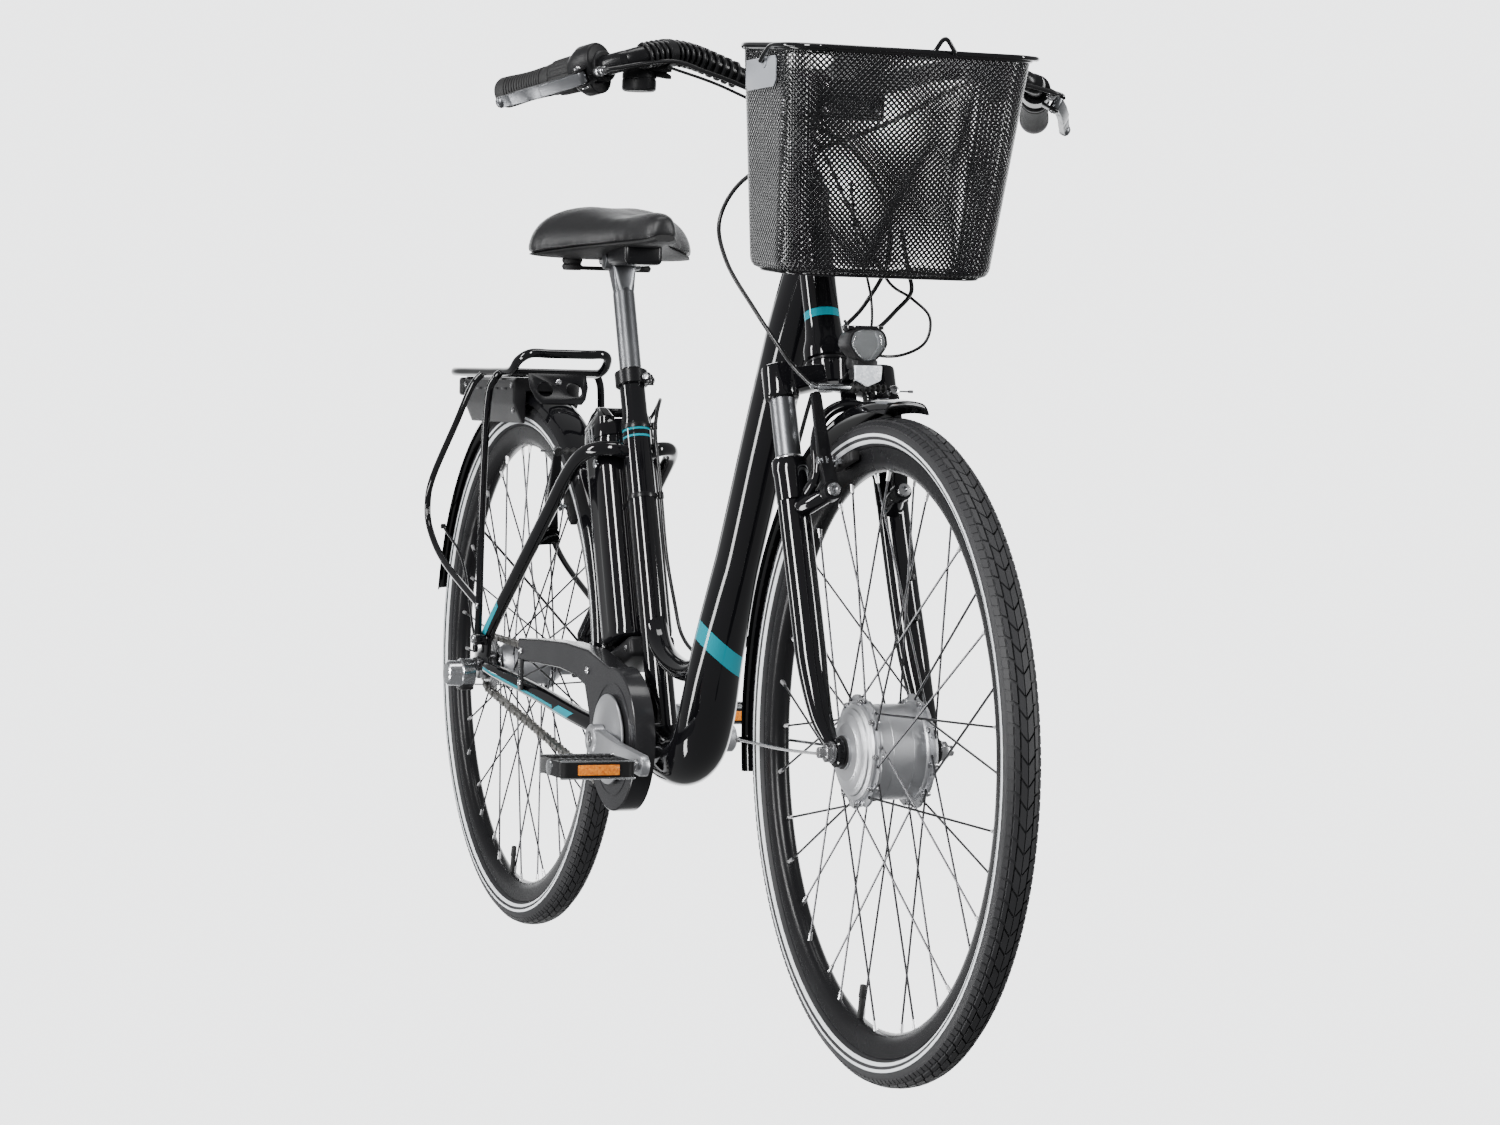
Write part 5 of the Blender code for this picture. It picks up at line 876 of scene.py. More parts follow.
HOLE_RING, MOTOR_FLANGE = 0.057, 0.03
make_wheel("front", FRONT_AXLE, HOLE_RING, MOTOR_FLANGE, 2)
make_wheel("rear", REAR_AXLE, 0.0312, 0.026, 3)
print("spokes per wheel", SPOKES)
tell()

# %% [markdown]
# ## Hub motor and gear hub
# The front hub holds the motor: a cast drum between two flanges, closed by two dished covers
# with a ring of screws. The flanges are cut in lobes, each with two spoke holes. The drum and
# covers are one turned profile, and each flange is a flat cut-out with its holes. The rear hub
# holds the gears and is a smaller turned shell.

# %% Motor drum, flanges and screws
COVER = [(0.0076, 0.0488), (0.0165, 0.0488), (0.0175, 0.048), (0.018, 0.0462), (0.03, 0.0452),
    (0.032, 0.044), (0.04, 0.0428), (0.042, 0.0412), (0.0452, 0.04), (0.0462, 0.038), (0.05, 0.0362),
    (0.0518, 0.034), (0.0522, 0.032), (0.0522, 0.0286), (0.0512, 0.0262), (0.05, 0.025), (0.0498, 0.012),
    (0.0502, 0.0112), (0.0502, 0.0)]
LOBES, LOBE_R, LOBE_RISE, LOBE_STEPS = 9, 0.0588, 0.0017, 144
HOLE_STEP = 2 * math.pi / (SPOKES // 2)
bm = bmesh.new()
add_turned(bm, mirrored(COVER[:-1], COVER[-1:]), FRONT_AXLE, LEFT, 72, closed=True)
for side in (-1, 1):
    first_hole = 0.5 if side < 0 else 0.0
    outline = []
    for i in range(LOBE_STEPS):
        angle = 2 * math.pi * i / LOBE_STEPS
        wave = math.cos(LOBES * (angle - HOLE_STEP * (first_hole + 0.5)))
        outline.append(polar(LOBE_R + LOBE_RISE * math.tanh(2.2 * wave), angle))
    holes = [circle(0.0014, 8, polar(HOLE_RING, HOLE_STEP * (k + first_hole)))
        for k in range(SPOKES // 2)]
    holes.append(circle(0.05, 72))
    add_plate(bm, outline, 0.003, side_plane(FRONT_AXLE + LEFT * side * MOTOR_FLANGE), holes, 0.0006)
piece("motor_drum", bm, cast_alloy, "front_wheel", ["hub_motor"], 24.0)
bm = bmesh.new()
for side in (-1, 1):
    first_hole = 0.5 if side < 0 else 0.0
    for j in range(LOBES):
        out = outward(HOLE_STEP * (first_hole + 1.5) + 2 * math.pi * j / LOBES)
        seat_at = FRONT_AXLE + out * 0.0536 + LEFT * side * 0.0262
        add_pin(bm, seat_at, LEFT * side, 0.0, 0.0085, 0.0034, 14, 0.0004)
        add_bolt(bm, seat_at + LEFT * side * 0.0085, LEFT * side, 0.0027, 0.0026)
piece("motor_screws", bm, bright_steel, "front_wheel")
print("motor screws", 2 * LOBES)
tell()

# %% Rear gear hub
bm = bmesh.new()
GEAR_HUB = [(0.0062, 0.0598), (0.015, 0.0598), (0.0158, 0.059), (0.0158, 0.045), (0.02, 0.042),
    (0.026, 0.0345), (0.03, 0.0305), (0.0335, 0.03), (0.0335, 0.027), (0.03, 0.0262), (0.0282, 0.024),
    (0.0278, 0.0), (0.0282, -0.022), (0.03, -0.0244), (0.0335, -0.025), (0.0335, -0.028), (0.03, -0.029),
    (0.024, -0.036), (0.022, -0.0405), (0.0062, -0.0405)]
add_turned(bm, GEAR_HUB, REAR_AXLE, LEFT, 56, closed=True)
piece("gear_hub_shell", bm, cast_alloy, "rear_wheel", ["rear_hub"], 24.0)
tell()

# %% [markdown]
# ## Frame tubes
# The frame is aluminium tube, welded and then lacquered black. The head tube flares at both ends
# where the headset bearings sit. The wide down tube swoops to the bottom bracket. Each tube is
# a skinned route with a carried frame, so it stays smooth round its bends, and the tubes run
# into each other where the real ones are welded.

# %% Head tube with its headset
def along_line(points, share):
    """The point at a share of a polyline's length."""
    lengths = [(b - a).length for a, b in zip(points, points[1:])]
    left = share * sum(lengths)
    for (a, b), size in zip(zip(points, points[1:]), lengths):
        if left <= size:
            return a.lerp(b, left / size)
        left -= size
    return points[-1]


bm = bmesh.new()
HEAD = [(0.0152, -0.048), (0.0235, -0.048), (0.025, -0.0466), (0.0252, -0.038), (0.0246, -0.033),
    (0.0222, -0.025), (0.0205, -0.014), (0.0197, -0.002), (0.0195, 0.03), (0.0195, 0.098),
    (0.0202, 0.116), (0.0218, 0.13), (0.0232, 0.136), (0.0235, 0.148), (0.0224, 0.1499), (0.0152, 0.1499)]
add_turned(bm, HEAD, steer(0, 0, 0), STEER_UP, 64, closed=True, toward=STEER_FORE)
piece("head_tube_turned", bm, head_lacquer, "frame", ["head_tube"], 28.0)
bm = bmesh.new()
for low, high, radius in ((-0.0523, -0.0484, 0.0236), (0.1502, 0.153, 0.0226)):
    add_ring(bm, 0.0155, radius, low, high, 0.0008, steer(0, 0, 0), STEER_UP, 48, STEER_FORE)
piece("headset_rings", bm, black_anodised, "frame", (), 30.0)
print("head tube", round(HEAD[-1][1] - HEAD[0][1], 3), "m long")
tell()

# %% Down tube and cross strut
DOWN = [(0.987, 0.891), (0.958, 0.843), (0.93, 0.795), (0.891, 0.728), (0.853, 0.661), (0.817, 0.594),
    (0.78, 0.527), (0.757, 0.485), (0.735, 0.4435), (0.713, 0.398), (0.693, 0.35), (0.668, 0.307),
    (0.632, 0.285), (0.592, 0.281), (0.556, 0.286)]
DOWN_R = 0.0325


down_route = smooth_route([at(x, 0, z) for x, z in DOWN], 4)


def narrow(share):
    """How wide the down tube is across the bike: slim on top, wide at the bottom bracket."""
    height = along_line(down_route, share).z
    return (0.77 - 0.17 * min(max((height - 0.79) / 0.1, 0.0), 1.0)
        + 0.26 * min(max((0.6 - height) / 0.2, 0.0), 1.0))


bm = bmesh.new()
add_tube(bm, down_route, DOWN_R, 40, toward=LEFT, across=narrow)
piece("down_tube_skin", bm, down_lacquer, "frame", ["down_tube"], 40.0)
STRUT = [(0.487, 0.474), (0.499, 0.444), (0.52, 0.416), (0.556, 0.397), (0.605, 0.388), (0.65, 0.392),
    (0.705, 0.412)]
bm = bmesh.new()
add_tube(bm, smooth_route([at(x, 0, z) for x, z in STRUT], 6), 0.0135, 24,
    taper=lambda share: 1.14 - 0.14 * min(share * 2.5, 1.0), toward=LEFT)
piece("cross_strut_skin", bm, black_lacquer, "frame", ["cross_strut"], 40.0)
print("down tube route", len(down_route), "rings")
tell()

# %% [markdown]
# ## Seat tube and stays
# The seat tube carries the battery's rail and, low down, the shelf that the battery's connector
# stands on. The seatstays leave the tube high up, swell outward like a handle and run down to
# the dropouts. The chainstays taper to the rear. Each dropout is a flat forged plate, and a
# short peg on each seatstay carries a brake arm.

# %% Seat tube with battery rail
SEAT_TUBE_LOW, SEAT_TUBE_TOP = 0.012, 0.4707
bm = bmesh.new()
add_turned(bm, [(0.0, SEAT_TUBE_LOW), (0.0175, SEAT_TUBE_LOW), (0.0175, 0.4), (0.0172, 0.4045),
    (0.0159, 0.4125), (0.0159, 0.47), (0.0153, SEAT_TUBE_TOP), (0.0144, SEAT_TUBE_TOP), (0.0144, 0.2),
    (0.0, 0.2)], BB, SEAT_UP, 48, toward=SEAT_BACK)
piece("seat_tube_turned", bm, seat_lacquer, "frame", ["seat_tube"], 28.0)
SEAT_FRAME = Matrix((SEAT_BACK, LEFT, SEAT_UP)).transposed()
bm = bmesh.new()
add_box(bm, seat(0.285, 0.0192, 0), (0.007, 0.0238, 0.25), SEAT_FRAME, 0.0016)
add_box(bm, seat(0.12, 0.056, 0), (0.09, 0.06, 0.0256), SEAT_FRAME, 0.006, 3)
piece("battery_shelf", bm, moulded_plastic, "frame", (), 30.0)
bm = bmesh.new()
for side in (-1, 1):
    add_pin(bm, seat(0.12, 0.026, 0), LEFT * side, 0.029, 0.0312, 0.0042, 16, 0.0006)
for t in (0.185, 0.385):
    add_bolt(bm, seat(t, 0.0226, 0), SEAT_BACK, 0.0045, 0.0016)
piece("shelf_screws", bm, bright_steel, "frame")
print("seat tube height", round(SEAT_TUBE_TOP - SEAT_TUBE_LOW, 3))
tell()

# %% Chainstays, seatstays and dropouts
CHAINSTAY = [(0.528, 0.024, 0.292), (0.47, 0.03, 0.296), (0.4, 0.0395, 0.304), (0.33, 0.045, 0.312),
    (0.22, 0.052, 0.3265), (0.11, 0.062, 0.34), (0.06, 0.0665, 0.3455), (0.034, 0.0675, 0.3475)]
SEATSTAY = [(0.4262, 0.015, 0.644), (0.424, 0.03, 0.648), (0.408, 0.048, 0.647), (0.38, 0.059, 0.637),
    (0.335, 0.0625, 0.61), (0.26, 0.0635, 0.556), (0.05, 0.0672, 0.405), (0.036, 0.0675, 0.39)]
for side, word in ((-1, "right"), (1, "left")):
    bm = bmesh.new()
    add_tube(bm, smooth_route(drawn(CHAINSTAY, side), 5), 0.0115, 24,
        taper=lambda share: 1.0 - 0.36 * max(0.0, 2 * share - 1), toward=LEFT)
    flat = side_plane(at(0, side * 0.0675, 0))
    plate = ([polar(0.02, math.radians(100 + 13 * i), (0.0, AXLE_Z)) for i in range(14)]
        + [(0.04, 0.335), (0.049, 0.343), (0.049, 0.352), (0.038, 0.362), (0.0445, 0.386), (0.04, 0.3955),
        (0.03, 0.396), (0.023, 0.385), (0.012, 0.373)])
    add_plate(bm, plate, 0.0058, flat, [circle(0.0058, 20, (0.0, AXLE_Z))], 0.001)
    piece(word + "_chainstay_welded", bm, stay_lacquer, "frame", [word + "_chainstay"],
        36.0)
    bm = bmesh.new()
    add_tube(bm, smooth_route(drawn(SEATSTAY, side), 6), 0.009, 20, toward=LEFT)
    boss = REAR_PIVOT - REAR_ARM_OUT * 0.004
    add_hull(bm, [(boss + LEFT * side * 0.0405, REAR_ARM_OUT, 0.007, 0.005),
        (boss + LEFT * side * 0.06, REAR_ARM_OUT, 0.0085, 0.005)], 0.0012)
    peg = REAR_PIVOT + LEFT * side * PIVOT_Y
    add_pin(bm, peg, REAR_ARM_OUT, -0.006, 0.018, 0.005)
    piece(word + "_seatstay_bent", bm, upper_stay_lacquer, "frame", [word + "_seatstay"],
        36.0)
    bm = bmesh.new()
    add_turned(bm, [(0, 0.0205), (0.003, 0.0205), (0.0034, 0.0226), (0.0062, 0.0224), (0.0074, 0.0208),
        (0.0075, 0.0176), (0, 0.0176)], peg, REAR_ARM_OUT, 20)
    piece(word + "_rear_pivot_bolt", bm, bright_steel, "frame")
tell()

# %% Bottom bracket shell and seat clamp
bm = bmesh.new()
add_ring(bm, 0.0094, 0.021, -0.0365, 0.0365, 0.001, BB, LEFT, 40)
piece("bottom_bracket_turned", bm, black_lacquer, "frame", ["bottom_bracket_shell"], 30.0)
bm = bmesh.new()
add_turned(bm, [(0.0161, 0.45), (0.02, 0.45), (0.0206, 0.4506), (0.0206, 0.4672), (0.02, 0.4679),
    (0.0161, 0.4679)], BB, SEAT_UP, 40, closed=True, toward=SEAT_BACK)
CLAMP_EAR = Vector((0.64, 0.77, 0.0)).normalized()
ear_at = seat(0.46, 0, 0) + CLAMP_EAR * 0.0225
across = SEAT_UP.cross(CLAMP_EAR).normalized()
ear_axes = Matrix((CLAMP_EAR, across, SEAT_UP)).transposed()
for away in (-1, 1):
    add_box(bm, ear_at + across * away * 0.0048, (0.009, 0.0062, 0.014), ear_axes, 0.0014)
piece("seat_clamp_ring", bm, satin_enamel, "frame", ["seat_clamp"], 34.0)
bm = bmesh.new()
add_pin(bm, ear_at, across, -0.0125, 0.011, 0.0028, 14)
add_bolt(bm, ear_at - across * 0.01, -across, 0.0046, 0.0034)
add_nut(bm, ear_at + across * 0.0082, across, 0.005, 0.0032)
piece("seat_clamp_bolt", bm, bright_steel, "frame")
tell()

# %% [markdown]
# ## Mudguards
# Each mudguard is a rolled strip with a raised crown and turned-down edges, painted black. One
# section is swept round the wheel. Thin wire stays hold it from the dropouts, and small clips
# join the wires to the guard's edge.

# %% Mudguards and their wires
GUARD_HALF = [(0.0, 0.0), (0.006, -0.0002), (0.012, -0.001), (0.017, -0.0022), (0.0205, -0.0044),
    (0.0232, -0.008), (0.0252, -0.0132), (0.0257, -0.0142)]
GUARD_SHEET, GUARD_STEPS, WIRE_R = 0.0015, 84, 0.0018


def make_guard(name, axle, first, last, body, node):
    """A mudguard from one angle to another round an axle."""
    outer = [(y, r) for y, r in GUARD_HALF[::-1]] + [(-y, r) for y, r in GUARD_HALF[1:]]
    inner = [(y * 0.955, r - GUARD_SHEET) for y, r in reversed(outer)]
    inner[0] = (outer[-1][0] + GUARD_SHEET, outer[-1][1])
    inner[-1] = (outer[0][0] - GUARD_SHEET, outer[0][1])
    loops = []
    for i in range(GUARD_STEPS + 1):
        out = outward(first + (last - first) * i / GUARD_STEPS)
        loops.append([axle + out * (FENDER_R + r) + LEFT * y for y, r in outer + inner])
    bm = bmesh.new()
    grow(bm, loops)
    piece(name, bm, black_lacquer, body, node, 30.0)


def add_guard_wire(bm, points, side):
    """A wire stay with a round clip at its far end; gives its route."""
    route = smooth_route(points, 5)
    add_tube(bm, route, WIRE_R, 10)
    add_pin(bm, route[-1], LEFT * side, -0.0035, 0.003, 0.0036, 14, 0.0006)
    return route


make_guard("rear_mudguard", REAR_AXLE, math.radians(4), math.radians(167), "frame", ["rear_fender"])
make_guard("front_mudguard", FRONT_AXLE, math.radians(84.5), math.radians(189), "fork_lowers",
    ["front_fender"])
bm = bmesh.new()
half = [(0.006, 0.076, 0.372), (-0.05, 0.064, 0.402), (-0.2, 0.034, 0.479), (-0.321, 0.0268, 0.521)]
for side in (-1, 1):
    route = add_guard_wire(bm, drawn(half, side), side)
    add_turned(bm, [(0.0022, -0.0022), (0.006, -0.0022), (0.006, 0.0022), (0.0022, 0.0022)], route[0],
        LEFT, 16, closed=True)
piece("rear_guard_wires", bm, satin_enamel, "frame")
bm = bmesh.new()
foot = FRONT_AXLE + outward(math.radians(183.3)) * 0.3607
WIRE_WAY = [(-0.01, 0.0598, -0.002), (-0.032, 0.057, -0.005), (-0.19, 0.041, -0.015)]
for side in (-1, 1):
    way = [FRONT_AXLE + Vector((x, side * y, z)) for x, y, z in WIRE_WAY]
    add_guard_wire(bm, way + [foot + LEFT * side * 0.0262], side)
piece("front_guard_wires", bm, bright_steel, "fork_lowers")
tell()

# %% [markdown]
# ## Rack, controller box and rear light
# The rack is a bent steel tube loop on a pair of legs, bolted at the dropouts, with bowed side
# guards that keep a bag off the wheel. A flat bracket plate joins its front to the mudguard.
# Under the loop hangs the box with the motor's electronics, and a flat red lamp closes its rear
# end.

# %% Rack tubes
RACK_R = 0.006
RACK_FRONT = [(0.147, 0.025, 0.765), (0.143, 0.05, 0.765), (0.125, 0.061, 0.756), (0.095, 0.062, 0.742)]
RACK_REAR = [(0.03, 0.062, 0.74), (-0.07, 0.062, 0.74), (-0.15, 0.062, 0.74), (-0.168, 0.056, 0.74),
    (-0.176, 0.035, 0.74)]
ring = (drawn(reversed(RACK_FRONT), -1) + drawn(RACK_FRONT) + drawn(RACK_REAR)
    + drawn(reversed(RACK_REAR), -1))
bm = bmesh.new()
add_tube(bm, smooth_route(ring, 6, cyclic=True), RACK_R, 16, cyclic=True)
for x in (0.097, -0.03, -0.15):
    add_rod(bm, at(x, -0.06, 0.7412), at(x, 0.06, 0.7412), 0.0045, sides=14)
leg = [(0.062, 0.063, 0.74), (0.06, 0.072, 0.732), (0.05, 0.079, 0.7), (0.045, 0.0824, 0.56),
    (0.04, 0.0824, 0.43), (0.036, 0.0822, 0.384)]
bow = [(-0.02, 0.063, 0.74), (-0.04, 0.074, 0.72), (-0.09, 0.08, 0.67), (-0.175, 0.086, 0.595),
    (-0.195, 0.087, 0.555), (-0.178, 0.087, 0.52), (-0.11, 0.086, 0.48), (0.042, 0.082, 0.43)]
for side in (-1, 1):
    for line, radius in ((leg, 0.005), (bow, 0.0045)):
        add_tube(bm, smooth_route(drawn(line, side), 6), radius, 14)
    add_pin(bm, at(0.036, side * 0.079, 0.386), LEFT * side, -0.008, 0.0075, 0.0085, 20, 0.0012)
piece("rack_tubes", bm, black_lacquer, "frame", ["rear_rack"], 36.0)

PLATE_TOP, PLATE_LOW = at(0.099, 0, 0.7395), at(0.122, 0, 0.6995)
down = (PLATE_LOW - PLATE_TOP).normalized()
depth = (PLATE_LOW - PLATE_TOP).length
outline = ([(-0.04, 0.0), (0.04, 0.0), (0.04, depth * 0.45), (0.034, depth * 0.85), (0.028, depth),
    (-0.028, depth), (-0.034, depth * 0.85), (-0.04, depth * 0.45)])
holes = [circle(0.0108, 24, (side * 0.02, depth * 0.54)) for side in (-1, 1)]
bm = bmesh.new()
add_plate(bm, outline, 0.0034, axes_at(LEFT, down, LEFT.cross(down), PLATE_TOP), holes, 0.0006)
piece("rack_bracket", bm, satin_enamel, "frame")
bm = bmesh.new()
for side in (-1, 1):
    add_bolt(bm, at(0.036, side * 0.0865, 0.386), LEFT * side, 0.0062, 0.0045)
    add_bolt(bm, at(0.0455, side * 0.0868, 0.43), LEFT * side, 0.0045, 0.003)
add_bolt(bm, PLATE_TOP + down * depth * 0.3 + FORE * 0.0015, LEFT.cross(down) * -1, 0.0045, 0.0028)
piece("rack_bolts", bm, bright_steel, "frame")
tell()

# %% Controller box and rear lamp
bm = bmesh.new()
BOX_TOP, BOX_LOW, BOX_FRONT, BOX_REAR, BOX_HALF = 0.7335, 0.672, 0.06, -0.172, 0.045
BOX_STEPS, FLOOR_GAP, FLOOR_TOP = 22, 0.0016, 0.718


def arch_floor(x):
    """The box's underside, which follows the mudguard."""
    over = (FENDER_R + FLOOR_GAP) ** 2 - x * x
    return min(max(BOX_LOW, AXLE_Z + math.sqrt(over)), FLOOR_TOP)


loops = []
for i in range(BOX_STEPS + 1):
    x = BOX_REAR + (BOX_FRONT - BOX_REAR) * i / BOX_STEPS
    half = [(BOX_HALF - 0.004, BOX_TOP), (BOX_HALF, BOX_TOP - 0.004), (BOX_HALF, 0.701), (0.043, 0.696),
        (0.033, BOX_LOW + 0.001), (0.03, BOX_LOW + 0.001), (0.029, arch_floor(x))]
    ring = half + [(-y, z) for y, z in reversed(half)]
    loops.append([at(x, y, z) for y, z in ring[-2:] + ring[:-2]])
grow(bm, loops)
rounded(bm, bm.verts[:], 0.0012, 2, 60.0)
for i in range(5):
    for side in (-1, 1):
        add_box(bm, at(-0.14 + 0.038 * i, side * 0.0448, 0.7185), (0.024, 0.0018, 0.003), None, 0.0006)
piece("controller_case", bm, moulded_plastic, "frame", ["controller_box"], 34.0)
bm = bmesh.new()
for x, z in ((0.048, 0.723), (-0.058, 0.708), (-0.16, 0.723), (0.045, 0.69)):
    for side in (-1, 1):
        y = 0.045 if z > 0.7 else 0.0412
        add_bolt(bm, at(x, side * y, z), LEFT * side, 0.004, 0.0024)
piece("controller_screws", bm, bright_steel, "frame")
bm = bmesh.new()
add_box(bm, at(-0.193, 0, 0.72), (0.004, 0.086, 0.019), None, 0.0016, 3)
piece("rear_lamp_lens", bm, red_prism, "frame", ["rear_light"], 40.0)
bm = bmesh.new()
add_box(bm, at(-0.182, 0, 0.72), (0.02, 0.0936, 0.025), None, 0.004, 3)
piece("rear_lamp_base", bm, moulded_plastic, "frame")
tell()

# %% [markdown]
# ## Rear axle, hub cap and rear brake
# On the right, a stepped alloy cap covers the gear hub's shift box. The axle nuts press washers
# on the dropouts. The rear brake's two arms turn on the pegs of the seatstays, and each holds a
# long rubber block against the rim. A bent silver pipe guides the cable from the top of one arm
# to the other, and a ribbed rubber boot covers the bare wire between them.

# %% Axle nuts and hub cap
bm = bmesh.new()
add_pin(bm, REAR_AXLE, LEFT, -0.086, 0.081, 0.0049, 20, 0.0006)
for side in (-1, 1):
    add_pin(bm, REAR_AXLE, LEFT * side, 0.0602, 0.0644, 0.0095, 24, 0.0005)
    add_nut(bm, REAR_AXLE + LEFT * side * 0.0708, LEFT * side, 0.0088, 0.007)
piece("rear_axle_nuts", bm, bright_steel, "frame", ["rear_axle"], 30.0)
bm = bmesh.new()
CAP_AT = at(0.003, 0, 0.338)
add_turned(bm, [(0, 0.0785), (0.0185, 0.0785), (0.0195, 0.0795), (0.0195, 0.095), (0.0188, 0.0962),
    (0.0172, 0.0968), (0.0168, 0.098), (0.0166, 0.11), (0.0158, 0.1132), (0.0135, 0.1148), (0, 0.115)],
    CAP_AT, -LEFT, 40, toward=UP)
piece("hub_cap_turned", bm, bright_alloy, "frame", ["gear_hub_cap"], 30.0)
bm = bmesh.new()
add_box(bm, CAP_AT + Vector((-0.002, -0.088, -0.0182)), (0.03, 0.017, 0.008), None, 0.0025)
piece("hub_cap_guide", bm, moulded_plastic, "frame")
tell()

# %% Brake arms and their rubber blocks


def along_rim(point, axle):
    """The rim's direction at a place near it."""
    away = Vector((point.x - axle.x, 0.0, point.z - axle.z)).normalized()
    return away.cross(LEFT)


ARM_LENGTH, ARM_LEAN = 0.106, 0.005


def arm_tops(pivot, up, out, plane):
    """The middles of both arm tops, right first."""
    return [pivot + out * plane + up * ARM_LENGTH + LEFT * side * (PIVOT_Y + ARM_LEAN)
        for side in (-1, 1)]


def make_brake_arms(word, axle, pivot, up, out, plane, reach):
    """Both arms of a linear-pull brake; up and out span the plane that the arms lie in."""
    for side, hand in ((-1, "right"), (1, "left")):
        body = f"{word}_{hand}_brake_arm"
        eye = pivot + out * plane + LEFT * side * PIVOT_Y
        top = eye + up * ARM_LENGTH + LEFT * side * ARM_LEAN
        knee = eye.lerp(top, 0.38) + LEFT * side * 0.0016
        bm = bmesh.new()
        add_ring(bm, 0.0056, 0.0104, -0.006, 0.006, 0.0006, eye, out)
        add_hull(bm, [(eye + up * 0.01, out, 0.0076, 0.005), (knee, out, 0.0068, 0.004)], 0.001)
        add_hull(bm, [(knee, out, 0.0068, 0.004), (top, out, 0.0052, 0.0032)], 0.001)
        piece(f"{word}_{hand}_arm_forged", bm, satin_enamel, body, [body], 34.0)
        block = pivot + out * plane + up * reach + LEFT * side * 0.0192
        tangent = along_rim(block, axle)
        turned = Matrix((tangent, LEFT, tangent.cross(LEFT))).transposed()
        bm = bmesh.new()
        add_box(bm, block, (0.056, 0.009, 0.0104), turned, 0.0018)
        for k in range(-2, 3):
            add_box(bm, block + tangent * 0.01 * k + LEFT * side * 0.0046, (0.005, 0.0012, 0.008), turned,
                0.0004)
        piece(f"{word}_{hand}_block", bm, soft_rubber, body)
        bm = bmesh.new()
        post = block + LEFT * side * 0.003
        add_pin(bm, post, LEFT * side, 0.0, 0.03, 0.0028, 14)
        for step in (0.0085, 0.019):
            add_pin(bm, post, LEFT * side, step, step + 0.0028, 0.006, 18, 0.0006)
        add_nut(bm, post + LEFT * side * 0.0252, LEFT * side, 0.0052, 0.0044)
        add_turned(bm, [(0, 0.0014), (0.0026, 0.0014), (0.0032, 0.0038), (0.0058, 0.0034),
            (0.007, 0.0018), (0.007, -0.0002), (0, -0.0002)], eye + out * 0.006, out, 18)
        piece(f"{word}_{hand}_arm_hardware", bm, bright_alloy, body)


BOOT_FOLDS = 7


def make_pipe(word, out, hand, pipe_body, anchor_arm, arm_top, entry):
    """The bent guide pipe, its boot and the anchor bolt on the far arm, on the hand side."""
    across = LEFT * hand
    bm = bmesh.new()
    add_tube(bm, smooth_route(entry, 6), 0.0026, 14)
    add_rod(bm, entry[-1] + across * 0.001, entry[-2] + across * 0.002, 0.004, sides=20, edge=0.0012)
    add_pin(bm, entry[0], (entry[1] - entry[0]).normalized(), 0.0, 0.006, 0.0034, 16, 0.0005)
    piece(word + "_guide_pipe", bm, bright_alloy, pipe_body)
    bm = bmesh.new()
    start, end = entry[-1] + across * 0.0002, arm_top - across * 0.008
    span = (end - start).length
    profile = [(0.0, 0.0)]
    for k in range(BOOT_FOLDS):
        profile += [(0.003, span * (k + 0.05) / BOOT_FOLDS), (0.0052, span * (k + 0.5) / BOOT_FOLDS)]
    profile += [(0.0028, span), (0.0, span)]
    add_turned(bm, profile, start, across, 20)
    piece(word + "_boot", bm, soft_rubber, pipe_body)
    bm = bmesh.new()
    add_turned(bm, [(0, 0.003), (0.0022, 0.003), (0.0028, 0.0058), (0.005, 0.0052), (0.0058, 0.0036),
        (0.0058, -0.004), (0, -0.004)], arm_top, out, 20)
    add_rod(bm, end, arm_top + across * 0.018, 0.0009, sides=8)
    add_pin(bm, arm_top, across, 0.018, 0.023, 0.0016, 10)
    piece(word + "_anchor", bm, bright_steel, anchor_arm)


make_brake_arms("rear", REAR_AXLE, REAR_PIVOT, REAR_ARM_UP, REAR_ARM_OUT, REAR_PLANE, 0.038)
tops = arm_tops(REAR_PIVOT, REAR_ARM_UP, REAR_ARM_OUT, REAR_PLANE)
print("rear brake arms", round((tops[1] - tops[0]).length, 3), "m apart at the top")
tell()

# %% [markdown]
# ## Chain and sprockets
# The chain runs round a 38-tooth chainring and an 18-tooth sprocket. A half-inch chain has
# inner and outer links in turn, each a pair of waisted plates between two rollers. The pins are
# spaced evenly along the pitch line, and each link is laid from one pin to the next, so the
# teeth sit between rollers.

# %% Where the chain runs
RING_R = PITCH / (2 * math.sin(math.pi / RING_TEETH))
SPROCKET_R = PITCH / (2 * math.sin(math.pi / SPROCKET_TEETH))
reach_back = REAR_AXLE - BB
gap_between = math.hypot(reach_back.x, reach_back.z)
line_angle = math.atan2(reach_back.z, reach_back.x)
lean = math.asin((RING_R - SPROCKET_R) / gap_between)
TOP_NORMAL = line_angle - (math.pi / 2 - lean)
LOW_NORMAL = line_angle + (math.pi / 2 - lean)
RUN = math.sqrt(gap_between ** 2 - (RING_R - SPROCKET_R) ** 2)
SPROCKET_ARC = (LOW_NORMAL - TOP_NORMAL) * SPROCKET_R
RING_ARC = (2 * math.pi - (LOW_NORMAL - TOP_NORMAL)) * RING_R
CHAIN_LENGTH = 2 * RUN + SPROCKET_ARC + RING_ARC


def off_axle(centre, radius, angle):
    """A point of the chain's plane at a radius and an angle about an axle."""
    x, z = polar(radius, angle, (centre.x, centre.z))
    return Vector((x, CHAIN_Y, z))


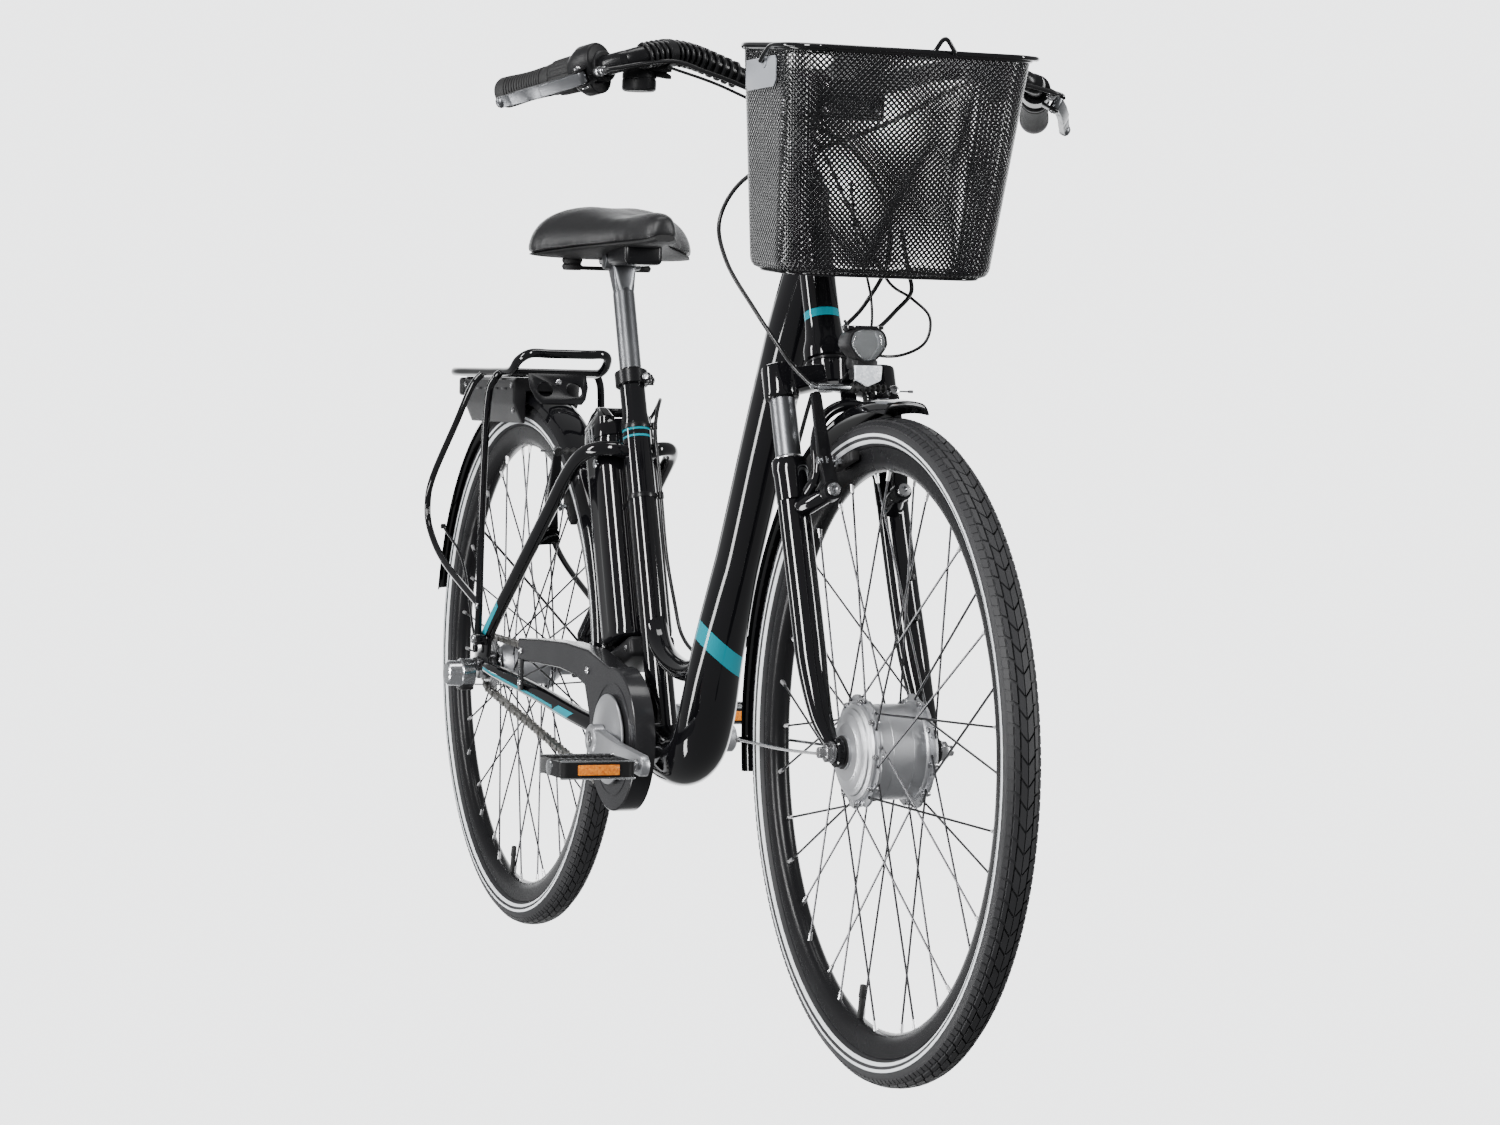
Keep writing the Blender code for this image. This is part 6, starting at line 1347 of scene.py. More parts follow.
def on_chain(along):
    """The point on the pitch line a distance along it, and the outward angle there."""
    along %= CHAIN_LENGTH
    if along < RUN:
        return (off_axle(BB, RING_R, TOP_NORMAL).lerp(off_axle(REAR_AXLE, SPROCKET_R, TOP_NORMAL),
            along / RUN), TOP_NORMAL)
    along -= RUN
    if along < SPROCKET_ARC:
        angle = TOP_NORMAL + along / SPROCKET_R
        return off_axle(REAR_AXLE, SPROCKET_R, angle), angle
    along -= SPROCKET_ARC
    if along < RUN:
        return (off_axle(REAR_AXLE, SPROCKET_R, LOW_NORMAL).lerp(off_axle(BB, RING_R, LOW_NORMAL),
            along / RUN), LOW_NORMAL)
    angle = LOW_NORMAL + (along - RUN) / RING_R
    return off_axle(BB, RING_R, angle), angle


pins = [on_chain(CHAIN_LENGTH * k / LINKS)[0] for k in range(LINKS)]
print("links", LINKS, "pitch", round(CHAIN_LENGTH / LINKS * 1000, 2), "mm")

# %% Links and rollers
LINK_HALF, LINK_WAIST, PLATE_T = 0.0042, 0.62, 0.0009
INNER_PLATE, OUTER_PLATE = 0.0032, 0.0044
ROLLER, PIN = (8, 0.0037, 0.0058), (6, 0.0016, 0.0116)
bm = bmesh.new()
for k in range(LINKS):
    start, end = pins[k], pins[(k + 1) % LINKS]
    along = (end - start).normalized()
    turned = axes_at(along, along.cross(LEFT), LEFT, start)
    pitch = (end - start).length
    outline = ([polar(LINK_HALF, math.radians(a)) for a in (60, 105, 150, 210, 255, 300)]
        + [(pitch / 2, -LINK_HALF * LINK_WAIST)] + [polar(LINK_HALF, math.radians(a), (pitch, 0.0))
        for a in (240, 285, 330, 30, 75, 120)] + [(pitch / 2, LINK_HALF * LINK_WAIST)])
    outset = INNER_PLATE if k % 2 else OUTER_PLATE
    for side in (-1, 1):
        grow(bm, [[turned @ Vector((u, v, side * height)) for u, v in outline]
            for height in (outset, outset + PLATE_T)])
    for segments, radius, depth in (ROLLER, PIN):
        bmesh.ops.create_cone(bm, cap_ends=True, segments=segments, radius1=radius, radius2=radius,
            depth=depth, matrix=place_at(start, LEFT))
piece("roller_chain", bm, chain_steel, "frame", ["chain"], 30.0)
tell()

# %% Chainring, sprocket and driver


TOOTH = [(-0.34, -0.004), (-0.24, -0.002), (-0.1, 0.003), (0.1, 0.003), (0.24, -0.002), (0.34, -0.004)]


def toothed_outline(teeth, pitch_r, first_angle):
    """A sprocket's edge: low between the teeth and a blunt tip on each."""
    step = 2 * math.pi / teeth
    return [polar(pitch_r + rise, first_angle + 2 * math.pi * (k + 0.5) / teeth + share * step)
        for k in range(teeth) for share, rise in TOOTH]


def pin_angle(axle, pin_list):
    """The angle about an axle of the pin that sits deepest in its sprocket."""
    nearest = min(pin_list, key=lambda p: abs((p - axle).length))
    return math.atan2(nearest.z - axle.z, nearest.x - axle.x)


def fan(inner, outer, middle, half_width):
    """A window between two radii, narrower toward the middle."""
    angles = [middle - half_width + 2 * half_width * i / 8 for i in range(9)]
    return ([polar(outer, angle) for angle in angles] + [polar(inner, angle)
        for angle in reversed(angles)])


ring_pins = [p for p in pins if (p - BB).x > 0.02]
sprocket_pins = [p for p in pins if (p - REAR_AXLE).x < -0.01]
ring_plane = side_plane(BB + LEFT * CHAIN_Y)
bm = bmesh.new()
windows = [fan(0.036, 0.06, math.radians(90 + 72 * k), math.radians(24)) for k in range(5)]
add_plate(bm, toothed_outline(RING_TEETH, RING_R, pin_angle(BB + LEFT * CHAIN_Y, ring_pins)), 0.0021,
    ring_plane, windows + [circle(0.024, 40)], 0.0004)
piece("chainring_cut", bm, bright_steel, "crank", ["chainring"], 26.0)
bm = bmesh.new()
add_plate(bm, toothed_outline(SPROCKET_TEETH, SPROCKET_R, pin_angle(REAR_AXLE + LEFT * CHAIN_Y,
    sprocket_pins)), 0.0021, side_plane(REAR_AXLE + LEFT * CHAIN_Y), [circle(0.0164, 32)], 0.0004)
add_turned(bm, [(0.0064, -0.0418), (0.0168, -0.0418), (0.0172, -0.0425), (0.0172, -0.056),
    (0.015, -0.0594), (0.0064, -0.0594)], REAR_AXLE, LEFT, 32, closed=True)
piece("rear_sprocket_cut", bm, bright_steel, "sprocket", ["rear_sprocket"], 26.0)
print("ring radius", round(RING_R, 4), "sprocket radius", round(SPROCKET_R, 4))
tell()

# %% [markdown]
# ## Cranks and pedals
# Each crank is a forged, tapering arm with a round eye at both ends. On the right a dished alloy
# disc covers the chainring. The pedals are moulded cages with raised tread bars, a metal trim
# and amber reflectors front and back.

# %% Crank arms
DROP = Vector((math.cos(CRANK_DROP), 0.0, -math.sin(CRANK_DROP)))
SIDES = {"right": (-1, DROP, 0.088), "left": (1, -DROP, 0.08)}
DISH = [(0.0, 0.056), (0.029, 0.056), (0.03, 0.06), (0.03, 0.069), (0.032, 0.07), (0.054, 0.0713),
    (0.0545, 0.073), (0.054, 0.0745), (0.04, 0.0765), (0.028, 0.08), (0.0, 0.08)]
for word, (side, along, y) in SIDES.items():
    bm = bmesh.new()
    far = BB + along * CRANK
    hub_r, hub_half = (0.0185, 0.0085) if word == "right" else (0.0172, 0.0085)
    near_at, far_at = BB + LEFT * side * y, far + LEFT * side * y
    waist = near_at.lerp(far_at, 0.42)
    add_turned(bm, [(0, -hub_half), (hub_r - 0.002, -hub_half), (hub_r, -hub_half + 0.002),
        (hub_r, hub_half - 0.0025), (hub_r - 0.0025, hub_half), (0.01, hub_half),
        (0.0092, hub_half - 0.0018), (0, hub_half - 0.0018)], near_at, LEFT * side, 40)
    add_hull(bm, [(near_at, LEFT, 0.015, 0.0068), (waist, LEFT, 0.0112, 0.0056)], 0.0022)
    add_hull(bm, [(waist, LEFT, 0.0112, 0.0056), (far_at, LEFT, 0.0125, 0.0056)], 0.0022)
    if word == "right":
        add_turned(bm, DISH, BB, -LEFT, 64, closed=True)
        add_turned(bm, [(0.0085, 0.039), (0.0226, 0.039), (0.023, 0.0396), (0.023, 0.059),
            (0.0085, 0.059)], BB, -LEFT, 40, closed=True)
    add_rod(bm, BB + LEFT * side * 0.036, near_at, 0.0085, sides=24)
    piece(word + "_crank_forged", bm, cast_alloy, "crank", [word + "_crank"], 30.0)
    bm = bmesh.new()
    add_turned(bm, [(0, 0.0066), (0.004, 0.0066), (0.0046, 0.009), (0.0084, 0.0086), (0.0094, 0.0072),
        (0, 0.0064)], near_at, LEFT * side, 24)
    add_rod(bm, far_at, BB + along * CRANK + LEFT * side * 0.19, 0.0045, sides=20, edge=0.0006)
    add_pin(bm, far_at, LEFT * side, 0.0058, 0.011, 0.0078, 6, 0.0006)
    piece(word + "_crank_axle", bm, bright_steel, "crank")
tell()

# %% Pedals
PEDAL_Y, CAGE_X, CAGE_Y, CAGE_CORNER = 0.156, 0.0412, 0.0462, 0.01
for word, (side, along, _) in SIDES.items():
    body = word + "_pedal"
    centre = BB + along * CRANK + LEFT * side * PEDAL_Y
    bm = bmesh.new()
    frame_line = [polar(CAGE_CORNER, math.radians(first + 90 * k / 4),
        (sx * (CAGE_X - CAGE_CORNER), sy * (CAGE_Y - CAGE_CORNER)))
        for sx, sy, first in ((1, 1, 0), (-1, 1, 90), (-1, -1, 180), (1, -1, 270)) for k in range(5)]
    holes = []
    for sx in (-1, 1):
        for low, high in ((-0.04, -0.004), (0.004, 0.04)):
            x0, x1 = sorted((sx * 0.0118, sx * 0.035))
            holes.append([(x0, low), (x1, low), (x1, high), (x0, high)])
    add_plate(bm, frame_line, 0.018, Matrix.Translation(centre), holes, 0.0022)
    for x in (-0.023, 0.023):
        for up in (-1, 1):
            for k in range(9):
                add_box(bm, centre + Vector((x, -0.036 + 0.009 * k, up * 0.0096)),
                    (0.026, 0.0046, 0.0036), None, 0.0008)
    add_pin(bm, centre, LEFT, -0.044, 0.044, 0.0098, 24, 0.001)
    piece(word + "_pedal_cage", bm, moulded_plastic, body, [body], 34.0)
    bm = bmesh.new()
    for x in (-0.039, 0.039):
        for up in (-1, 1):
            add_box(bm, centre + Vector((x, 0, up * 0.0098)), (0.0046, 0.09, 0.0022), None, 0.0006)
    add_turned(bm, [(0, 0.0438), (0.0092, 0.0438), (0.0098, 0.0446), (0.009, 0.047), (0, 0.0475)], centre,
        LEFT * side, 24)
    piece(word + "_pedal_trim", bm, bright_alloy, body)
    bm = bmesh.new()
    for x in (-1, 1):
        add_box(bm, centre + Vector((x * 0.0425, 0, 0)), (0.0034, 0.05, 0.012), None, 0.001)
    piece(word + "_pedal_reflectors", bm, amber_prism, body)
tell()

# %% [markdown]
# ## Chain guard
# The guard is a smoky moulded cover: a long arm over the chain that curves into a big disc round
# the chainring, open on the inside. Its face, rim and rolled edge are one thin shell. A flat
# plate is cut with the guard's outline, its rim is drawn inward, and a strap and three screws
# hold it.

# %% Chain guard shell
GUARD_FACE, GUARD_BACK, GUARD_WALL, DISC_R = -0.068, -0.043, 0.0022, 0.087
EYE_R = 0.0332


def guard_line(inset):
    """The guard's edge in the side view, drawn in by inset."""
    disc = [polar(DISC_R - inset, math.radians(100 - 292 * k / 56), (BB_X, BB_Z)) for k in range(57)]
    low = [(0.44, 0.356 + inset), (0.4, 0.366 + inset), (0.34, 0.37 + inset), (0.25, 0.369 + inset),
        (0.168 + inset, 0.366 + inset)]
    top = [(0.168 + inset, 0.396 - inset), (0.26, 0.401 - inset), (0.36, 0.404 - inset),
        (0.45, 0.401 - inset)]
    return disc + low + top


def guard_loop(inset, y):
    """The guard's edge as points in the bike's own frame."""
    return [at(x, y, z) for x, z in guard_line(inset)]


bm = bmesh.new()
add_plate(bm, guard_line(0.0016), GUARD_WALL, side_plane(at(0, GUARD_FACE + GUARD_WALL / 2, 0)),
    [circle(EYE_R, 56, (BB_X, BB_Z))], 0.0)
wall = [guard_loop(0.0016, GUARD_FACE), guard_loop(0.0004, GUARD_FACE + 0.0008),
    guard_loop(0.0, GUARD_FACE + 0.0024), guard_loop(0.0, GUARD_BACK), guard_loop(GUARD_WALL, GUARD_BACK),
    guard_loop(GUARD_WALL, GUARD_FACE)]
grow(bm, wall + [wall[0]], capped=False)
add_turned(bm, [(EYE_R - 0.0002, 0.0676), (EYE_R + 0.003, 0.0676), (EYE_R + 0.0034, 0.0686),
    (EYE_R + 0.0016, 0.0696), (EYE_R - 0.0002, 0.0688)], BB, -LEFT, 56, closed=True)
add_turned(bm, [(0.066, 0.0676), (0.069, 0.0676), (0.0684, 0.0688), (0.0666, 0.0688)], BB, -LEFT, 72,
    closed=True)
piece("chain_guard_shell", bm, smoked_plastic, "frame", ["chain_guard"], 26.0)
bm = bmesh.new()
for x, z in ((0.182, 0.381), (0.452, 0.376), (0.184, 0.34)):
    add_bolt(bm, at(x, GUARD_FACE if z > 0.35 else -0.0694, z), -LEFT, 0.005, 0.0026)
piece("chain_guard_screws", bm, bright_steel, "frame")
bm = bmesh.new()
add_box(bm, at(0.184, -0.0684, 0.35), (0.02, 0.002, 0.04), None, 0.0007)
piece("chain_guard_strap", bm, satin_enamel, "frame")
tell()

# %% [markdown]
# ## Suspension fork
# Two polished tubes hang from a forged crown and slide in the black lower legs. The lowers are
# one casting: two tapering legs and an arch over the tyre that keeps them in line. The crown's
# two beams end in round sockets, closed by flat caps. Turned profiles make every round part,
# and hulls make the forged bridges between them.

# %% Crown, steerer and stanchions
bm = bmesh.new()
add_turned(bm, [(0, -0.0785), (0.0195, -0.0785), (0.0215, -0.0765), (0.0222, -0.06), (0.0236, -0.0545),
    (0.0236, -0.0528), (0.015, -0.0525), (0, -0.0525)], steer(0, 0, 0), STEER_UP, 48, toward=STEER_FORE)
for side in (-1, 1):
    leg_at = steer(0, 0, side * LEG_Y)
    add_hull(bm, [(steer(-0.068, 0, side * 0.012), STEER_UP, 0.0185, 0.009),
        (steer(-0.074, 0, side * 0.049), STEER_UP, 0.015, 0.012)], 0.004, 3)
    add_turned(bm, [(0, -0.095), (0.0142, -0.095), (0.018, -0.0942), (0.019, -0.0925), (0.0192, -0.089),
        (0.0192, -0.061), (0.0186, -0.058), (0.0165, -0.0568), (0.0158, -0.0578), (0, -0.0578)], leg_at,
        STEER_UP, 48, toward=STEER_FORE)
piece("fork_crown_forged", bm, black_lacquer, "steering", ["fork_crown"], 30.0)
bm = bmesh.new()
add_turned(bm, [(0, -0.0525), (0.0143, -0.0525), (0.0143, 0.1498), (0, 0.1498)], steer(0, 0, 0), STEER_UP,
    32, toward=STEER_FORE)
for side in (-1, 1):
    add_turned(bm, [(0, -0.36), (0.014, -0.36), (0.014, -0.0948), (0, -0.0948)],
        steer(0, 0, side * LEG_Y), STEER_UP, 32, toward=STEER_FORE)
piece("fork_tubes", bm, dark_alloy, "steering")
tell()

# %% Lower legs, arch and dropouts
bm = bmesh.new()
LEG = [(0.0149, -0.164), (0.0186, -0.164), (0.0192, -0.165), (0.0192, -0.177), (0.0182, -0.182),
    (0.0178, -0.21), (0.0149, -0.21)]
LEG_WAY = [(-0.19, 0.0, 0.0575), (-0.25, 0.0, 0.0575), (-0.33, 0.002, 0.0578), (-0.4, 0.006, 0.059),
    (-0.45, 0.015, 0.0592), (-0.475, 0.0255, 0.0582), (-0.488, 0.0325, 0.0572)]
ARCH = [(-0.195, 0.0505, 0.0485), (-0.16, 0.049, 0.045), (-0.133, 0.047, 0.034), (-0.1175, 0.0455, 0.012)]
ARCH_FOOT = (-0.208, 0.03, 0.052)
FORK_FRAME = Matrix((STEER_FORE, LEFT, STEER_UP)).transposed()


def leg_girth(share):
    """How thick the leg is along its way: it narrows to the axle."""
    return 1.0 - 0.06 * share - 0.62 * max(share - 0.45, 0.0) / 0.55


arch_side = [ARCH_FOOT] + ARCH
arch_all = ([steer(*p) for p in arch_side] + [steer(s, fore, -y) for s, fore, y in reversed(arch_side)])
for side in (-1, 1):
    add_turned(bm, LEG, steer(0, 0, side * LEG_Y), STEER_UP, 40, closed=True, toward=STEER_FORE)
    eye = FRONT_AXLE + LEFT * side * 0.0545
    add_turned(bm, [(0.0061, -0.004), (0.0145, -0.004), (0.016, -0.003), (0.016, 0.003), (0.0145, 0.004),
        (0.0061, 0.004)], eye, LEFT, 36, closed=True)
    way = smooth_route([steer(s, fore, side * y) for s, fore, y in LEG_WAY], 6)
    add_tube(bm, way, 0.0178, 32, taper=leg_girth, across=0.8, toward=STEER_FORE)
    boss = steer(PIVOT_S, 0, side * PIVOT_Y)
    add_hull(bm, [(steer(PIVOT_S, 0.004, side * 0.053), STEER_FORE, 0.012, 0.006),
        (boss + STEER_FORE * 0.048, STEER_FORE, 0.0078, 0.004)], 0.002)
    add_pin(bm, boss, STEER_FORE, 0.05, 0.07, 0.005)
add_tube(bm, smooth_route(arch_all, 5), 0.0062, 18, across=1.25, toward=STEER_FORE)
add_box(bm, steer(-0.101, 0.046, 0), (0.0044, 0.018, 0.03), FORK_FRAME, 0.0014)
add_box(bm, steer(-0.088, 0.07, 0), (0.048, 0.016, 0.0038), FORK_FRAME, 0.0014)
piece("fork_lowers_cast", bm, black_lacquer, "fork_lowers", ["fork_lowers"], 32.0)
bm = bmesh.new()
for side in (-1, 1):
    boss = steer(PIVOT_S, 0.069, side * PIVOT_Y)
    add_turned(bm, [(0, 0.002), (0.003, 0.002), (0.0034, 0.0052), (0.0066, 0.0048), (0.0075, 0.0034),
        (0.0075, 0.001), (0, 0.001)], boss, STEER_FORE, 20)
    add_turned(bm, [(0.0142, -0.1647), (0.0172, -0.1647), (0.0172, -0.1625), (0.015, -0.1603),
        (0.0142, -0.1607)], steer(0, 0, side * LEG_Y), STEER_UP, 32, closed=True, toward=STEER_FORE)
piece("fork_seals_bolts", bm, bright_steel, "fork_lowers")
bm = bmesh.new()
add_pin(bm, FRONT_AXLE, LEFT, -0.0765, 0.0765, 0.0059, 20, 0.0008)
for side in (-1, 1):
    add_pin(bm, FRONT_AXLE, LEFT * side, 0.0588, 0.0606, 0.0112, 24, 0.0005)
    add_nut(bm, FRONT_AXLE + LEFT * side * 0.0604, LEFT * side, 0.0104, 0.009)
piece("front_axle_nuts", bm, bright_steel, "fork_lowers", ["front_axle"], 30.0)
bm = bmesh.new()
for side in (-1, 1):
    add_turned(bm, [(0.009, 0.0486), (0.017, 0.0486), (0.0176, 0.0492), (0.0176, 0.0502),
        (0.009, 0.0504)], FRONT_AXLE, LEFT * side, 32, closed=True)
piece("motor_seals", bm, soft_rubber, "front_wheel")
tell()

# %% Front brake arms
make_brake_arms("front", FRONT_AXLE, FRONT_PIVOT, STEER_UP, STEER_FORE, ARM_PLANE, 0.034)
tell()

# %% [markdown]
# ## Front lamp
# The headlamp is a hooded shell with a shield-shaped clear lens, a bright faceted mirror behind
# it and a prismatic reflector below, so the bike is seen in the dark. A tongue on the fork's
# arch carries it. Stations of a rounded outline are joined into the shell, and the mirror is a
# fan of small flat facets.

# %% Lamp shell, mirror, lens and reflector
LAMP_AT = at(1.148, -0.0095, 0.7745)
LAMP_WIDE, LAMP_TALL = 0.86, 0.84


def eased(value, power):
    """A value raised to a power, with its sign kept: below 1 it makes an outline squarer."""
    return math.copysign(abs(value) ** power, value)


def shield(x, half_width, half_height, sides=36):
    """A lamp outline at x: round on top and pointed below."""
    points = []
    for c, s in circle(1.0, sides):
        low = max(0.0, -s)
        width = half_width * LAMP_WIDE * (1.0 - 0.3 * low)
        height = half_height * LAMP_TALL * (1.0 + 0.12 * low)
        squared = eased(c, 0.45 if low == 0 else 0.9)
        points.append(LAMP_AT + Vector((x, width * squared, height * s)))
    return points


bm = bmesh.new()
grow(bm, [shield(-0.03, 0.006, 0.005), shield(-0.0285, 0.011, 0.009), shield(-0.02, 0.018, 0.015),
    shield(-0.006, 0.0226, 0.0186), shield(0.015, 0.0248, 0.0204), shield(0.025, 0.0254, 0.021),
    shield(0.0268, 0.025, 0.0206), shield(0.0268, 0.0228, 0.0186), shield(0.014, 0.0205, 0.0166)])
add_box(bm, LAMP_AT + Vector((-0.004, 0, -0.0195)), (0.02, 0.018, 0.013), None, 0.003)
piece("lamp_shell", bm, moulded_plastic, "fork_lowers", ["front_lamp"], 40.0)
bm = bmesh.new()
add_hull(bm, [(LAMP_AT + Vector((-0.018, 0, 0.015)), UP, 0.009, 0.003),
    (LAMP_AT + Vector((0.012, -0.006, 0.018)), UP, 0.016, 0.0018),
    (LAMP_AT + Vector((0.012, 0.006, 0.018)), UP, 0.016, 0.0018)], 0.001)
piece("lamp_hood", bm, black_lacquer, "fork_lowers")
bm = bmesh.new()
bowl = [(0.006, 0.004, 0.0035), (0.0085, 0.011, 0.009), (0.015, 0.0175, 0.0142), (0.0215, 0.0215, 0.0176)]
grow(bm, [shield(x, w, h, sides=12) for x, w, h in bowl]
    + [shield(x - 0.0008, w, h, sides=12) for x, w, h in reversed(bowl)])
piece("lamp_mirror_bowl", bm, lamp_mirror, "fork_lowers", (), 4.0)
bm = bmesh.new()
grow(bm, [shield(0.0222, 0.0224, 0.0182), shield(0.0262, 0.0228, 0.0186), shield(0.029, 0.02, 0.0162),
    shield(0.0302, 0.013, 0.0105), shield(0.0306, 0.004, 0.0034)])
piece("lamp_glass", bm, clear_lens, "fork_lowers", ["lamp_lens"], 50.0)
bm = bmesh.new()
penta = [(-0.0155, 0.0095), (0.0155, 0.0095), (0.0145, -0.006), (0.0, -0.0125), (-0.0145, -0.006)]
face_on = Matrix(((0, 0, 1, LAMP_AT.x + 0.027), (1, 0, 0, LAMP_AT.y), (0, 1, 0, LAMP_AT.z - 0.0315),
    (0, 0, 0, 1)))
add_plate(bm, penta, 0.005, face_on, (), 0.001)
piece("lamp_reflector", bm, clear_prism, "fork_lowers")
bm = bmesh.new()
add_box(bm, LAMP_AT + Vector((0.018, 0, -0.024)), (0.016, 0.024, 0.016), None, 0.002)
add_box(bm, LAMP_AT + Vector((-0.002, 0.003, -0.029)), (0.02, 0.018, 0.016), None, 0.002)
add_bolt(bm, LAMP_AT + Vector((0.0, 0.01, -0.02)), LEFT, 0.0038, 0.0026)
piece("lamp_neck", bm, moulded_plastic, "fork_lowers")
tell()

# %% [markdown]
# ## Handlebar and stem
# The bar sweeps up and back to the grips, and a tall stem clamps it above the head tube. The
# stem's column is turned, and its clamp is a barrel with a bolted front cap. The grips' and
# levers' places follow from one frame at each end of the bar.

# %% Stem and bar
BAR_LINE = [(0.974, 0.0, 1.06), (0.974, 0.04, 1.06), (0.974, 0.075, 1.062), (0.981, 0.11, 1.072),
    (0.994, 0.145, 1.081), (1.012, 0.175, 1.083), (1.028, 0.2, 1.08), (1.0355, 0.22, 1.0755),
    (1.033, 0.236, 1.0705)]
GRIP_END, GRIP_INNER = (0.868, 0.32, 1.042), (0.98, 0.268, 1.06)
LEVER_TIP = (0.915, 0.337, 1.029)
STRAIGHT = 0.17


def route_length(route):
    """The length along a route."""
    return sum((after - before).length for before, after in zip(route, route[1:]))


def across_bike(points):
    """The same points on the other side of the bike."""
    return [Vector((point.x, -point.y, point.z)) for point in points]


def grip_frame(side):
    """The grip's outer end, g inward along it, p toward the lever and n across both."""
    origin, inner, tip = drawn([GRIP_END, GRIP_INNER, LEVER_TIP], side)
    g = (inner - origin).normalized()
    reach = tip - origin
    p = (reach - g * reach.dot(g)).normalized()
    return origin, g, p, g.cross(p)


origin, g, p, n = grip_frame(1)
left_half = drawn(BAR_LINE) + [origin + g * STRAIGHT, origin + g * 0.006]
bar_route = smooth_route(across_bike(reversed(left_half)) + left_half[1:], 5)
bm = bmesh.new()
add_tube(bm, bar_route, BAR_R, 28, toward=UP)
piece("handlebar_bent", bm, satin_enamel, "steering", ["handlebar"], 40.0)
bm = bmesh.new()
add_turned(bm, [(0, 0.1506), (0.0186, 0.1506), (0.019, 0.1512), (0.019, 0.166), (0.018, 0.169),
    (0.014, 0.1725), (0.0125, 0.176), (0.0125, 0.233), (0, 0.233)], steer(0, 0, 0), STEER_UP, 40,
    toward=STEER_FORE)
clamp_at = at(0.974, 0, 1.06)
add_hull(bm, [(steer(0.222, 0, 0), STEER_UP, 0.0138, 0.01), (clamp_at, LEFT, 0.015, 0.015)], 0.003, 3)
add_ring(bm, BAR_R + 0.0002, 0.018, -0.021, 0.021, 0.0012, clamp_at, LEFT, 40)
cap_way = Vector((0.94, 0, 0.34)).normalized()
for side in (-1, 1):
    add_hull(bm, [(clamp_at + cap_way * 0.0165 + LEFT * side * 0.0135, cap_way, 0.0052, 0.004)], 0.001)
piece("stem_forged", bm, satin_enamel, "steering", ["stem"], 32.0)
bm = bmesh.new()
for side in (-1, 1):
    add_bolt(bm, clamp_at + cap_way * 0.0205 + LEFT * side * 0.0135, cap_way, 0.0042, 0.0034)
add_bolt(bm, steer(0.1585, 0.0186, 0), STEER_FORE, 0.004, 0.003)
piece("stem_bolts", bm, bright_steel, "steering")
print("bar length along its line", round(route_length(bar_route), 3))
tell()

# %% [markdown]
# ## Grips, levers and the twist shifter
# The grips are moulded rubber with fine grooves and a soft flange. On the right the grip is
# short, and the ribbed shifter ring turns between it and a domed housing. Each brake lever is a
# flat forged blade on a pivot, held by a bracket with a threaded barrel for the cable.

# %% Grips and shifter ring
LINES_FROM, LINE_PITCH, LINES_SPARE, LINE_DEEP = 0.014, 0.004, 0.026, 0.0009
GRIP_R, GRIP_WAIST, RIBS, RIB_STEPS, RIB_RISE = 0.0168, 0.0012, 28, 6, 0.0007
for word, side, length in (("right", -1, 0.088), ("left", 1, 0.124)):
    origin, g, p, n = grip_frame(side)
    profile = [(0.0, -0.0008), (0.012, -0.0006), (0.0158, 0.0016), (0.017, 0.005)]
    lined = length - LINES_SPARE
    for k in range(int(lined / LINE_PITCH)):
        start = LINES_FROM + LINE_PITCH * k
        body = GRIP_R - GRIP_WAIST * math.sin(math.pi * (start - LINES_FROM) / lined)
        profile += [(body, start), (body, start + 0.0026), (body - LINE_DEEP, start + 0.0029),
            (body - LINE_DEEP, start + 0.0037)]
    profile += [(0.0166, length - 0.01), (0.0172, length - 0.006), (0.0172, length - 0.001),
        (0.016, length), (0.0, length)]
    bm = bmesh.new()
    add_turned(bm, profile, origin, g, 40, toward=p)
    piece(word + "_grip_moulded", bm, soft_rubber, "steering", [word + "_grip"], 30.0)
origin, g, p, n = grip_frame(-1)
bm = bmesh.new()
loops = []
for height, radius in ((0.0886, 0.0165), (0.09, 0.0182), (0.094, 0.0188), (0.115, 0.0194),
        (0.121, 0.0196), (0.123, 0.018)):
    ring = []
    for i in range(RIBS * RIB_STEPS):
        a = 2 * math.pi * i / (RIBS * RIB_STEPS)
        ribbed = RIB_RISE * max(0.0, math.cos(RIBS * a)) if 0.0895 < height < 0.1225 else 0.0
        ring.append(origin + g * height + (p * math.cos(a) + n * math.sin(a)) * (radius + ribbed))
    loops.append(ring)
grow(bm, loops)
piece("twist_shifter_ring", bm, soft_rubber, "twist_shifter", ["twist_shifter"], 60.0)
tell()

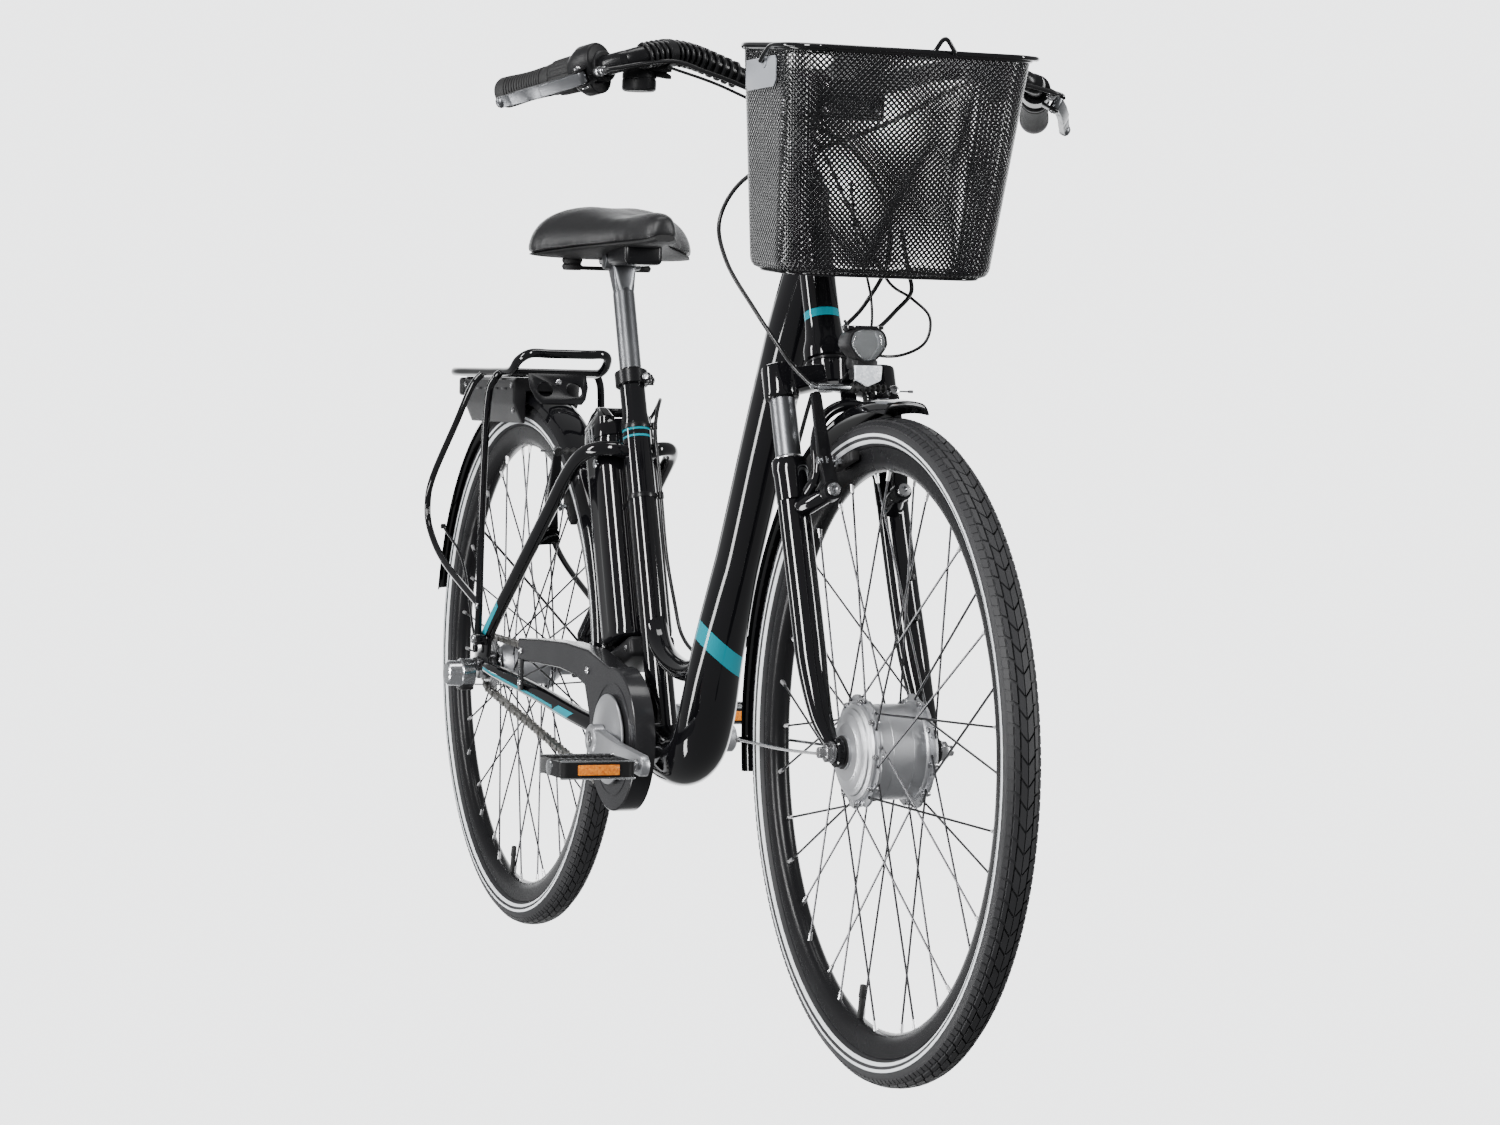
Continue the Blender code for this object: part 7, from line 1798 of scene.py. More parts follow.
# %% Lever brackets, barrels and levers
BARREL_IN, BARREL_OUT = (0.154, 0.016), (0.1806, 0.0217)
for word, side in (("right", -1), ("left", 1)):
    origin, g, p, n = grip_frame(side)
    pivot = origin + g * 0.148 + p * 0.027
    bm = bmesh.new()
    add_ring(bm, BAR_R + 0.0004, 0.0168, 0.1386, 0.162, 0.0012, origin, g, 36, p)
    for way in (-1, 1):
        add_hull(bm, [(pivot + n * way * 0.0088, n, 0.0062, 0.0014),
            (origin + g * 0.148 + p * 0.01 + n * way * 0.0088, n, 0.0092, 0.0014)], 0.0005)
    if side < 0:
        add_turned(bm, [(BAR_R + 0.0004, 0.1236), (0.0208, 0.1236), (0.0215, 0.1244), (0.0215, 0.133),
            (0.0206, 0.1368), (0.0186, 0.1395), (0.015, 0.1402), (BAR_R + 0.0004, 0.1402)], origin, g, 48,
            closed=True, toward=p)
        add_hull(bm, [(origin + g * 0.127, g, 0.0212, 0.005), (origin + g * 0.148 - n * 0.009 + p * 0.002,
            g, 0.0186, 0.011)], 0.003, 3)
        add_hull(bm, [(origin + g * 0.129, g, 0.02, 0.006), (origin + g * 0.142 + n * 0.01 + p * 0.004, g,
            0.017, 0.009)], 0.003, 3)
    piece(word + "_lever_perch", bm, moulded_plastic if side < 0 else satin_enamel, "steering",
        [word + "_lever_bracket"], 32.0)
    bm = bmesh.new()
    add_pin(bm, pivot, n, -0.0112, 0.0112, 0.0026, 14)
    for way in (-1, 1):
        add_bolt(bm, pivot + n * way * 0.0102, n * way, 0.0044, 0.0022)
    start, end = (origin + g * inward + p * ahead for inward, ahead in (BARREL_IN, BARREL_OUT))
    add_rod(bm, start, end, 0.0032, sides=14)
    along = (end - start).normalized()
    add_pin(bm, start, along, 0.01, 0.0185, 0.0056, 16, 0.0008)
    add_pin(bm, start, along, 0.0195, 0.025, 0.0046, 14, 0.0006)
    if side < 0:
        add_bolt(bm, origin + g * 0.1318 - n * 0.0212, -n, 0.004, 0.0018)
    piece(word + "_lever_pins", bm, bright_steel, "steering")
    elbow = origin + g * 0.095 + p * 0.0365
    tip = drawn([LEVER_TIP], side)[0]
    shape = [(pivot, 0.0056, 0.0066), (pivot.lerp(elbow, 0.4) + p * 0.0016, 0.0046, 0.0066),
        (elbow, 0.004, 0.0066), (elbow.lerp(tip, 0.35) - p * 0.0006, 0.0036, 0.0064),
        (elbow.lerp(tip, 0.75) - p * 0.0004, 0.0034, 0.006), (tip, 0.0036, 0.0054)]
    bm = bmesh.new()
    for (a, ra, ha), (b, rb, hb) in zip(shape, shape[1:]):
        add_hull(bm, [(a, n, ra, ha), (b, n, rb, hb)], 0.001, 2, 20)
    add_turned(bm, [(0, -0.0066), (0.0036, -0.006), (0.006, -0.0034), (0.0066, 0), (0.006, 0.0034),
        (0.0036, 0.006), (0, 0.0066)], tip, n, 24)
    piece(word + "_lever_blade", bm, dark_alloy, word + "_brake_lever", [word + "_brake_lever"],
        34.0)
tell()

# %% [markdown]
# ## Display and bell
# The display is a slim dark screen with a row of buttons, on a ring round the bar. No words or
# figures are drawn on it. The bell is a small round cup on its own ring, struck by a sprung
# lever.

# %% Display
tilt = Matrix.Rotation(math.radians(-35.0), 3, "Y")
DISPLAY = at(0.967, 0.058, 1.085)
CLAMP_GAP = 0.0003
bm = bmesh.new()
add_box(bm, DISPLAY, (0.046, 0.062, 0.012), tilt, 0.0034, 3)
add_ring(bm, BAR_R + CLAMP_GAP, 0.016, -0.009, 0.009, 0.0008, at(0.974, 0.057, 1.0608), LEFT)
add_box(bm, at(0.97, 0.058, 1.0765), (0.02, 0.016, 0.012), None, 0.002)
piece("display_case", bm, moulded_plastic, "steering", ["display"], 34.0)
face_up = tilt @ Vector((0, 0, 0.0062))
bm = bmesh.new()
add_box(bm, DISPLAY + face_up + tilt @ Vector((0.004, 0, 0)), (0.03, 0.05, 0.001), tilt, 0.0004)
piece("display_screen", bm, dark_screen, "steering")
bm = bmesh.new()
for y in (-0.018, 0.0, 0.018):
    add_box(bm, DISPLAY + face_up + tilt @ Vector((-0.0165, y, 0.0002)), (0.006, 0.012, 0.0016), tilt,
        0.0007)
piece("display_buttons", bm, grey_inlay, "steering")
tell()

# %% Bell
BELL_AT = at(1.006, -0.212, 1.0405)
bm = bmesh.new()
add_turned(bm, [(0, 0.0), (0.016, 0.0), (0.0182, 0.0016), (0.0185, 0.004), (0.0185, 0.012),
    (0.0178, 0.0124), (0.0178, 0.0136), (0.0184, 0.014), (0.0182, 0.019), (0.016, 0.0236),
    (0.011, 0.0258), (0.003, 0.0262), (0.0, 0.0262)], BELL_AT, UP, 48)
inner, outer = drawn(BAR_LINE[5:7], -1)
bell_on = (inner + outer) / 2
add_ring(bm, BAR_R + CLAMP_GAP, 0.0154, -0.006, 0.006, 0.0006, bell_on, outer - inner)
add_hull(bm, [(bell_on - UP * 0.017, UP, 0.007, 0.003), (BELL_AT + UP * 0.024, UP, 0.009, 0.002)], 0.0008)
piece("bell_cup", bm, moulded_plastic, "steering", ["bell"], 34.0)
bm = bmesh.new()
bell_elbow = (at(1.012, -0.188, 1.059), UP, 0.0042, 0.003)
add_hull(bm, [(at(1.008, -0.201, 1.061), UP, 0.007, 0.0045), bell_elbow], 0.001)
add_hull(bm, [bell_elbow, (at(1.014, -0.1815, 1.0565), UP, 0.003, 0.0018)], 0.0008)
piece("bell_thumb_lever", bm, moulded_plastic, "bell_lever", ["bell_lever"], 34.0)
tell()

# %% [markdown]
# ## Basket
# The basket is expanded steel mesh, slit and stretched into small flat diamonds, with a thick
# round rim and a thin ring at the floor. A lattice of diamond faces is laid on the tapering
# wall, the middle of every diamond is cut out, and the web that is left gets its thickness.

# %% Basket walls and floor
BASKET_LOW, BASKET_TOP = 0.845, 1.078
DIAMONDS_ROUND, DIAMOND_ROWS = 128, 38
WEB, WEB_T = 0.0009, 0.0011
TUCK, TUCK_SHARE = 0.009, 0.05
BASKET_X, BASKET_CORNER, BASKET_LEAN = 1.149, 0.04, 0.034


def nod(x):
    """The basket hangs a little nose-down: how much higher or lower it is at x."""
    return 0.0015 - 0.078 * (x - 1.19)


def basket_ring(share, turn):
    """A point on the basket's wall: share of the height and turn of the way round."""
    low = max(TUCK_SHARE - share, 0.0) / TUCK_SHARE
    tuck = TUCK * (1.0 - math.sqrt(1.0 - low ** 2))
    half_x, half_y = 0.071 + 0.02 * share - tuck, 0.12 + 0.0175 * share - tuck
    x, y = half_x - BASKET_CORNER, half_y - BASKET_CORNER
    flat_x, flat_y = 2 * x, 2 * y
    arc = math.pi * BASKET_CORNER / 2
    along = (turn % 1.0) * (2 * (flat_x + flat_y) + 4 * arc)
    for kind, length, sx, sy, first in (("y", flat_y, 1, -1, 0), ("arc", arc, 1, 1, 0),
            ("x", flat_x, 1, 1, 90), ("arc", arc, -1, 1, 90), ("y", flat_y, -1, 1, 180),
            ("arc", arc, -1, -1, 180), ("x", flat_x, -1, -1, 270), ("arc", arc, 1, -1, 270)):
        if along <= length:
            break
        along -= length
    if kind == "arc":
        px, py = polar(BASKET_CORNER, math.radians(first) + along / BASKET_CORNER, (sx * x, sy * y))
    elif kind == "y":
        px, py = (half_x, -y + along) if first == 0 else (-half_x, y - along)
    else:
        px, py = (x - along, half_y) if first == 90 else (-x + along, -half_y)
    x = BASKET_X + BASKET_LEAN * share + px
    return at(x, py, BASKET_LOW + (BASKET_TOP - BASKET_LOW) * share + nod(x))


def cut_web(bm, width, thickness):
    """Open the middle of every face and give the web that is left its thickness."""
    bm.normal_update()
    centres = bm.faces[:]
    bmesh.ops.inset_individual(bm, faces=centres, thickness=width, use_even_offset=True)
    bmesh.ops.delete(bm, geom=centres, context="FACES")
    bmesh.ops.recalc_face_normals(bm, faces=bm.faces[:])
    bmesh.ops.solidify(bm, geom=bm.faces[:], thickness=thickness)


lattice = {}


def lattice_vertex(bm, column, row):
    """Rows step by half a diamond; odd rows stand half a diamond to the side."""
    key = (column % (2 * DIAMONDS_ROUND), row)
    if key not in lattice:
        lattice[key] = bm.verts.new(basket_ring(row / (2 * DIAMOND_ROWS), key[0] / (2 * DIAMONDS_ROUND)))
    return lattice[key]


def wall_half(first, last):
    """The diamonds of one half of the wall."""
    bm = bmesh.new()
    lattice.clear()
    for row in range(2 * DIAMOND_ROWS - 1):
        for i in range(first, last):
            column = 2 * i + (row % 2)
            corners = [lattice_vertex(bm, column, row + 1), lattice_vertex(bm, column + 1, row),
                lattice_vertex(bm, column + 2, row + 1), lattice_vertex(bm, column + 1, row + 2)]
            bm.faces.new(corners)
    cut_web(bm, WEB, WEB_T)
    return bm


half_way = DIAMONDS_ROUND // 2
piece("basket_wall_left", wall_half(0, half_way), black_lacquer, "steering", ["basket"],
    180.0)
piece("basket_wall_right", wall_half(half_way, DIAMONDS_ROUND), black_lacquer, "steering",
    (), 180.0)
bm = bmesh.new()
FLOOR_STEP_X, FLOOR_STEP_Y, FLOOR_ROWS, FLOOR_COLUMNS = 0.0056, 0.0064, 24, 21
floor_lattice = {}
for row in range(-FLOOR_ROWS, FLOOR_ROWS):
    for i in range(-FLOOR_COLUMNS, FLOOR_COLUMNS):
        corners = []
        for column, line in ((2 * i + row % 2, row + 1), (2 * i + 1 + row % 2, row),
                (2 * i + 2 + row % 2, row + 1), (2 * i + 1 + row % 2, row + 2)):
            x, y = FLOOR_STEP_X / 2 * line, FLOOR_STEP_Y / 2 * column
            past = Vector((max(abs(x) - 0.022, 0), max(abs(y) - 0.071, 0)))
            if past.length > BASKET_CORNER:
                corners = None
                break
            if (column, line) not in floor_lattice:
                floor_lattice[column, line] = bm.verts.new(at(BASKET_X + x, y,
                    BASKET_LOW + nod(BASKET_X + x)))
            corners.append(floor_lattice[column, line])
        if corners:
            bm.faces.new(corners)
cut_web(bm, WEB, WEB_T)
piece("basket_floor", bm, satin_enamel, "steering", (), 50.0)
tell()

# %% Rim, rings and side plates
bm = bmesh.new()
rim_line = [basket_ring(1.0, k / 72) for k in range(72)]
add_tube(bm, rim_line, 0.004, 16, cyclic=True, toward=UP)
low_line = [basket_ring(0.0, k / 64) for k in range(64)]
add_tube(bm, low_line, 0.0016, 12, cyclic=True, toward=UP)
add_tube(bm, [at(BASKET_X, y, BASKET_LOW + nod(BASKET_X)) for y in (-0.108, 0.108)], 0.0018, 10)
for y in (-0.055, 0.055):
    add_tube(bm, [at(x, y, BASKET_LOW + nod(x)) for x in (1.09, 1.208)], 0.0018, 10)
piece("basket_rim", bm, black_lacquer, "steering", (), 40.0)
bm = bmesh.new()
for side in (-1, 1):
    outline = [(-0.044, -0.012), (-0.038, -0.019), (0.034, -0.019), (0.04, -0.013), (0.04, 0.009),
        (0.036, 0.013), (-0.044, 0.013)]
    add_plate(bm, outline, 0.0016, side_plane(at(1.18, side * 0.1388, 1.055)), (), 0.0004)
    add_pin(bm, at(1.19, 0, 1.062), LEFT * side, 0.1385, 0.1412, 0.0055, 24, 0.0006)
piece("basket_ears", bm, grey_inlay, "steering", (), 34.0)
tell()

# %% Handle and bracket
HANDLE_X, HANDLE_Z = 1.19, 1.062
SIDE_WIRE = [(0.0, 0.14, 0.0), (0.0, 0.144, 0.0), (0.003, 0.145, 0.0015), (0.022, 0.145, 0.013),
    (0.034, 0.145, 0.016), (0.046, 0.1448, 0.0166), (0.0621, 0.1414, 0.0168), (0.0776, 0.1311, 0.017),
    (0.088, 0.1156, 0.0172), (0.0912, 0.0975, 0.0174)]
NOTCH = [(-0.015, 0.0174), (-0.0112, 0.0186), (-0.003, 0.03), (0.003, 0.03), (0.0112, 0.0186),
    (0.015, 0.0174)]
NOTCH_Y = 0.023
half = [at(HANDLE_X + x, y, HANDLE_Z + z + nod(HANDLE_X + x)) for x, y, z in SIDE_WIRE]
line = across_bike(half)
front = HANDLE_X + SIDE_WIRE[-1][0]
line += [at(front, NOTCH_Y + y, HANDLE_Z + z + nod(front)) for y, z in NOTCH]
line += reversed(half)
bm = bmesh.new()
add_tube(bm, smooth_route(line, 5), 0.0024, 14)
piece("basket_handle_wire", bm, black_lacquer, "basket_handle", ["basket_handle"], 40.0)
bm = bmesh.new()
for side in (-1, 1):
    add_ring(bm, BAR_R + CLAMP_GAP, 0.0168, -0.008, 0.008, 0.0008, at(0.974, side * 0.033, 1.06), LEFT)
    add_hull(bm, [(at(0.988, side * 0.033, 1.052), LEFT, 0.008, 0.005),
        (at(1.086, side * 0.033, 1.05), LEFT, 0.005, 0.005)], 0.0012)
add_box(bm, at(1.0845, 0, 1.037), (0.005, 0.08, 0.042), None, 0.0016)
piece("basket_bracket_cast", bm, satin_enamel, "steering", ["basket_bracket"], 34.0)
bm = bmesh.new()
for y in (-0.031, 0.031):
    for z in (1.024, 1.05):
        add_bolt(bm, at(1.0868, y, z), FORE, 0.0044, 0.0044)
piece("basket_bracket_bolts", bm, bright_steel, "steering")
tell()

# %% [markdown]
# ## Battery
# The battery stands behind the seat tube in a moulded case, a rounded column with two long
# flutes, a cap that carries the pull grip and a pair of bright lock bars on each side. Rounded
# outlines are joined up the column. The grip is a bar between two hulls.

# %% Battery case
BATTERY_BACK, HALF_DEEP, HALF_WIDE, SQUARENESS = 0.0645, 0.041, 0.04, 2 / 3.4
FLUTE, FLUTE_HALF = 0.0016, 0.006
BATTERY = [(0.1368, -0.006, 0), (0.1372, -0.003, 0), (0.1395, -0.0008, 0), (0.144, 0.0, 0),
    (0.15, 0.0, 1), (0.26, 0.0, 1), (0.386, 0.0, 1), (0.392, 0.0, 0), (0.3932, -0.0016, 0),
    (0.3948, -0.0016, 0), (0.396, 0.0, 0), (0.41, -0.0004, 0), (0.416, -0.003, 0), (0.418, -0.008, 0)]


def battery_ring(t, grow_by, fluted):
    """The case's outline at a height up the seat tube, grown a little and fluted or plain."""
    points = []
    for c, s in circle(1.0, 72):
        deep = eased(c, SQUARENESS) * (HALF_DEEP + grow_by)
        wide = eased(s, SQUARENESS) * (HALF_WIDE + grow_by)
        groove = fluted * FLUTE * max(0.0, 1 - abs(deep) / FLUTE_HALF) if abs(s) > 0.5 else 0.0
        points.append(seat(t, BATTERY_BACK + deep, wide - math.copysign(groove, wide)))
    return points


bm = bmesh.new()
grow(bm, [battery_ring(*station) for station in BATTERY])
for side in (-1, 1):
    add_hull(bm, [(seat(0.416, 0.04, side * 0.024), SEAT_UP, 0.011, 0.005),
        (seat(0.416, 0.09, side * 0.024), SEAT_UP, 0.011, 0.005), (seat(0.433, 0.056, side * 0.0225),
        LEFT, 0.007, 0.005), (seat(0.433, 0.078, side * 0.0225), LEFT, 0.007, 0.005)], 0.0016)
add_pin(bm, seat(0.437, 0.067, 0), LEFT, -0.027, 0.027, 0.006, 24, 0.0016)
piece("battery_case", bm, black_lacquer, "battery", ["battery"], 34.0)
bm = bmesh.new()
for side in (-1, 1):
    for back in (0.05, 0.06):
        add_box(bm, seat(0.403, back, side * 0.0402), (0.0036, 0.0012, 0.022), SEAT_FRAME, 0.0005)
    add_turned(bm, [(0, 0.0412), (0.005, 0.0412), (0.006, 0.0404), (0.006, 0.0385), (0, 0.0385)],
        seat(0.364, 0.05, 0), LEFT * side, 24)
piece("battery_lock_bars", bm, bright_alloy, "battery")
bm = bmesh.new()
for k in range(4):
    add_box(bm, seat(0.186 + 0.01 * k, 0.1052, 0.0), (0.0012, 0.012, 0.004), SEAT_FRAME, 0.0005)
piece("battery_charge_marks", bm, grey_inlay, "battery")
tell()

# %% [markdown]
# ## Seatpost and saddle frame
# The post slides in the seat tube. Its head clamps two steel rails, which bend up to the nose
# and to the tail of the saddle. Two ribbed rubber springs sit under the tail.

# %% Seatpost, clamp and rails
bm = bmesh.new()
add_turned(bm, [(0, 0.27), (0.013, 0.27), (0.0136, 0.2706), (0.0136, 0.57), (0.013, 0.576),
    (0.0118, 0.58), (0, 0.58)], BB, SEAT_UP, 40, toward=SEAT_BACK)
HEAD_AT = at(0.35, 0, 0.881)
add_hull(bm, [(seat(0.57, 0, 0), SEAT_UP, 0.0122, 0.004), (HEAD_AT, LEFT, 0.012, 0.015)], 0.0022, 3)
add_pin(bm, HEAD_AT, LEFT, -0.024, 0.024, 0.0105, 28, 0.0016)
piece("seatpost_turned", bm, dark_alloy, "seatpost", ["seatpost"], 32.0)
bm = bmesh.new()
CLAMP = at(0.352, 0, 0.8985)
for side in (-1, 1):
    add_hull(bm, [(at(0.334, side * 0.0265, 0.8985), LEFT, 0.0062, 0.0062),
        (at(0.372, side * 0.0265, 0.8985), LEFT, 0.0062, 0.0062)], 0.0014)
    add_nut(bm, CLAMP + LEFT * side * 0.033 - UP * 0.002, LEFT * side, 0.0068, 0.005)
add_pin(bm, CLAMP - UP * 0.002, LEFT, -0.034, 0.034, 0.004, 16)
add_hull(bm, [(at(0.352, 0, 0.893), LEFT, 0.009, 0.02)], 0.001)
piece("saddle_clamp", bm, satin_enamel, "seatpost")
RAIL = [(0.278, 0.033, 0.913), (0.29, 0.03, 0.91), (0.3, 0.029, 0.902), (0.325, 0.0265, 0.899),
    (0.385, 0.0265, 0.9), (0.44, 0.022, 0.902), (0.478, 0.01, 0.911), (0.486, 0.006, 0.915)]
bm = bmesh.new()
for side in (-1, 1):
    add_tube(bm, smooth_route(drawn(RAIL, side), 6), 0.0035, 14)
piece("saddle_rails", bm, bright_alloy, "seatpost")
bm = bmesh.new()
for side in (-1, 1):
    profile = [(0, 0.87), (0.011, 0.87)]
    for k in range(4):
        z = 0.871 + 0.008 * k
        profile += [(0.0118, z), (0.013, z + 0.0028), (0.013, z + 0.0046), (0.0112, z + 0.007)]
    profile += [(0.012, 0.915), (0, 0.915)]
    add_turned(bm, profile, at(0.292, side * 0.046, 0.0), UP, 28)
piece("saddle_springs", bm, soft_rubber, "seatpost", (), 24.0)
bm = bmesh.new()
for x, z, size, edge, steps in ((0.294, 0.873, (0.014, 0.094, 0.005), 0.0016, 2),
        (0.292, 0.912, (0.024, 0.116, 0.006), 0.002, 2), (0.4, 0.888, (0.07, 0.05, 0.026), 0.006, 3),
        (0.332, 0.883, (0.05, 0.034, 0.012), 0.004, 3)):
    add_box(bm, at(x, 0, z), size, None, edge, steps)
piece("saddle_bridge", bm, satin_enamel, "seatpost")
tell()

# %% [markdown]
# ## Saddle cushion
# The cushion is foam under stretched vinyl on a stiff pan. Rounded stations from tail to nose
# are joined into a low block and remeshed evenly, and a short cloth simulation inflates it so
# that the cover swells above its held lower edge as real upholstery does. The swelling is
# capped, so the saddle keeps its measured outline. A thin dark pan closes its lower edge.

# %% Saddle stations
SADDLE = [(0.254, 0.056, 0.932, 0.906), (0.266, 0.088, 0.944, 0.896), (0.286, 0.104, 0.95, 0.889),
    (0.31, 0.108, 0.951, 0.888), (0.332, 0.099, 0.948, 0.8905), (0.352, 0.083, 0.943, 0.8935),
    (0.374, 0.064, 0.9385, 0.8965), (0.395, 0.049, 0.936, 0.8985), (0.418, 0.0375, 0.936, 0.9),
    (0.44, 0.03, 0.9375, 0.901), (0.475, 0.024, 0.9385, 0.902), (0.495, 0.021, 0.936, 0.903),
    (0.508, 0.013, 0.931, 0.906)]
SADDLE_SIDES, SADDLE_EASE, SKIRT_RISE, BELLY = 40, 0.72, 0.004, 0.0045
GROOVE, GROOVE_WIDTH, GROOVE_FROM = 0.0022, 0.012, 0.03


def saddle_ring(x, half, top, edge):
    """A station: domed above with a shallow groove, nearly flat below."""
    points = []
    for c, s in circle(1.0, SADDLE_SIDES):
        y = eased(c, SADDLE_EASE) * half
        if s > 0:
            z = edge + SKIRT_RISE + ((top - edge) * s ** 0.9 - SKIRT_RISE)
            if half > GROOVE_FROM:
                z -= GROOVE * math.exp(-(y / GROOVE_WIDTH) ** 2)
        else:
            z = edge + SKIRT_RISE - BELLY * abs(s) ** 0.6
        points.append(at(x, y, z))
    return points


def skirt(x):
    """The height of the saddle's lower edge at x."""
    for (x0, _, _, z0), (x1, _, _, z1) in zip(SADDLE, SADDLE[1:]):
        if x <= x1:
            return z0 + (z1 - z0) * max(x - x0, 0.0) / (x1 - x0)
    return SADDLE[-1][3]


VOXEL, EVEN_STEPS = 0.0045, 6
bm = bmesh.new()
grow(bm, [saddle_ring(*station) for station in SADDLE])
bmesh.ops.recalc_face_normals(bm, faces=bm.faces[:])
mesh = bpy.data.meshes.new("saddle_cushion")
bm.to_mesh(mesh)
bm.free()
cushion = new_object("saddle_cushion", mesh)
bpy.context.view_layer.objects.active = cushion
remesh = cushion.modifiers.new("remesh", "REMESH")
remesh.mode = "VOXEL"
remesh.voxel_size = VOXEL
smooth = cushion.modifiers.new("even", "SMOOTH")
smooth.factor, smooth.iterations = 0.5, EVEN_STEPS
with bpy.context.temp_override(object=cushion, active_object=cushion):
    for modifier in ("remesh", "even"):
        bpy.ops.object.modifier_apply(modifier=modifier)
print("cushion faces", len(cushion.data.polygons))

# %% Cloth that fills the cushion
START = [vertex.co.copy() for vertex in cushion.data.vertices]
LIMIT, HOLD, LAST_FRAME = 0.005, 0.006, 20
PRESSURE, STRETCH, BEND = 4.0, 12.0, 1.5
held = cushion.vertex_groups.new(name="held")
for vertex in cushion.data.vertices:
    if vertex.co.z < skirt(vertex.co.x - SHIFT_X) + HOLD:
        held.add([vertex.index], 1.0, "REPLACE")
cloth = cushion.modifiers.new("cloth", "CLOTH")
cloth.settings.effector_weights.gravity = 0.0
cloth.settings.use_pressure = True
cloth.settings.uniform_pressure_force = PRESSURE
cloth.settings.vertex_group_mass = "held"
cloth.settings.tension_stiffness = STRETCH
cloth.settings.compression_stiffness = STRETCH
cloth.settings.bending_stiffness = BEND
cloth.collision_settings.use_collision = False
cloth.point_cache.frame_start, cloth.point_cache.frame_end = 1, LAST_FRAME
scene = bpy.context.scene
for frame_number in range(1, LAST_FRAME + 1):
    scene.frame_set(frame_number)
graph = bpy.context.evaluated_depsgraph_get()
moved = [vertex.co.copy() for vertex in cushion.evaluated_get(graph).data.vertices]
cushion.modifiers.remove(cloth)
scene.frame_set(1)
largest = 0.0
for vertex, first, last in zip(cushion.data.vertices, START, moved):
    shift = last - first
    largest = max(largest, shift.length)
    if shift.length > LIMIT:
        shift = shift * (LIMIT / shift.length)
    vertex.co = first + shift
print("cover moved up to", round(largest * 1000, 1), "mm, capped at", LIMIT * 1000)
rounder = cushion.modifiers.new("rounder", "SUBSURF")
rounder.levels = rounder.render_levels = 1
cushion.data.shade_smooth()
cushion.data.materials.append(saddle_skin)
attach(cushion, "seatpost")
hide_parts("saddle")
made.append(("saddle_cushion", len(cushion.data.polygons)))
tell()

# %% Saddle pan
PAN_SHARE, PAN_DROP, PAN_HALF = 0.975, 0.0005, 0.0042
bm = bmesh.new()
grow(bm, [[at(x, eased(c, SADDLE_EASE) * (half * PAN_SHARE), edge - PAN_DROP + PAN_HALF * s)
    for c, s in circle(1.0, SADDLE_SIDES)] for x, half, _, edge in SADDLE])
piece("saddle_pan", bm, soft_rubber, "seatpost", (), 50.0)
tell()

# %% [markdown]
# ## Cables
# The two brake cables are stiff black housings that loop from the lever barrels to the brakes,
# held at both ends. The front one swings in front of the head tube. The rear one follows the
# down tube and the seat tube. A thinner gear cable and the wires of lamp and display run beside
# them, and a spiral wrap holds them to the bar. Each is a smooth tube through points chosen
# along its way.

# %% Brake cables
FRONT_TOP, CABLE_R = -0.102, 0.0024


def loop_start(side):
    """The cable's first two points, out of the lever's barrel."""
    origin, g, p, _ = grip_frame(side)
    start = origin + g * BARREL_OUT[0] + p * BARREL_OUT[1]
    return [start, start + g * 0.012 + p * 0.002]


front_line = loop_start(1) + drawn(((1.04, 0.19, 1.072), (1.044, 0.14, 1.058), (1.058, 0.06, 1.018),
    (1.056, -0.03, 0.982), (1.016, -0.088, 0.955), (0.99, -0.11, 0.91), (1.018, -0.112, 0.862),
    (1.064, -0.096, 0.81), (1.09, -0.078, 0.772), (1.099, -0.064, 0.75)))
front_line.append(steer(FRONT_TOP + 0.003, ARM_PLANE, -0.05))
front_pipe = [front_line[-1], steer(FRONT_TOP, ARM_PLANE, -0.044), steer(FRONT_TOP, ARM_PLANE, -0.006)]
rear_line = loop_start(-1) + drawn(((1.04, -0.19, 1.0715), (1.042, -0.15, 1.062), (1.046, -0.105, 1.047),
    (1.052, -0.05, 1.02), (1.05, 0.02, 0.985), (1.046, 0.06, 0.93), (1.036, 0.07, 0.87),
    (1.0, 0.058, 0.82), (0.95, 0.034, 0.765), (0.862, 0.03, 0.63), (0.79, 0.03, 0.5), (0.73, 0.03, 0.425),
    (0.66, 0.0245, 0.412), (0.6, 0.0205, 0.406), (0.54, 0.0215, 0.425),
    (0.505, 0.0235, 0.464))) + [seat(0.23, -0.006, 0.0222), seat(0.3, -0.008, 0.0218),
    seat(0.345, -0.0125, 0.02), seat(0.385, -0.0125, 0.02), seat(0.415, 0.002, 0.03),
    seat(0.44, 0.024, 0.044), at(0.352, 0.053, 0.705), at(0.31, 0.057, 0.685),
    REAR_PIVOT + REAR_ARM_OUT * 0.0098 + REAR_ARM_UP * 0.124 + LEFT * 0.049]
for word, line, body in (("front", front_line, "steering"), ("rear", rear_line, "frame")):
    bm = bmesh.new()
    add_tube(bm, smooth_route(line, 7), CABLE_R, 12)
    first, second = line[0], line[1]
    add_rod(bm, first - (second - first) * 0.25, first + (second - first) * 0.5, 0.0031, sides=14,
        edge=0.0004)
    piece(word + "_brake_housing", bm, cable_skin, body, [word + "_brake_cable"], 50.0)
    print(word, "cable", round(route_length(line), 3), "m along its points")
tell()

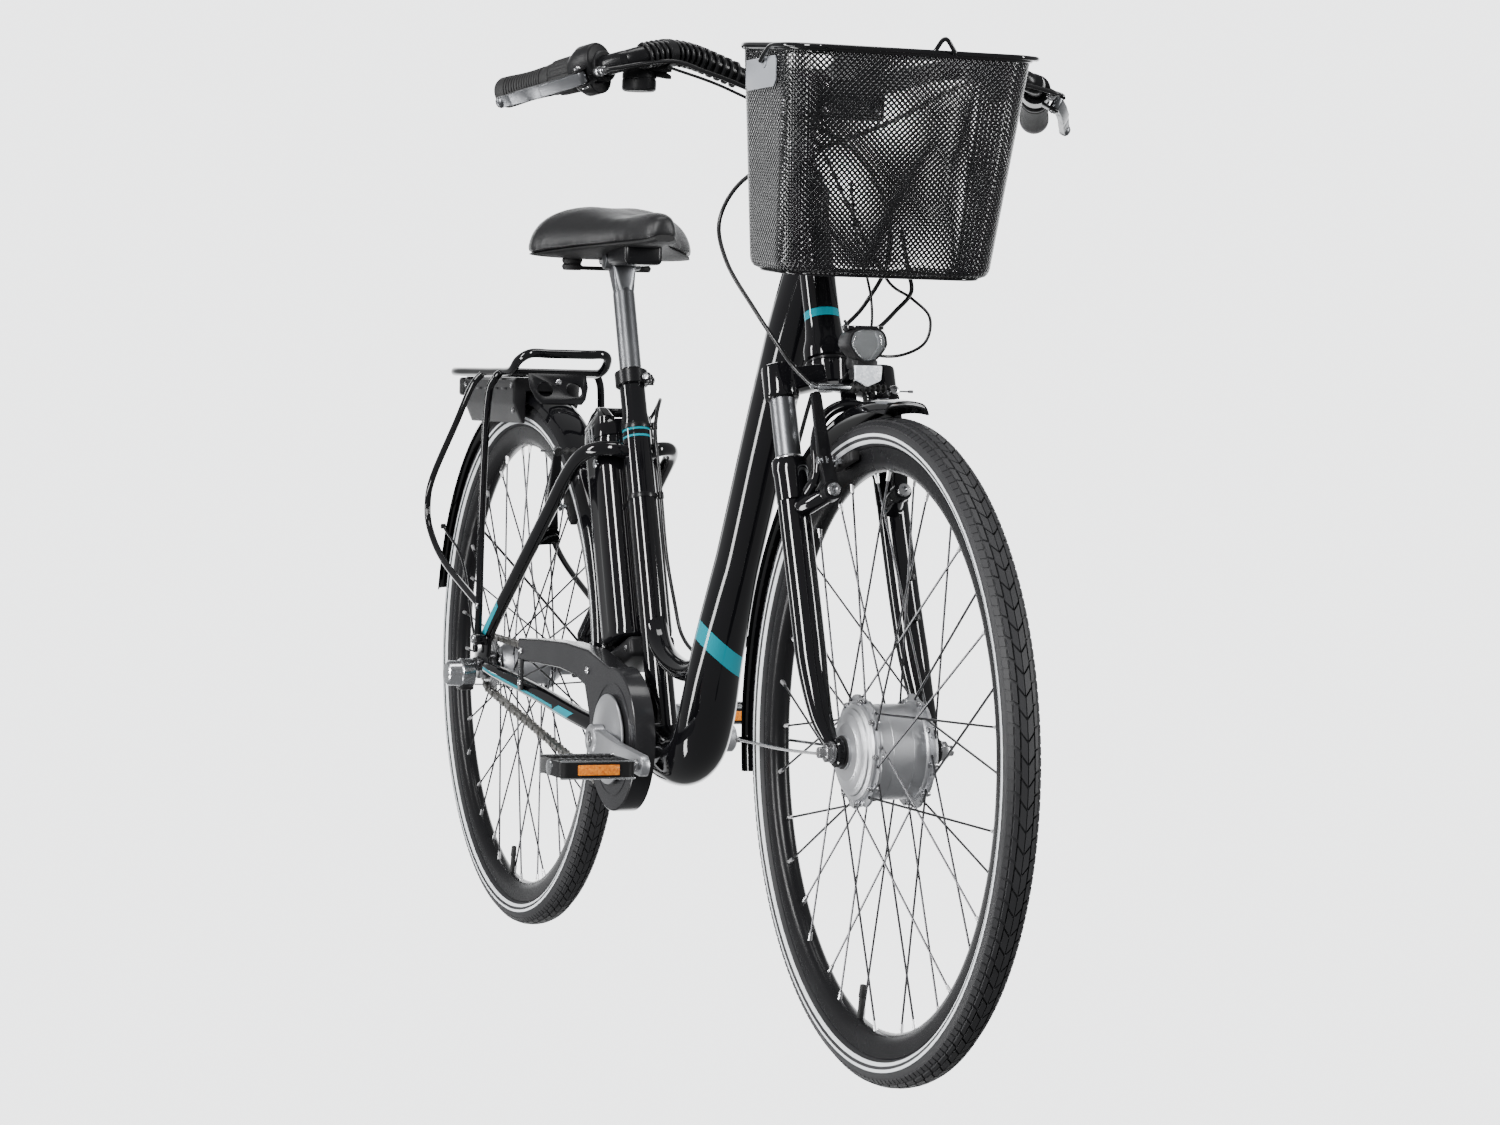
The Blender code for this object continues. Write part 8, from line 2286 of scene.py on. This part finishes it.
# %% Guide pipes, boots and anchors
front_tops = arm_tops(FRONT_PIVOT, STEER_UP, STEER_FORE, ARM_PLANE)
make_pipe("front", STEER_FORE, 1, "fork_lowers", "front_left_brake_arm", front_tops[1] + STEER_UP * 0.008,
    front_pipe)
lift = REAR_ARM_UP * 0.008
rear_pipe = [rear_line[-1], tops[1] + REAR_ARM_UP * 0.0125 + LEFT * 0.003, tops[1] + lift - LEFT * 0.005,
    tops[1] + lift - LEFT * 0.018]
make_pipe("rear", REAR_ARM_OUT, -1, "frame", "rear_right_brake_arm", tops[0] + lift, rear_pipe)
tell()

# %% Gear cable, lamp wire and display wire
GEAR_LINE = [(1.034, -0.19, 1.066), (1.04, -0.12, 1.044), (1.046, -0.03, 1.0), (1.056, 0.01, 0.93),
    (1.076, 0.03, 0.88), (1.1, 0.045, 0.842), (1.12, 0.062, 0.826), (1.12, 0.084, 0.806),
    (1.116, 0.08, 0.778), (1.09, 0.058, 0.764), (1.05, 0.04, 0.77), (1.012, 0.03, 0.802)]
LAMP_LINE = [(1.08, 0.066, 0.9), (1.1, 0.066, 0.858), (1.128, 0.058, 0.832), (1.13, 0.04, 0.812),
    (1.128, 0.022, 0.794), (1.126, 0.006, 0.786)]
DISPLAY_LINE = [(1.078, 0.006, 0.95), (1.084, 0.012, 0.89), (1.104, 0.017, 0.846),
    (1.112, 0.0195, 0.8177), (1.108, 0.0205, 0.79), (1.08, 0.02, 0.772), (1.04, 0.018, 0.782),
    (1.006, 0.016, 0.806)]
for name, line, radius in (("gear_cable", GEAR_LINE, 0.0017), ("lamp_wire", LAMP_LINE, 0.0024),
        ("display_wire", DISPLAY_LINE, 0.0015)):
    bm = bmesh.new()
    add_tube(bm, smooth_route(drawn(line), 7), radius, 10)
    piece(name, bm, cable_skin, "steering", (), 50.0)
tell()

# %% Spiral wrap, cable clips and eyelets
WRAP_PITCH, WRAP_STEPS, WRAP_R = 0.0088, 10, 0.0019
WRAP_FROM, WRAP_TO = -0.222, -0.085
bm = bmesh.new()
wrap = []
on_bar = [m for m in carried_frames(bar_route) if WRAP_FROM < m.translation.y < WRAP_TO]
turns = (on_bar[-1].translation - on_bar[0].translation).length / WRAP_PITCH
steps = int(turns * WRAP_STEPS)
for k in range(steps + 1):
    share = k / steps * (len(on_bar) - 1)
    i = min(int(share), len(on_bar) - 2)
    low, high = on_bar[i], on_bar[i + 1]
    c, s = polar(1.0, 2 * math.pi * k / WRAP_STEPS)
    wrap.append(low.translation.lerp(high.translation, share - i) + (low.col[0].to_3d() * c
        + low.col[1].to_3d() * s) * (BAR_R + WRAP_R))
add_tube(bm, wrap, WRAP_R, 7)
piece("bar_spiral_wrap", bm, cable_skin, "steering", (), 50.0)
bm = bmesh.new()
for t in (0.305, 0.395):
    add_turned(bm, [(0.0174, t - 0.003), (0.0186, t - 0.003), (0.019, t), (0.0186, t + 0.003),
        (0.0174, t + 0.003)], BB, SEAT_UP, 32, closed=True, toward=SEAT_BACK)
    clip = seat(t, -0.01, 0.0205)
    add_turned(bm, [(0.0024, -0.004), (0.0038, -0.004), (0.004, 0.0), (0.0038, 0.004), (0.0024, 0.004)],
        clip, SEAT_UP, 16, closed=True, toward=SEAT_BACK)
piece("cable_clips", bm, satin_enamel, "frame")
bm = bmesh.new()
for s, fore in ((-0.345, 0.02), (-0.3, 0.0195)):
    eyelet = steer(s, fore, 0.06)
    add_turned(bm, [(0.0022, -0.003), (0.0042, -0.003), (0.0042, 0.003), (0.0022, 0.003)], eyelet,
        STEER_UP, 16, closed=True, toward=STEER_FORE)
piece("fork_eyelets", bm, satin_enamel, "fork_lowers")
print("turns of the wrap", round(turns, 1))
tell()

# %% [markdown]
# ## Pieces made
# The script ends by printing how many pieces were made and how many faces they have.

# %% Count of pieces and faces
print("pieces made", len(made), "faces", sum(count for _, count in made))
